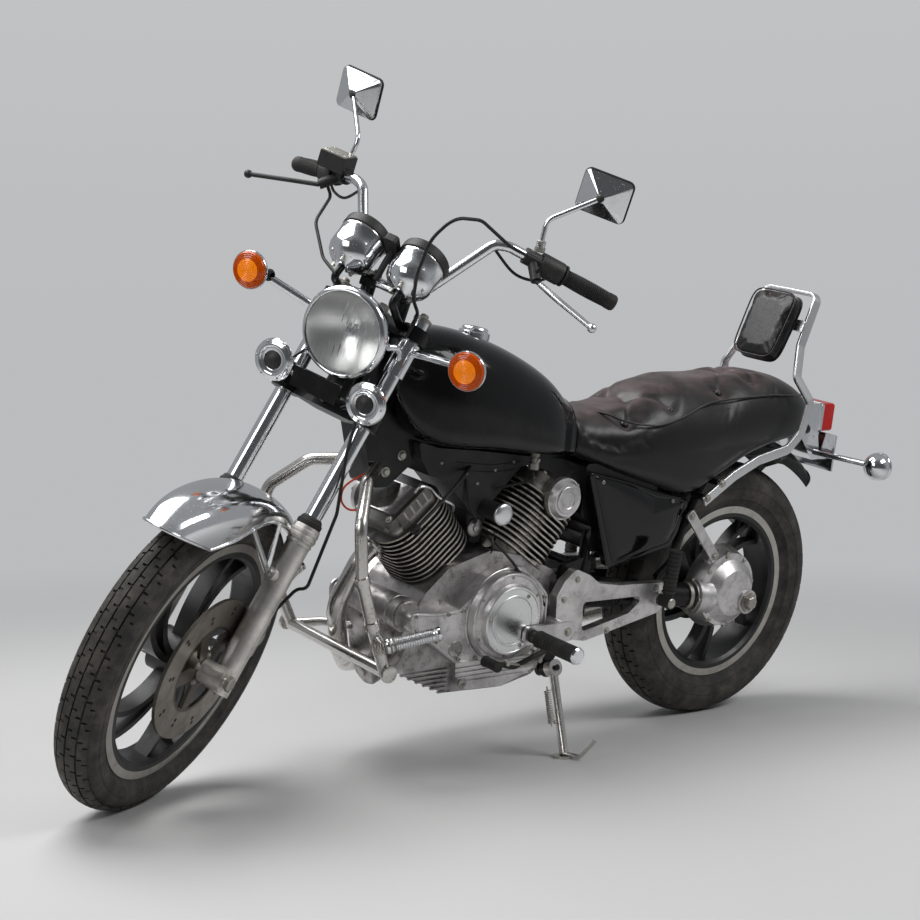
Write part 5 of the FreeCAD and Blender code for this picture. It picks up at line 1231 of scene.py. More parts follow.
def buildGauges():
    cups, dials, glasses, lamps = Shape(), Shape(), Shape(), Shape()
    sine, cosine = math.sin(gauge["tilt"]), math.cos(gauge["tilt"])
    axis, up = Vector((-cosine, 0, sine)), Vector((sine, 0, cosine))
    right = up.cross(axis)
    firstMark = 90 + gauge["sweep"] / 2
    for side in (-1, 1):
        face = headSpot(gauge["face"], side)
        cups.turned(gauge["cup"], face, axis, "chrome", 64)
        cups.turned(gauge["rim"], face, axis, "plastic", 64)
        for spot in ringOf(3, face - axis * 76, axis, 24, 30.0):
            cups.turned(gauge["nut"], spot, axis, "plainSteel", 12)
        dial = face + axis * gauge["dialDepth"]
        dials.turned(gauge["dial"], dial, axis, "dial", 64)
        for number in range(gauge["marks"]):
            turn = math.radians(firstMark - gauge["sweep"] * number / (gauge["marks"] - 1))
            way = right * math.cos(turn) + up * math.sin(turn)
            size = 2.2 if number % 2 else 3.8
            dials.plate(rectangle(-0.55, 0.55, -size, size),
                        dial + axis * 0.4 + way * (gauge["markReach"] - size), way.cross(axis), way, 0.3,
                        "marking")
            if number % 2 == 0:
                dials.plate(rectangle(-1.6, 1.6, -1.6, 1.6), dial + axis * 0.4 + way * gauge["numberReach"],
                            right, up, 0.25, "marking")
        turn = math.radians(firstMark - 4)
        way = right * math.cos(turn) + up * math.sin(turn)
        dials.plate(gauge["pointer"], dial + axis * 2.0, way.cross(axis), way, 0.8, "needle")
        dials.turned(gauge["hub"], dial, axis, "plastic", 24)
        dials.turned(gauge["ring"], dial, axis, "chrome", 48)
        glasses.turned(gauge["glass"], face, axis, "glass", 56)
        cups.turned(gauge["knob"], face + axis * 10 - up * 53.5, -up, "plastic", 20)
    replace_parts(cups.finish("gaugeCups", "steering", "chrome_plate", 0.0, 34.0), "gauge_cups")
    dials.finish("gaugeDials", "steering", "black_plastic", 0.0, 34.0)
    glasses.finish("gaugeGlasses", "steering", "clear_lens", 0.0, 34.0)
    middle = headPoint(gauge["face"][0], 0, gauge["face"][2]) - axis * 6
    lamps.plate(gauge["panel"], middle, right, up, 16, "plastic")
    for number, tone in enumerate(gauge["lamps"]):
        lamps.turned(gauge["lamp"], middle + up * (27 - 18 * number), axis, tone, 24)
    lamps.pipe([middle + axis * 2, middle - axis * 30 - up * 8, middle - axis * 60 - up * 20], 7.0, "plastic",
               12)
    lamps.finish("warningLamps", "steering", "black_plastic", 0.0008, 34.0)


fork = {
    "halfSpacing": 95.0,
    "offset": 15.0,
    "sliderTop": 694.0,
    "tubeTop": 1165.0,
    "lower": 930.0,
    "upper": 1128.0,
    "seal": [(-3, 18.2), (-3, 25.6), (2, 26.4), (7, 26.0), (9, 23.5), (13, 22.6), (17, 19.6), (17.5, 18.2)],
    "collar": [(-44, 25), (-43, 26.6), (-40, 27.2), (-37, 26.6), (-36, 25)],
    "ribs": (-31, -19),
    "cap": [(-4, 0), (-4, 19.2), (2, 19.6), (4, 17), (5, 9), (11, 8.4), (13, 6), (13, 0)],
    "stemNut": [(0, 0), (0, 21), (8, 21), (10, 19.5), (10, 13), (20, 12.4), (23, 10), (23, 0)],
    "clampTop": (-8, 0, 72),
    "riser": 42,
    "clampBlock": [(-21, -13), (21, -13), (22, -4), (20, 8), (12, 15), (-12, 15), (-20, 8), (-22, -4)],
    "clampWidth": 28,
}


def buildForkTrim():
    seals, blocks, bolts = Shape(), Shape(), []
    for side in (-1, 1):
        across = side * fork["halfSpacing"]
        top = forkPoint(fork["sliderTop"], fork["offset"], across)
        seals.turned(fork["seal"], top, steeringUp, "rubber", 40)
        seals.turned(fork["collar"], top, steeringUp, "legAlloy", 40)
        for lift in fork["ribs"]:
            seals.turned([(lift, 28), (lift + 1, 29.2), (lift + 7, 29.2), (lift + 8, 28)], top, steeringUp,
                         "legAlloy", 40)
        seals.turned(fork["cap"], forkPoint(fork["tubeTop"], fork["offset"], across), steeringUp,
                     "plainSteel", 32)
        for along in (fork["lower"], fork["upper"]):
            for shift in (-7, 7):
                bolts.append((forkPoint(along + shift, fork["offset"] - 29, across - side * 14),
                              -steeringAhead, 4.4))
    seals.turned(fork["stemNut"], forkPoint(fork["upper"] + 14, 0, 0), steeringUp, "plainSteel", 6)
    seals.finish("forkSealsAndCaps", "steering", "black_rubber", 0.0, 34.0)
    clampTop = headSpot(fork["clampTop"], 1)
    for side in (-1, 1):
        for x in (-15, 15):
            bolts.append((clampTop + Vector((x, side * fork["riser"], 14)), (0.05 * x / 15, 0, 1), 4.6))
        origin = clampTop + Vector((0, side * fork["riser"] + fork["clampWidth"] / 2, 0))
        blocks.plate(fork["clampBlock"], origin, toFront, toTop, fork["clampWidth"], "enamel")
    scattered("forkBolts", socketHead("plainSteel"), bolts, "steering")
    blocks.finish("barClampCaps", "steering", "frame_enamel", 0.0015, 34.0)


frontFender = {
    # how far out and how far down the section each point lies, as shares
    "arch": ((0.0, 0.0), (0.3, 0.025), (0.58, 0.11), (0.8, 0.27), (0.93, 0.52), (0.985, 0.78), (1.0, 1.0)),
    # crest and edge as angle and reach from the axle, then the half width
    "stations": (((58.0, 403.0), (70.5, 308.0), 57.0), ((66.0, 401.0), (76.0, 305.0), 66.0),
                 ((75.0, 391.0), (83.0, 303.0), 71.0), ((86.0, 377.0), (91.0, 307.0), 72.0),
                 ((98.0, 367.0), (100.0, 313.0), 70.0), ((111.0, 361.0), (111.0, 317.0), 66.0),
                 ((124.0, 358.0), (124.0, 318.0), 62.0), ((137.0, 358.0), (137.0, 318.0), 62.0)),
    "bead": 3.4,
    "lug": (574.6, 45, 77),
    "lugBolt": [(0, 0), (0, 8), (5, 8), (7, 6), (7, 0)],
}


def fenderPoint(crest, edge, halfWidth, out, drop):
    top, low = (machine["frontAxle"] + wheelWay(angle) * reach for angle, reach in (crest, edge))
    return top + (low - top) * drop + Vector((0, halfWidth * out, 0))


def buildFenderTrim():
    shape = Shape()
    stations, bead = frontFender["stations"], frontFender["bead"]
    for station in (stations[0], stations[-1]):
        half = [fenderPoint(*station, out, drop) for out, drop in frontFender["arch"]]
        shape.pipe([mirrored(point, -1) for point in reversed(half[1:])] + half, bead, "chrome", 10)
    along, ahead, aside = frontFender["lug"]
    for side in (-1, 1):
        edge = [fenderPoint(*station, 1.0, 1.0) for station in stations]
        shape.pipe([Vector((p.x, side * (p.y + 0.5), p.z)) for p in edge], bead, "chrome", 10)
        lug = forkPoint(along, ahead, side * aside)
        shape.turned(frontFender["lugBolt"], lug + Vector((0, side * 6, 0)), (0, side, 0), "plainSteel", 6)
    shape.finish("frontFenderBeads", "steering", "chrome_plate", 0.0, 60.0)


buildHeadlight()
buildFrontSignals()
buildHorns()
buildGauges()
buildForkTrim()
buildFenderTrim()
print("front end ready")


# Handlebar controls

bars = {
    "end": (-227.0, 386.0, 174.0),
    "knee": (-100.0, 185.0, 226.0),
    "gripLength": 118.0,
    "ripples": 22,
    "flange": [(0, 11.3), (0, 22.4), (1.2, 23.2), (4.2, 22.6), (5.4, 19.5), (8, 17.2)],
    # past the grip's end and radius
    "gripEnd": ((-12, 15.6), (-10, 17.0), (4, 17.0), (8, 14.5), (9, 0)),
    "pod": [(-25.5, 21.8), (-25.5, 23.4), (-21, 24.0), (21, 24.0), (25.5, 23.4), (25.5, 21.8)],
    # switch buttons: along the bar, lift, radius, tone
    "buttons": ((-12, 6, 5.2, "marking"), (4, 6, 6.0, "plastic"), (15, -5, 4.4, "needle"),
                (-8, -10, 4.6, "plastic")),
    "lever": ((-100, 262, 184), (-84, 320, 172), (-72, 414, 150)),
    "leverBall": [(-9.6, 0), (-8, 5.4), (-4, 8.8), (0, 9.7), (4, 8.8), (8, 5.4), (9.6, 0)],
    "lidScrews": ((8, 8), (46, 8), (8, 54), (46, 54)),
    "sightGlass": [(0, 0), (0, 10.5), (1.2, 10.5), (1.6, 8.5), (1.6, 0)],
}


def barEnds(side):
    return headSpot(bars["end"], side), headSpot(bars["knee"], side)


def buildGrips():
    shape = Shape()
    length, ripples = bars["gripLength"], bars["ripples"]
    for side in (-1, 1):
        end, knee = barEnds(side)
        way = (end - knee).normalized()
        profile = list(bars["flange"])
        pitch = (length - 22) / ripples
        for number in range(ripples):
            lift = 9 + number * pitch
            swell = 1.2 * math.sin(math.pi * number / ripples)
            profile += [(lift, 15.2 + swell), (lift + pitch * 0.25, 16.4 + swell),
                        (lift + pitch * 0.6, 16.4 + swell)]
        profile += [(length + past, radius) for past, radius in bars["gripEnd"]]
        shape.turned(profile, end - way * length, way, "rubber", 32)
    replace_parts(shape.finish("gripCovers", "steering", "black_rubber", 0.0, 40.0), "grips")


def buildSwitches():
    shape, screws = Shape(), []
    for side in (-1, 1):
        end, knee = barEnds(side)
        way = (end - knee).normalized()
        pod = end - way * (bars["gripLength"] + 3 + 26)
        rear = Vector(toRear) - way * way.dot(Vector(toRear))
        rear.normalize()
        up = way.cross(rear) * (1 if way.cross(rear).z > 0 else -1)
        shape.turned(bars["pod"], pod, way, "plastic", 40)
        for along, lift, size, tone in bars["buttons"]:
            spot = pod + way * along + (rear * 0.93 + up * lift / 24).normalized() * 22.5
            shape.turned([(0, 0), (0, size + 1), (2.2, size + 1), (2.2, size), (6.2, size - 0.6),
                          (7.0, size - 1.8), (7.0, 0)], spot, rear, tone, 20)
        for along in (-16, 16):
            screws.append((pod + way * along - up * 23.4, -up, 3.0))
        shape.pipe([pod - up * 20 + way * 6, pod - up * 38 - way * 14, pod - up * 44 - way * 60,
                    knee - up * 16 - way * 30], 3.2, "hose", 8)
        if side > 0:
            # the polished clutch lever with its ball end
            pivot, bend, tip = (headSpot(spot, 1) for spot in bars["lever"])
            shape.pipe([pivot.lerp(bend, 0.2), bend, bend.lerp(tip, 0.5), tip], [6.2, 6.6, 6.2, 6.0],
                       "brightBar", 12)
            shape.turned(bars["leverBall"], tip, tip - bend, "brightBar", 20)
        else:
            # the brake reservoir's lid, its screws and sight glass
            low = end + (knee - end) * 0.68 + Vector((-14, -32, 12))
            shape.plate(rectangle(2, 52, 2, 60), low + Vector((0, 0, 33.6)), toFront, toLeft, 4.0,
                        "plainSteel")
            for x, y in bars["lidScrews"]:
                screws.append((low + Vector((x, y, 37.6)), toTop, 2.6))
            shape.turned(bars["sightGlass"], low + Vector((-0.6, 31, 18)), toRear, "glass", 28)
    shape.finish("switchPods", "steering", "black_plastic", 0.0006, 34.0)
    scattered("switchScrews", screwHead("plainSteel"), screws, "steering")


mirror = {
    "centre": (-232.0, 296.0, 370.0),
    "half": (52.0, 44.0),
    "corner": 12,
    "turn": 8.0,
    "tip": 6.0,
    "edge": 2.6,
    "foot": (-141, 234, 231.1),
    "bend": (-145, 226, 296),
    "neckSleeve": [(0, 5), (0, 8.4), (2, 9.0), (12, 8.2), (15, 6.0), (15, 5)],
    "footNut": [(0, 5), (0, 11), (10, 11), (10, 9.4), (22, 9.4), (24, 7), (24, 5)],
}


def buildMirrorTrim():
    shape = Shape()
    halfWidth, halfHeight = (half - mirror["corner"] for half in mirror["half"])
    for side in (-1, 1):
        turn = Matrix.Rotation(math.radians(side * mirror["turn"]), 4, "Z")
        tip = Matrix.Rotation(math.radians(mirror["tip"]), 4, "Y")
        place = Matrix.Translation(headSpot(mirror["centre"], side)) @ (turn @ tip)
        loop = []
        for x, y, quarter in ((-1, -1, 180), (1, -1, 270), (1, 1, 0), (-1, 1, 90)):
            for angle in range(0, 91, 15):
                bend = math.radians(quarter + angle)
                loop.append(place @ Vector((0.5, x * halfWidth + mirror["corner"] * math.cos(bend),
                                            y * halfHeight + mirror["corner"] * math.sin(bend))))
        shape.pipe(loop + loop[:1], mirror["edge"], "rubber", 8, False)
        neck = place @ Vector((mirror["half"][0] / 2, 0, 0))
        foot, bend = headSpot(mirror["foot"], side), headSpot(mirror["bend"], side)
        shape.turned(mirror["neckSleeve"], neck + (bend - neck).normalized() * -4, bend - neck, "rubber", 24)
        shape.turned(mirror["footNut"], foot, bend - foot, "plainSteel", 6)
    shape.finish("mirrorTrim", "steering", "black_rubber", 0.0, 34.0)


# Wheels: bolts, valves and the hubs' covers

wheels = {
    "discFace": 63.6,
    "discBolts": (5, 63.4, 30.0, 12.0, 5.2),
    # the disc's holes stand in rows of two and one, as seen from the axle
    "holes": 10,
    "holeReach": (110, 132),
    "middleHole": 121,
    "hole": [(-0.25, 0), (-0.25, 4.4), (0.1, 4.4), (0.1, 0)],
    "frontSeal": [(0, 12), (0, 34), (2.0, 34), (4.0, 30), (4.0, 20), (6.5, 18), (6.5, 12)],
    "rearSeal": [(0, 12), (0, 40), (3, 40), (5, 36), (5, 22), (9, 20), (9, 12)],
    "drumCover": [(0, 12), (0, 88), (2, 91), (5, 90), (7, 84), (6, 70), (9, 60), (9, 30), (12, 26), (12, 12)],
    # valves: name, axle, rim, angle, body, how far sideways
    "valves": (("frontValve", "frontAxle", 219.5, 200.0, "front_wheel", 9.0),
               ("rearValve", "rearAxle", 182.5, 115.0, "rear_wheel", 14.0)),
    # a valve's bends: in from the rim, sideways, radius
    "valve": ((-1, 0, 5.0), (14, 3, 3.6), (32, 8, 3.4)),
}


def buildWheelTrim():
    front, rear = machine["frontAxle"], machine["rearAxle"]
    count, face, ring, first, size = wheels["discBolts"]
    bolts = [(spot, toLeft, size)
             for spot in ringOf(count, front + Vector((0, face, 0)), toLeft, ring, first)]
    scattered("discBolts", hexHead("plainSteel"), bolts, "front_wheel")
    shape = Shape()
    face = front + Vector((0, wheels["discFace"], 0))
    for number in range(wheels["holes"]):
        out = wheelWay(36 * number + 9)
        for reach in (wheels["holeReach"][number % 2], wheels["middleHole"]):
            shape.turned(wheels["hole"], face + out * reach, toLeft, "rubber", 16)
    shape.turned(wheels["frontSeal"], front + Vector((0, -40, 0)), toRight, "plainSteel", 40)
    shape.finish("discHolesAndSeal", "front_wheel", "disc_steel", 0.0, 34.0)
    for name, axle, rim, turn, body, sideways in wheels["valves"]:
        way = wheelWay(turn)
        path = [machine[axle] + way * (rim - inward) + Vector((0, sideways + aside, 0))
                for inward, aside, radius in wheels["valve"]]
        shape = Shape()
        shape.pipe(path, [radius for inward, aside, radius in wheels["valve"]], "rubber", 12)
        shape.finish(name, body, "wheel_enamel", 0.0, 34.0)
    shape = Shape()
    shape.turned(wheels["rearSeal"], rear + Vector((0, 40, 0)), toLeft, "plainSteel", 40)
    shape.turned(wheels["drumCover"], rear + Vector((0, -66, 0)), toRight, "castAlloy", 64)
    shape.finish("rearHubCovers", "rear_wheel", "wheel_enamel", 0.0, 34.0)


# Engine: screws, ribs, leads, caps and the round covers' steps

engine = {"crank": Vector((38, 0, 362)), "frontTilt": math.radians(41.0), "rearTilt": math.radians(-34.0),
          "frontMiddle": 0.0, "rearMiddle": 24.0, "frontHalf": 79.0, "rearHalf": 84.0, "coverFace": 134.0}
cylinder = {
    "headBolts": {"across": 50, "inset": 26, "height": 324, "size": 6.4},
    "sideBolts": {"across": 64, "inset": 34, "height": 302, "size": 4.8},
    "lid": {"half": 40, "inset": 24, "cut": 6, "slope": 8, "height": 323.6, "thickness": 5.0},
    "ribs": {"places": (-40, -20, 0, 20, 40), "half": 2, "low": 287, "high": 320, "inset": 11.6,
             "thickness": 1.6},
    "plug": {"across": 20, "inset": 22, "height": 268, "lead": 3.8,
             "profile": [(0, 0), (0, 12), (10, 12), (12, 9.5), (34, 9.5), (38, 12), (52, 11), (58, 8),
                         (60, 4.2)]},
    "cam": {"reach": 30.2, "height": 300, "screwRing": 42.0, "screwSize": 4.4, "screwDepth": 10.5,
            "profile": [(0, 0), (0, 30), (1.2, 31), (2.4, 29.5), (2.4, 20), (1.0, 18), (1.0, 0)]},
}


def cylinderWays(tilt):
    # up along a cylinder, and across its fins from back to front
    return Vector((math.sin(tilt), 0, math.cos(tilt))), Vector((math.cos(tilt), 0, -math.sin(tilt)))


def cylinderPoint(tilt, across, side, height):
    way, flat = cylinderWays(tilt)
    return engine["crank"] + flat * across + way * height + Vector((0, side, 0))


def buildCylinderTrim():
    shape, bolts = Shape(), []
    headBolts, sideBolts, cam = cylinder["headBolts"], cylinder["sideBolts"], cylinder["cam"]
    lid, ribs, plug = cylinder["lid"], cylinder["ribs"], cylinder["plug"]
    for tilt, middle, half, sign in ((engine["frontTilt"], engine["frontMiddle"], engine["frontHalf"], -1),
                                     (engine["rearTilt"], engine["rearMiddle"], engine["rearHalf"], 1)):
        way, flat = cylinderWays(tilt)
        for given, sideways in ((headBolts, False), (sideBolts, True)):
            for x in (-given["across"], given["across"]):
                for y in (given["inset"] - half, half - given["inset"]):
                    facing = flat * math.copysign(1, x) if sideways else way
                    bolts.append((cylinderPoint(tilt, x, middle + y, given["height"]), facing, given["size"]))
        shape.plate(chamfered(lid["half"], half - lid["inset"], lid["cut"], lid["slope"]),
                    cylinderPoint(tilt, 0, middle, lid["height"]), flat, toLeft, lid["thickness"],
                    "dirtyAlloy")
        ribFoot = engine["crank"] + Vector((0, middle - sign * (half - ribs["inset"]), 0))
        for x in ribs["places"]:
            shape.plate(rectangle(x - ribs["half"], x + ribs["half"], ribs["low"], ribs["high"]), ribFoot,
                        flat * -sign, way, ribs["thickness"], "dirtyAlloy")
        foot = cylinderPoint(tilt, plug["across"], middle - sign * (half - plug["inset"]), plug["height"])
        out = Vector((0, -sign, 0)) * 0.82 + way * 0.45 + flat * 0.2
        shape.turned(plug["profile"], foot, out, "rubber", 24)
        out.normalize()
        end = foot + out * 58
        roof = Vector((64 if sign < 0 else 20, -sign * 40, 690))
        shape.pipe([end - out * 6, end + out * 24 + Vector((0, 0, 10)),
                    (end + roof) / 2 + Vector((0, -sign * 26, 20)), roof], plug["lead"], "hose", 8)
        centre = cylinderPoint(tilt, 0, middle + sign * (half + cam["reach"]), cam["height"])
        for spot in ringOf(3, centre + Vector((0, -sign * cam["screwDepth"], 0)), toLeft, cam["screwRing"],
                           25.0):
            bolts.append((spot, (0, sign, 0), cam["screwSize"]))
        shape.turned(cam["profile"], centre, (0, sign, 0), "castAlloy", 48)
    shape.finish("rockerTrim", "chassis", "cast_alloy", 0.0, 34.0)
    scattered("cylinderBolts", hexHead("plainSteel"), bolts, "chassis")


def onOutline(outline, inset, spacing):
    # evenly spaced places just inside a closed outline
    points = [Vector((x, z)) for x, z in outline]
    middle = sum(points, Vector((0, 0))) / len(points)
    spots = []
    for here, after in zip(points, points[1:] + points[:1]):
        count = max(int(round((after - here).length / spacing)), 1)
        for step in range(count):
            spot = here.lerp(after, step / count)
            spots.append(spot + (middle - spot).normalized() * inset)
    return spots


covers = {
    "leftOutline": ((268, 386), (181, 382), (140, 388), (108, 414), (63, 450), (20, 473), (-28, 467),
                    (-83, 424), (-108, 396), (-112, 300), (-96, 262), (32, 257), (137, 269), (208, 320),
                    (262, 350)),
    "rightOutline": ((-108, 262), (-70, 232), (120, 226), (224, 262), (282, 330), (288, 384), (214, 408),
                     (150, 452), (60, 484), (-40, 470), (-96, 410), (-112, 330)),
    "boltInset": (11.0, 12.0),
    "boltSpacing": (68.0, 76.0),
    "boltSize": 5.0,
    "roundCover": 108,
    # how far each bead lies inside the outline, its spacing, its depth below the face and its radius
    "beads": ((5.0, 40.0, 0.8, 3.4), (22.0, 44.0, 1.4, 2.6)),
    "dish": (16, 134.0, 364),
    "disc": (12, 134.0, 359),
    "clutch": (-6, -160.0, 358),
    # screws on the disc, the dish and the clutch cover: count, depth, ring, first angle, size
    "discScrews": (3, 30.0, 63.2, 40.0, 4.8),
    "dishScrews": (6, 17.8, 88.0, 14.0, 4.0),
    "clutchScrews": (6, 0.0, 54.0, 10.0, 4.2),
    "dishSteps": ([(17.5, 96.5), (19.2, 97.6), (20.4, 95.4), (19.4, 91.8), (18.0, 90.6)],
                  [(-0.5, 106.4), (2.2, 106.2), (3.4, 104.8), (3.4, 102.6)]),
    "discRing": [(29.8, 75.6), (31.4, 74.2), (31.6, 71.0), (30.2, 69.6), (30.2, 57.0), (31.2, 56.0),
                 (31.4, 53.2), (30.2, 52.2)],
    "discMiddle": [(29.9, 0), (29.9, 51.0), (30.5, 51.0), (30.7, 49.0), (30.7, 0)],
    "clutchSteps": [(-0.6, 69.5), (1.6, 68.5), (2.2, 64), (0.8, 62), (0.8, 30), (2.0, 28), (2.0, 0)],
    "sumpFins": {"count": 6, "top": 244, "pitch": 10.0, "rear": -254, "slope": 21, "front": -128, "half": 1.8,
                 "face": 97.4, "depth": 6.0},
    "coverFins": {"count": 4, "top": 248, "pitch": 10.5, "rear": 122, "slope": 5, "front": -104, "half": 1.6,
                  "face": 115.6, "depth": 4.0},
    # bosses, plugs, the oil window and the starter
    "bosses": (
        ([(0, 0), (0, 12), (2.5, 12), (3.4, 10.5), (3.4, 5), (1.0, 4), (1.0, 0)],
         (96, 115.6, 214), toLeft, "plainSteel", 32),
        ([(0, 0), (0, 15), (3, 15), (5, 12.5), (5, 0)], (-58, 133.6, 280), toLeft, "plainSteel", 40),
        ([(-0.5, 8.4), (-0.5, 10.6), (2.2, 10.2), (2.8, 8.4)], (-92, 133.6, 292), toLeft, "rubber", 24),
        ([(0, 15.5), (0, 18.5), (2.2, 18.0), (2.2, 15.5)], (140, 134.0, 300), toLeft, "plainSteel", 40),
        ([(0, 0), (0, 15.4), (1.4, 15.4), (1.4, 0)], (140, 134.0, 300), toLeft, "glass", 40),
        ([(0, 0), (0, 33), (3, 33), (5.5, 30), (5.5, 14), (9, 12), (9, 0)],
         (250, 95, 374), toLeft, "dirtyAlloy", 48),
        ([(0, 30), (0, 37.6), (5, 37.6), (6, 36)], (250, 62, 374), toLeft, "dirtyAlloy", 48),
        ([(-2, 0), (-2, 36), (14, 38), (40, 38), (46, 33), (47, 14), (52, 12), (52, 0)],
         (236, 0, 246), (0.82, 0, -0.34), "dirtyAlloy", 48)),
}


def buildCoverTrim():
    shape, bolts, screws = Shape(), [], []
    face = engine["coverFace"]
    dish, disc, clutch = Vector(covers["dish"]), Vector(covers["disc"]), Vector(covers["clutch"])
    outlines = ((covers["leftOutline"], 1), (covers["rightOutline"], -1))
    for (outline, side), inset, spacing in zip(outlines, covers["boltInset"], covers["boltSpacing"]):
        for spot in onOutline(outline, inset, spacing):
            if side < 0 or math.dist(spot, (dish.x, dish.z)) > covers["roundCover"]:
                bolts.append((Vector((spot.x, side * face, spot.y)), (0, side, 0), covers["boltSize"]))
    for outline, side in outlines:
        for inset, spacing, depth, radius in covers["beads"]:
            loop = onOutline(outline, inset, spacing)
            edge = [Vector((spot.x, side * (face - depth), spot.y)) for spot in loop]
            shape.pipe(edge + edge[:2], radius, "castAlloy", 8)
    fins = covers["sumpFins"]
    for number in range(fins["count"]):
        z = fins["top"] - number * fins["pitch"]
        shape.plate(rectangle(fins["rear"] + number * fins["slope"], fins["front"], z - fins["half"],
                              z + fins["half"]),
                    (0, fins["face"], 0), toRear, toTop, fins["depth"], "dirtyAlloy")
    for profile in covers["dishSteps"]:
        shape.turned(profile, dish, toLeft, "castAlloy", 96)
    shape.turned(covers["discRing"], disc, toLeft, "brightBar", 96)
    shape.turned(covers["discMiddle"], disc, toLeft, "brightBar", 80)
    for name, centre in (("disc", disc), ("dish", dish)):
        count, depth, ring, first, size = covers[name + "Screws"]
        for spot in ringOf(count, centre + Vector((0, depth, 0)), toLeft, ring, first):
            screws.append((spot, toLeft, size))
    shape.turned(covers["clutchSteps"], clutch, toRight, "castAlloy", 80)
    count, depth, ring, first, size = covers["clutchScrews"]
    for spot in ringOf(count, clutch, toLeft, ring, first):
        screws.append((spot, toRight, size))
    fins = covers["coverFins"]
    for number in range(fins["count"]):
        z = fins["top"] - number * fins["pitch"]
        left = -fins["front"] - max(0, number - 2) * 14
        shape.plate(rectangle(number * fins["slope"] - fins["rear"], left, z - fins["half"],
                              z + fins["half"]),
                    (0, fins["face"], 0), toRear, toTop, fins["depth"], "castAlloy")
    shape.turnings(covers["bosses"])
    shape.finish("engineCoverTrim", "chassis", "cast_alloy", 0.0, 34.0)
    scattered("coverBolts", socketHead("plainSteel"), bolts, "chassis")
    scattered("coverScrews", screwHead("plainSteel"), screws, "chassis")


intake = {
    "cap": (37, 122, 585),
    "capScrews": (4, 21.5, 45.0, 2.8),
    "screws": ((66, 640), (100, 664), (170, 690), (-30, 684), (20, 668)),
    "screwFace": 60,
    "screwSize": 4.0,
    "turned": (([(-4, 21), (-4, 24.5), (0, 25), (2, 24), (5, 20), (6.5, 12), (6.5, 0)],
                (37, 122, 585), toLeft, "brightBar", 48),
               ([(0, 0), (0, 20), (4, 20), (6, 17), (6, 8), (9, 7), (9, 0)], (54, 50, 540), toLeft,
                "dirtyAlloy", 36)),
    # three carburettor hoses, the red lead, the breather's steel pipe and the black engine cable
    "cords": (([(60, 58, 552), (72, 74, 566), (92, 70, 600), (100, 62, 652)], 3.0, "hose", 8),
              ([(44, 60, 530), (30, 84, 520), (36, 96, 500), (50, 92, 486)], 3.0, "hose", 8),
              ([(20, 60, 560), (8, 70, 540), (20, 80, 508), (24, 60, 490)], 2.6, "hose", 8),
              ([(318, 44, 690), (360, 56, 677), (402, 62, 663), (420, 62, 647), (420, 62, 622),
                (398, 64, 604), (338, 46, 600)], 2.2, "redLead", 8),
              ([(246, 76, 634), (240, 84, 648), (213, 84, 643), (187, 84, 622), (146, 82, 603),
                (128, 62, 580)],
               2.6, "brightBar", 8),
              ([(34, 100, 520), (16, 138, 488), (-13, 140.5, 457), (-81, 140, 395), (-112, 128, 364)],
               3.2, "hose", 8)),
    "wires": tuple(([(-50, 60.4, z), (30, 60.4, z - 4), (130, 60.4, z + 6)], 1.2, "plastic", 6)
                   for z in (668, 684)),
}


def buildIntakeTrim():
    shape, screws = Shape(), []
    count, ring, first, size = intake["capScrews"]
    for spot in ringOf(count, Vector(intake["cap"]) + Vector((0, -1.0, 0)), toLeft, ring, first):
        screws.append((spot, toLeft, size))
    for x, z in intake["screws"]:
        for side in (1, -1):
            screws.append((Vector((x, side * intake["screwFace"], z)), (0, side, 0), intake["screwSize"]))
    shape.turnings(intake["turned"])
    shape.pipes(intake["cords"])
    for side in (-1, 1):
        shape.pipes(intake["wires"], side)
    shape.finish("intakeTrim", "chassis", "black_plastic", 0.0, 34.0)
    scattered("intakeScrews", screwHead("plainSteel"), screws, "chassis")


buildGrips()
buildSwitches()
buildMirrorTrim()
buildWheelTrim()
print("bars and wheels ready")
buildCylinderTrim()
buildCoverTrim()
buildIntakeTrim()
print("engine ready")


# Tank fittings, side covers, and the frame's bolts and boot

tank = {
    "cap": Vector((70, 0, 957)),
    "capUp": Vector((-0.13, 0, 0.99)).normalized(),
    "capProfile": [(-12, 0), (-12, 34), (1.5, 34), (3.0, 32), (3.0, 29), (9, 28.4), (12, 26), (13.2, 21),
                   (13.2, 10), (12.6, 8), (12.6, 0)],
    "tapProfile": [(0, 0), (0, 11), (16, 11), (18, 8), (30, 8), (32, 12), (44, 12), (46, 8), (46, 0)],
    "tap": (-60, 92, 718),
    "tapWay": (0.1, 0.1, -1),
    "lever": (-60, 104, 690),
    "fuelHose": [(-58, 96, 668), (-50, 98, 652), (-20, 84, 640), (20, 66, 628)],
}


def buildTankTrim():
    shape = Shape()
    cap, up = tank["cap"], tank["capUp"]
    shape.turned(tank["capProfile"], cap, up, "chrome", 64)
    shape.plate(rectangle(-3.4, 3.4, -3, 3), cap + up * 12.4, (1, 0, 0.13), toLeft, 1.4, "plastic")
    shape.turned(tank["tapProfile"], tank["tap"], tank["tapWay"], "plainSteel", 24)
    shape.plate(rectangle(-9, 9, -3, 3), tank["lever"], (0.5, 0, -0.8), (0.8, 0, 0.5), 5, "plainSteel")
    shape.pipe(tank["fuelHose"], 3.4, "hose", 8)
    shape.finish("tankFittings", "chassis", "chrome_plate", 0.0, 34.0)


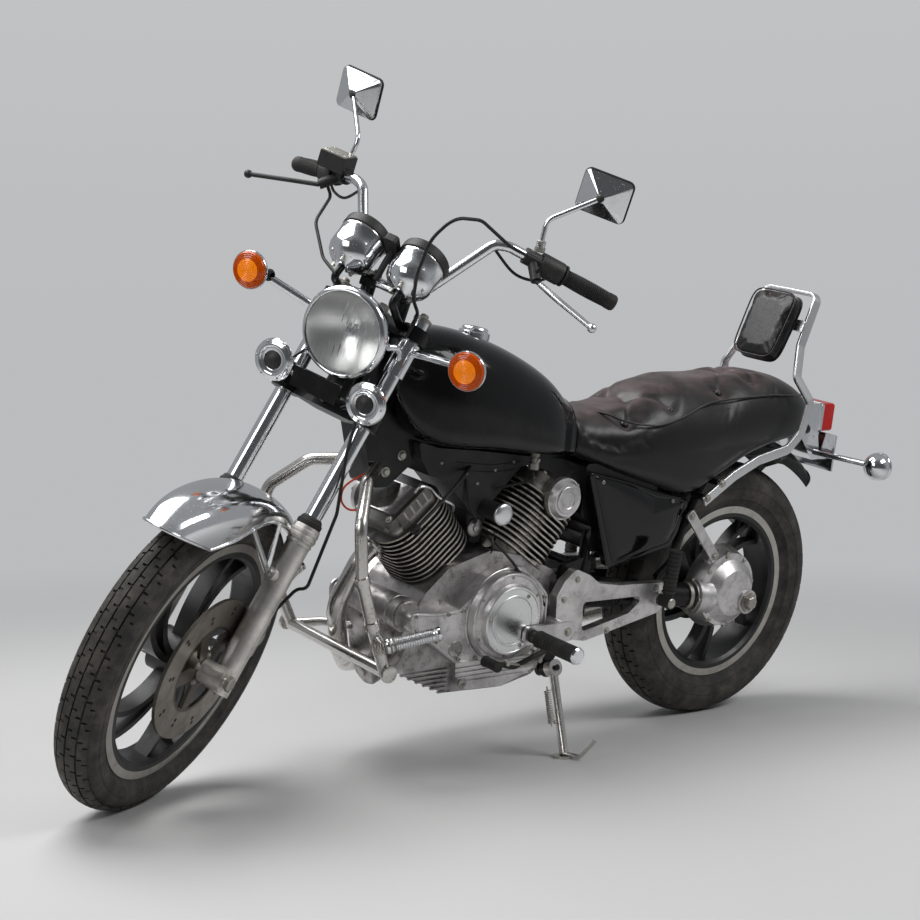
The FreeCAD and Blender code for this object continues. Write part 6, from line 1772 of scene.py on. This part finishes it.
sideCover = {
    "outline": ((-208, 664), (-340, 635), (-430, 609), (-541, 581), (-526, 540), (-516, 505), (-495, 471),
                (-298, 436)),
    # on the right the front edge stands further back
    "rightFront": ((-262, 652), (-310, 440), (-276, 500)),
    "corner": 15.0,
    # how far in from the edge, and how far out from the machine's middle
    "levels": ((0.0, 111.2), (0.6, 112.6), (4.0, 114.0), (13.0, 115.4), (15.5, 114.6), (18.0, 116.6),
               (40.0, 118.6), (80.0, 119.8)),
    "crown": 120.2,
    "back": 110.0,
    "leftScrews": ((-250, 640), (-480, 583)),
    "rightScrews": ((-292, 630), (-480, 583)),
    "screwFace": 115.5,
    "screwSize": 4.6,
}


def roundedOutline(outline, corner):
    # the outline with each corner drawn as a short curve
    dense = []
    for here, after in zip(outline, outline[1:] + outline[:1]):
        before = outline[outline.index(here) - 1]
        cut = min(corner, (after - here).length * 0.4, (here - before).length * 0.4)
        start, end = here + (before - here).normalized() * cut, here + (after - here).normalized() * cut
        for step in range(5):
            t = step / 4
            dense.append(start * (1 - t) ** 2 + here * 2 * t * (1 - t) + end * t ** 2)
    return dense


def buildCoverPanels():
    shape, screws = Shape(), []
    points = [Vector(spot) for spot in sideCover["outline"]]
    front = [Vector(spot) for spot in sideCover["rightFront"]]
    for side in (1, -1):
        dense = roundedOutline(points if side > 0 else front[:1] + points[1:7] + front[1:],
                               sideCover["corner"])
        centre = sum(dense, Vector((0, 0))) / len(dense)
        count, rows = len(dense), len(sideCover["levels"])
        every = []
        for inset, reach in sideCover["levels"]:
            for spot in dense:
                away = centre - spot
                flat = Vector((away.x, 0, away.y)).normalized() * min(inset, away.length * 0.92)
                every.append(Vector((spot.x, 0, spot.y)) + flat + Vector((0, side * reach, 0)))
        faces = ringFaces(rows, count)
        every.append(Vector((centre.x, side * sideCover["crown"], centre.y)))
        last, first = (rows - 1) * count, len(every)
        faces += [[last + n, last + (n + 1) % count, first - 1] for n in range(count)]
        every += [Vector((p.x, side * sideCover["back"], p.z)) for p in every[:count]]
        faces += [[n, (n + 1) % count, first + (n + 1) % count, first + n] for n in range(count)]
        faces.append(list(range(first, first + count)))
        shape.add(every, faces, "gloss")
        for x, z in sideCover["leftScrews" if side > 0 else "rightScrews"]:
            screws.append((Vector((x, side * sideCover["screwFace"], z)), (0, side, 0),
                           sideCover["screwSize"]))
    shape.finish("sideCoverPanels", "chassis", "body_paint", 0.0, 50.0)
    scattered("sideCoverScrews", socketHead("plainSteel"), screws, "chassis")


frameTrim = {
    # bolts on both sides: back to front, out from the middle, height, size
    "upperBolts": ((300, 40, 672, 8.0), (262, 40, 706, 8.0), (-559, 150.6, 593, 7.4),
                   (-603, 150.6, 626, 7.4)),
    "leftStrut": ((-542, 127.2, 545, 7.0),),
    "leftStrutFoot": ((-638, 127.2, 440, 7.4),),
    "lowerBolts": ((-474, 136, 392, 6.4), (-190, 136, 425, 6.0), (-156, 136, 382, 6.0), (-170, 136, 300, 6.0),
                   (-300, 136, 296, 6.0), (-444, 136, 384, 6.0), (-140, 177, 322, 8.0), (324, 46, 684, 6.0),
                   (-440, 88, 500, 5.0), (-442, 88, 640, 5.0), (-240, 88, 640, 5.0)),
    "pivotCap": ([(0, 0), (0, 20), (4, 20), (6, 17), (6, 10), (12, 10), (12, 0)],
                 (-232, 90, 372), toLeft, "plainSteel", 6),
    "shaftStart": Vector((-240, 50, 372)),
    "shaftEnd": Vector((-594, 101.3, 340.1)),
    "bootFolds": 9,
    "bootFoldPitch": 9,
    "bootStart": 60,
    "clip": [(342, 28.2), (342, 33), (352, 33), (352, 28.2)],
}


def sideBolts(rows, side):
    return [(Vector((x, side * y, z)), (0, side, 0), size) for x, y, z, size in rows]


def buildFrameTrim():
    shape, bolts = Shape(), []
    for side in (-1, 1):
        shape.turnings([frameTrim["pivotCap"]], side)
        bolts += sideBolts(frameTrim["upperBolts"], side)
        if side > 0:
            bolts += sideBolts(frameTrim["leftStrut"], side)
        bolts += sideBolts(frameTrim["lowerBolts"], side)
    bolts += sideBolts(frameTrim["leftStrutFoot"], 1)
    scattered("frameBolts", hexHead("plainSteel"), bolts, "chassis")
    start, end = frameTrim["shaftStart"], frameTrim["shaftEnd"]
    way = (end - start).normalized()
    boot, last = [], frameTrim["bootFolds"] - 1
    for number in range(last + 1):
        lift = frameTrim["bootStart"] + number * frameTrim["bootFoldPitch"]
        boot += [(lift, 29.5 + (6 if number in (0, last) else 4)), (lift + 3, 36.5 - number * 0.2),
                 (lift + 6, 36.0 - number * 0.2), (lift + 8, 31.5)]
    shape.turned([(56, 28.4), (57, 33)] + boot + [(143, 33), (144, 28.4)], start, way, "rubber", 48)
    shape.turned(frameTrim["clip"], start, way, "plainSteel", 48)
    shape.finish("shaftBoot", "chassis", "black_rubber", 0.0, 34.0)


backrest = {
    "place": (-874.0, 0.0, 970.0),
    "tilt": math.radians(-23.0),
    "half": (67, 86),
    # a low power squares the pad's outline, and the taper widens it towards the top
    "squareness": 0.36,
    "taper": 0.045,
    "rings": ((2, 0.97), (6, 1.0), (20, 1.0), (34, 0.98), (38, 0.93)),
    "welts": ((7.0, 1.0), (36.5, 0.985)),
    "weltHalf": (67.6, 86.6),
    "weltRadius": 2.0,
    "padBolts": ((-8.4, -70, 20), (-8.4, 70, 20)),
    "padBoltSize": 5.5,
    "hoopBolts": ((-559, 150.5, 593, 7.2), (-603, 150.5, 626, 7.2)),
    "cover": dict(seatPlan, voxel=0.0045, cap=0.005, pressure=4.0),
    "held": 6.0,
}
padPlace = Matrix.Translation(Vector(backrest["place"])) @ Matrix.Rotation(backrest["tilt"], 4, "Y")


def padRing(half, share, depth, count, steps):
    ring = []
    for step in range(count):
        turn = 2 * math.pi * step / steps
        y = half[0] * share * squarish(math.cos(turn), backrest["squareness"])
        z = half[1] * share * squarish(math.sin(turn), backrest["squareness"])
        ring.append(Vector((depth, y + y * backrest["taper"] * z / backrest["half"][1], z)))
    return ring


def buildPad():
    place = places["chassis"] @ padPlace
    inverse = np.array(place.inverted())
    shape = Shape()
    loftRings(shape, [padRing(backrest["half"], share, depth, 56, 56) for depth, share in backrest["rings"]],
              "leather")
    mesh = bpy.data.meshes.new("padCover")
    mesh.from_pydata([place @ point for point in shape.points], [], shape.faces)
    mesh.update()

    def held(points):
        local = points @ inverse[:3, :3].T + inverse[:3, 3]
        return local[:, 0] < backrest["held"]
    mesh = blownUp(mesh, backrest["cover"], held)
    paddedPiece("backrestPadCover", mesh, "backrest_pad")
    welt = Shape()
    for depth, share in backrest["welts"]:
        ring = padRing(backrest["weltHalf"], 1.0, depth, 49, 48)
        welt.pipe([padPlace @ Vector((p.x, p.y * share, p.z * share)) for p in ring], backrest["weltRadius"],
                  "leather", 8, False)
    welt.finish("backrestWelts", "chassis", "seat_leather", 0.0, 60.0)
    turn = padPlace.to_3x3()
    bolts = [(padPlace @ Vector(spot), turn @ Vector(toRear), backrest["padBoltSize"])
             for spot in backrest["padBolts"]]
    for side in (-1, 1):
        bolts += sideBolts(backrest["hoopBolts"], side)
    scattered("hoopBolts", hexHead("chrome"), bolts, "chassis")


tail = {
    "signal": (-1110, 205, 656),
    "signalRadius": 32.6,
    "rim": (-1050, 0, 748.5),
    "lensScrew": [(0, 0), (0, 3.4), (2, 3.2), (2.4, 2), (2.4, 0)],
    "lensScrews": ((-1104.4, -34, 724.5), (-1104.4, 34, 724.5)),
    "reflector": (-1078.5, 0, 636),
    "reflectorBack": (-1076.4, 0, 636),
    "beadRadius": 351.8,
    "beadSide": 77.6,
    "beadFrom": 48.6,
    "beadSweep": 82.8,
    "endAngle": 131.6,
    "crown": 398,
    "endSection": ((-78, 48), (-74, 26), (-47, 6), (0, 0), (47, 6), (74, 26), (78, 48)),
}


def buildTail():
    lenses, trim, fender = Shape(), Shape(), Shape()
    for side in (-1, 1):
        centre = mirrored(tail["signal"], side)
        signalLens(lenses, centre, toRear, tail["signalRadius"], "orange")
        signalBezel(trim, centre, toRear, tail["signalRadius"])
    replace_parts(lenses.finish("rearSignalLenses", "chassis", "orange_lens", 0.0, 28.0), "rear_signal_lenses")
    trim.plate(chamfered(49, 37, 5, 6), tail["rim"], toRight, toTop, 9, "chrome")
    for spot in tail["lensScrews"]:
        trim.turned(tail["lensScrew"], spot, toRear, "plainSteel", 16)
    trim.plate(rectangle(-40, 40, -15, 15), tail["reflector"], toRight, toTop, 3.5, "red")
    trim.plate(rectangle(-42, 42, -17, 17), tail["reflectorBack"], toRight, toTop, 2.6, "plastic")
    trim.finish("tailTrim", "chassis", "chrome_plate", 0.0006, 34.0)
    axle = machine["rearAxle"]
    for side in (-1, 1):
        edge = [axle + wheelWay(tail["beadFrom"] + tail["beadSweep"] * step / 24) * tail["beadRadius"]
                + Vector((0, side * tail["beadSide"], 0)) for step in range(25)]
        fender.pipe(edge, 2.6, "enamel", 8)
    way = wheelWay(tail["endAngle"])
    fender.pipe([axle + way * (tail["crown"] - drop) + Vector((0, y, 0)) for y, drop in tail["endSection"]],
                2.8, "enamel", 8)
    fender.finish("rearFenderBeads", "chassis", "frame_enamel", 0.0, 60.0)


# Final drive, pegs, guards and exhaust

drive = {
    "centre": Vector((-708, 0, 350)),
    "ring": (8, 117.6, 84.5, 10.0, 5.2),
    "ribs": {"count": 7, "from": 200, "step": 22, "low": 58, "high": 94, "half": 1.6},
    "ribFoot": Vector((-4, 116, -3)),
    "fillerPlug": [(0, 0), (0, 13), (4, 13), (6, 10), (6, 0)],
    "breather": [(0, 0), (0, 8), (4, 8), (5, 6), (12, 5), (12, 0)],
    "leftNut": [(0, 0), (0, 25), (3, 25), (3, 17), (14, 17), (16, 15), (16, 0)],
    "rightNut": [(0, 0), (0, 22), (3, 22), (3, 15), (12, 15), (12, 0)],
    "pin": ((-8, 154, 22), (0, 155, 4), (4, 154, -22)),
    "shaftWay": Vector((-0.986, 0.143, -0.089)),
    "flange": [(0, 39), (0, 45), (8, 45), (9, 39)],
}


def buildDrive():
    shape, bolts = Shape(), []
    centre, axle, way = drive["centre"], machine["rearAxle"], drive["shaftWay"]
    count, face, ring, first, size = drive["ring"]
    for spot in ringOf(count, centre + Vector((0, face, 0)), toLeft, ring, first):
        bolts.append((spot, toLeft, size))
    ribs = drive["ribs"]
    for number in range(ribs["count"]):
        out = wheelWay(ribs["from"] + number * ribs["step"])
        shape.plate(rectangle(ribs["low"], ribs["high"], -ribs["half"], ribs["half"]),
                    centre + drive["ribFoot"], out, Vector(toLeft).cross(out) * -1, 9 if number % 2 else 8,
                    "castAlloy")
    shape.turned(drive["fillerPlug"], centre + Vector((62, 116, -42)), toLeft, "plainSteel", 6)
    shape.turned(drive["breather"], centre + Vector((10, 112, 84)), (0, 0.2, 1), "plainSteel", 16)
    shape.turned(drive["leftNut"], axle + Vector((0, 142, 0)), toLeft, "plainSteel", 6)
    shape.pipe([axle + Vector(spot) for spot in drive["pin"]], 1.6, "plainSteel", 6)
    shape.turned(drive["rightNut"], axle + Vector((0, -124, 0)), toRight, "plainSteel", 6)
    shape.turned(drive["flange"], frameTrim["shaftEnd"] + Vector((-0.99, 0.143, -0.089)) * 6, way,
                 "castAlloy", 48)
    for spot in ringOf(4, frameTrim["shaftEnd"] + way * 4, way, 38.0, 45.0):
        bolts.append((spot, -way, 5.0))
    shape.finish("finalDriveTrim", "chassis", "cast_alloy", 0.0, 34.0)
    scattered("finalDriveBolts", hexHead("plainSteel"), bolts, "chassis")


def ribbed(shape, start, end, radius, finish, ribs, depth=1.6):
    # a rubber with rings round it
    start, end = Vector(start), Vector(end)
    length = (end - start).length
    profile = [(0, 0), (0, radius + 1.4), (3, radius + 2.0), (5, radius)]
    pitch = (length - 14) / ribs
    for number in range(ribs):
        lift = 7 + number * pitch
        profile += [(lift, radius - depth * 0.4), (lift + pitch * 0.2, radius + depth * 0.6),
                    (lift + pitch * 0.7, radius + depth * 0.6)]
    profile += [(length - 4, radius - 1), (length - 2, radius + 1.8), (length, radius + 1), (length, 0)]
    shape.turned(profile, start, end - start, finish, 28)


pegs = {
    # rubbers: start, end, radius, number of rings, their depth
    "rider": ((-36, 200, 324), (-36, 322, 324), 17.5, 11, 1.6),
    "passenger": ((-450.6, 169.3, 380), (-454, 174.3, 482), 14.5, 9, 1.6),
    "pedal": ((98, 184, 286), (98, 230, 286), 10.6, 6, 1.2),
    "turned": {
        "rider": (([(0, 0), (0, 13), (3, 15), (10, 15), (13, 12), (13, 0)], (-36, 186, 324), toLeft,
                   "plainSteel", 24),
                  ([(0, 15.5), (0, 18.6), (4, 18.6), (7, 15), (7, 0)], (-36, 319, 324), toLeft, "chrome",
                   28)),
        "passenger": (([(-2, 0), (-2, 12), (36, 12), (38, 10), (38, 0)], (-450, 148.5, 358), toLeft,
                       "plainSteel", 24),),
        "pedal": (([(-1, 0), (-1, 13), (8, 13), (10, 11), (10, 0)], (-92, 134.4, 292), toLeft, "plainSteel",
                   28),)},
    "bolt": ((-92, 144.5, 292, 5.0),),
    "gearRod": [(40, 190, 276), (-20, 184, 262), (-70, 170, 264)],
    "gearArm": [(-70, 172, 264), (-92, 172, 292)],
    "rodEnd": [(-6, 0), (-6, 6), (6, 6), (6, 0)],
}


def buildControls():
    rubber, metal, bolts = Shape(), Shape(), []
    for side in (-1, 1):
        for name in ("rider", "passenger", "pedal"):
            start, end, radius, rings, depth = pegs[name]
            ribbed(rubber, mirrored(start, side), mirrored(end, side), radius, "rubber", rings, depth)
            metal.turnings(pegs["turned"][name], side)
        bolts += sideBolts(pegs["bolt"], side)
    metal.pipe(pegs["gearRod"], 3.2, "plainSteel", 8)
    metal.pipe(pegs["gearArm"], 4.0, "plainSteel", 8, False)
    for spot in (pegs["gearRod"][0], pegs["gearRod"][-1]):
        metal.turned(pegs["rodEnd"], spot, toLeft, "plainSteel", 16)
    rubber.finish("footRubbers", "chassis", "black_rubber", 0.0, 50.0)
    metal.finish("footMetal", "chassis", "disc_steel", 0.0, 34.0)
    scattered("footBolts", hexHead("plainSteel"), bolts, "chassis")


guards = {
    "pegStart": (386, 206, 356),
    "pegEnd": (296, 250, 386),
    "startCap": [(0, 0), (0, 15), (2, 16), (6, 16), (8, 13), (8, 0)],
    "endCap": [(0, 0), (0, 14), (6, 15), (9, 12), (10, 6), (10, 0)],
    "coil": {"turns": 10, "start": -26, "climb": 0.42, "radius": 12.8, "wire": 1.7},
    # clamps on the bar and their screws: back to front, out from the middle, height
    "clamps": ((438, 180, 490), (404, 182, 396)),
    "clamp": [(-9, 13.2), (-9, 16.0), (9, 16.0), (9, 13.2)],
    "clampScrew": [(0, 0), (0, 6), (5, 6), (5, 0)],
    "foot": ([(0, 0), (0, 18), (4, 19), (8, 18), (10, 12), (10, 0)], (354, 184, 289), toLeft, "tiredChrome",
             32),
}


def coilRound(start, way, count, lifts, radius):
    # places on a coil, twelve to a turn, with a lift along its axis for each
    out = way.orthogonal().normalized()
    other = way.cross(out)
    coil = []
    for step in range(count):
        turn = 2 * math.pi * step / 12
        coil.append(start + way * lifts(step) + (out * math.cos(turn) + other * math.sin(turn)) * radius)
    return coil


def buildGuards():
    shape, springs = Shape(), Shape()
    coil = guards["coil"]
    for side in (-1, 1):
        start, end = mirrored(guards["pegStart"], side), mirrored(guards["pegEnd"], side)
        way = (end - start).normalized()
        ribbed(springs, start + way * 14, end + way * 4, 12.6, "brightBar", 16, 2.0)
        shape.turned(guards["startCap"], start + way * 4, way, "chrome", 28)
        shape.turned(guards["endCap"], end + way * 5, way, "chrome", 28)
        line = coilRound(start, way, coil["turns"] * 12 + 1,
                         lambda step: coil["start"] + step * coil["climb"], coil["radius"])
        shape.pipe(line, coil["wire"], "plainSteel", 6, False)
        for x, y, z in guards["clamps"]:
            shape.turned(guards["clamp"], (x, side * y, z), (0.34, 0, 0.94), "tiredChrome", 32)
            shape.turned(guards["clampScrew"], (x + 12, side * 180, z - 4), (1, 0, -0.3), "plainSteel", 6)
        shape.turnings([guards["foot"]], side)
    springs.finish("guardPegSprings", "chassis", "aged_chrome", 0.0, 50.0)
    shape.finish("guardTrim", "chassis", "aged_chrome", 0.0, 34.0)


exhaust = {
    "mufflers": (((-262, -230, 196), (-930, -230, 242)), ((-330, -230, 300), (-930, -230, 340))),
    # bands round a muffler: share of its length, extra distance, radius
    "bands": ((0.0, 4, 25.5), (0.30, 0, 38.6), (0.96, 0, 38.6)),
    "bandWidth": 12,
    "bandBolt": [(-14, 0), (-14, 5), (14, 5), (14, 0)],
    "slots": {"count": 7, "first": 110, "pitch": 26, "face": 38.3},
    "hangers": ((-450, -190, 262), (-820, -190, 288)),
    "flange": [(0, 20.5), (0, 31), (5, 31.5), (8, 29), (8, 22), (12, 21.5), (12, 20.5)],
    # exhaust ports: out from the cylinder's axis and sideways
    "ports": ((90, -8), (-101, -30)),
    "portHeight": 262,
}


def buildExhaustTrim():
    shape = Shape()
    slots = exhaust["slots"]
    for start, end in exhaust["mufflers"]:
        start, end = Vector(start), Vector(end)
        way = (end - start).normalized()
        length = (end - start).length
        for share, extra, radius in exhaust["bands"]:
            lift = length * share + extra
            after = lift + exhaust["bandWidth"]
            shape.turned([(lift, radius - 0.8), (lift, radius + 1.6), (after, radius + 1.6),
                          (after, radius - 0.8)],
                         start, way, "tiredChrome", 48)
        shape.turned(exhaust["bandBolt"], start + way * 10 + Vector((0, 0, -27.4)), toLeft, "plainSteel", 6)
        for number in range(slots["count"]):
            spot = start + way * (slots["first"] + number * slots["pitch"]) + Vector((0, -slots["face"], 0))
            shape.plate(rectangle(-9, 9, -2.4, 2.4), spot, way, way.cross(Vector(toRight)) * -1, 0.9,
                        "plastic")
    for spot in exhaust["hangers"]:
        shape.plate(rectangle(-12, 12, -50, 50), spot, toFront, toTop, 4, "enamel")
    for tilt, (across, side) in zip((engine["frontTilt"], engine["rearTilt"]), exhaust["ports"]):
        flat = cylinderWays(tilt)[1]
        shape.turned(exhaust["flange"], cylinderPoint(tilt, across, side, exhaust["portHeight"]),
                     flat * math.copysign(1, across), "tiredChrome", 40)
    shape.finish("exhaustTrim", "chassis", "aged_chrome", 0.0, 34.0)


standSpring = {
    "pivot": Vector((-166, 116, 216)),
    "foot": Vector((-0.10889, 0.06967, 0.0)),
    "shares": (0.2, 0.64),
    "gap": Vector((24, 0, 0)),
    "turns": 15,
    "radius": 6.4,
    "wire": 1.5,
}


def buildStandSpring():
    # a coil with its two hooked ends, in place of the plain bar
    foot = places["side_stand"].inverted() @ standSpring["foot"]
    start, end = (standSpring["pivot"].lerp(foot, share) + standSpring["gap"]
                  for share in standSpring["shares"])
    way = (end - start).normalized()
    length = (end - start).length
    steps = standSpring["turns"] * 12
    line = [start - way * 1, start + way * 3]
    line += coilRound(start, way, steps + 1, lambda step: 7 + (length - 14) * step / steps,
                      standSpring["radius"])
    line += [end - way * 3, end + way * 1]
    shape = Shape()
    shape.pipe(line, standSpring["wire"], "plainSteel", 7, False)
    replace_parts(shape.finish("standSpringCoil", "side_stand", "frame_enamel", 0.0, 60.0), "stand_spring")


caliper = {
    "centre": forkPoint(454.6, -34, 60),
    "boltPlaces": (-26, 26),
    "boltSize": 6.2,
    "piston": [(-0.5, 0), (-0.5, 19), (3.5, 18.4), (5.0, 16), (5.0, 6), (3.6, 5), (3.6, 0)],
    "bleeder": [(0, 0), (0, 6.5), (10, 6.5), (12, 4), (16, 3.4), (16, 0)],
    "bleederCap": [(0, 0), (0, 4.6), (9, 4.2), (10, 2), (10, 0)],
    "axleNut": [(0, 0), (0, 15), (2, 16.5), (10, 16.5), (12, 14), (12, 0)],
}


def buildCaliperTrim():
    shape, bolts = Shape(), []

    def spot(along, forward, side):
        return caliper["centre"] + steeringUp * along + steeringAhead * forward + Vector((0, side, 0))
    for along in caliper["boltPlaces"]:
        bolts.append((spot(along, 12, 36.2), toLeft, caliper["boltSize"]))
    shape.turned(caliper["piston"], spot(0, -6, 36), toLeft, "dirtyAlloy", 40)
    shape.turned(caliper["bleeder"], spot(34, -12, 26), steeringUp, "plainSteel", 6)
    shape.turned(caliper["bleederCap"], spot(34, 10, 24), steeringUp, "rubber", 14)
    shape.turned(caliper["axleNut"], machine["frontAxle"] + Vector((0, 121, 0)), toLeft, "plainSteel", 6)
    shape.finish("caliperTrim", "steering", "black_plastic", 0.0, 34.0)
    scattered("caliperBolts", hexHead("plainSteel"), bolts, "steering")


buttonProfile = [(-4, 0), (-4, 8.6), (-1.4, 8.4), (0.6, 6.8), (1.8, 3.6), (2.2, 0)]


def buildSeatTrim():
    # covered buttons and the welt along the skirt
    shape = Shape()
    middle, long, wide, drop = seatPlan["dish"]
    for x, y in seatPlan["buttons"]:
        reach = ((x - middle) / long) ** 2 + (y / wide) ** 2
        z = seatTop(x, y) - seatPlan["buttonDepth"] + 3.0 - drop * max(1 - reach, 0) ** 0.7
        shape.turned(buttonProfile, (x, y, z), seatNormal(x, y), "leather", 20)
    for side in (-1, 1):
        welt = []
        for x, share in seatPlan["welt"]:
            y = side * share * seatSection(x)[2]
            welt.append(Vector((x, y, seatTop(x, y))) + seatNormal(x, y) * 2.6)
        shape.pipe(welt, 2.4, "leather", 8)
    shape.finish("seatButtonsAndWelts", "chassis", "seat_leather", 0.0, 50.0)


buildTankTrim()
buildCoverPanels()
buildFrameTrim()
buildPad()
buildTail()
buildDrive()
buildControls()
buildGuards()
buildExhaustTrim()
buildStandSpring()
buildCaliperTrim()
buildSeatTrim()
print("rear ready")
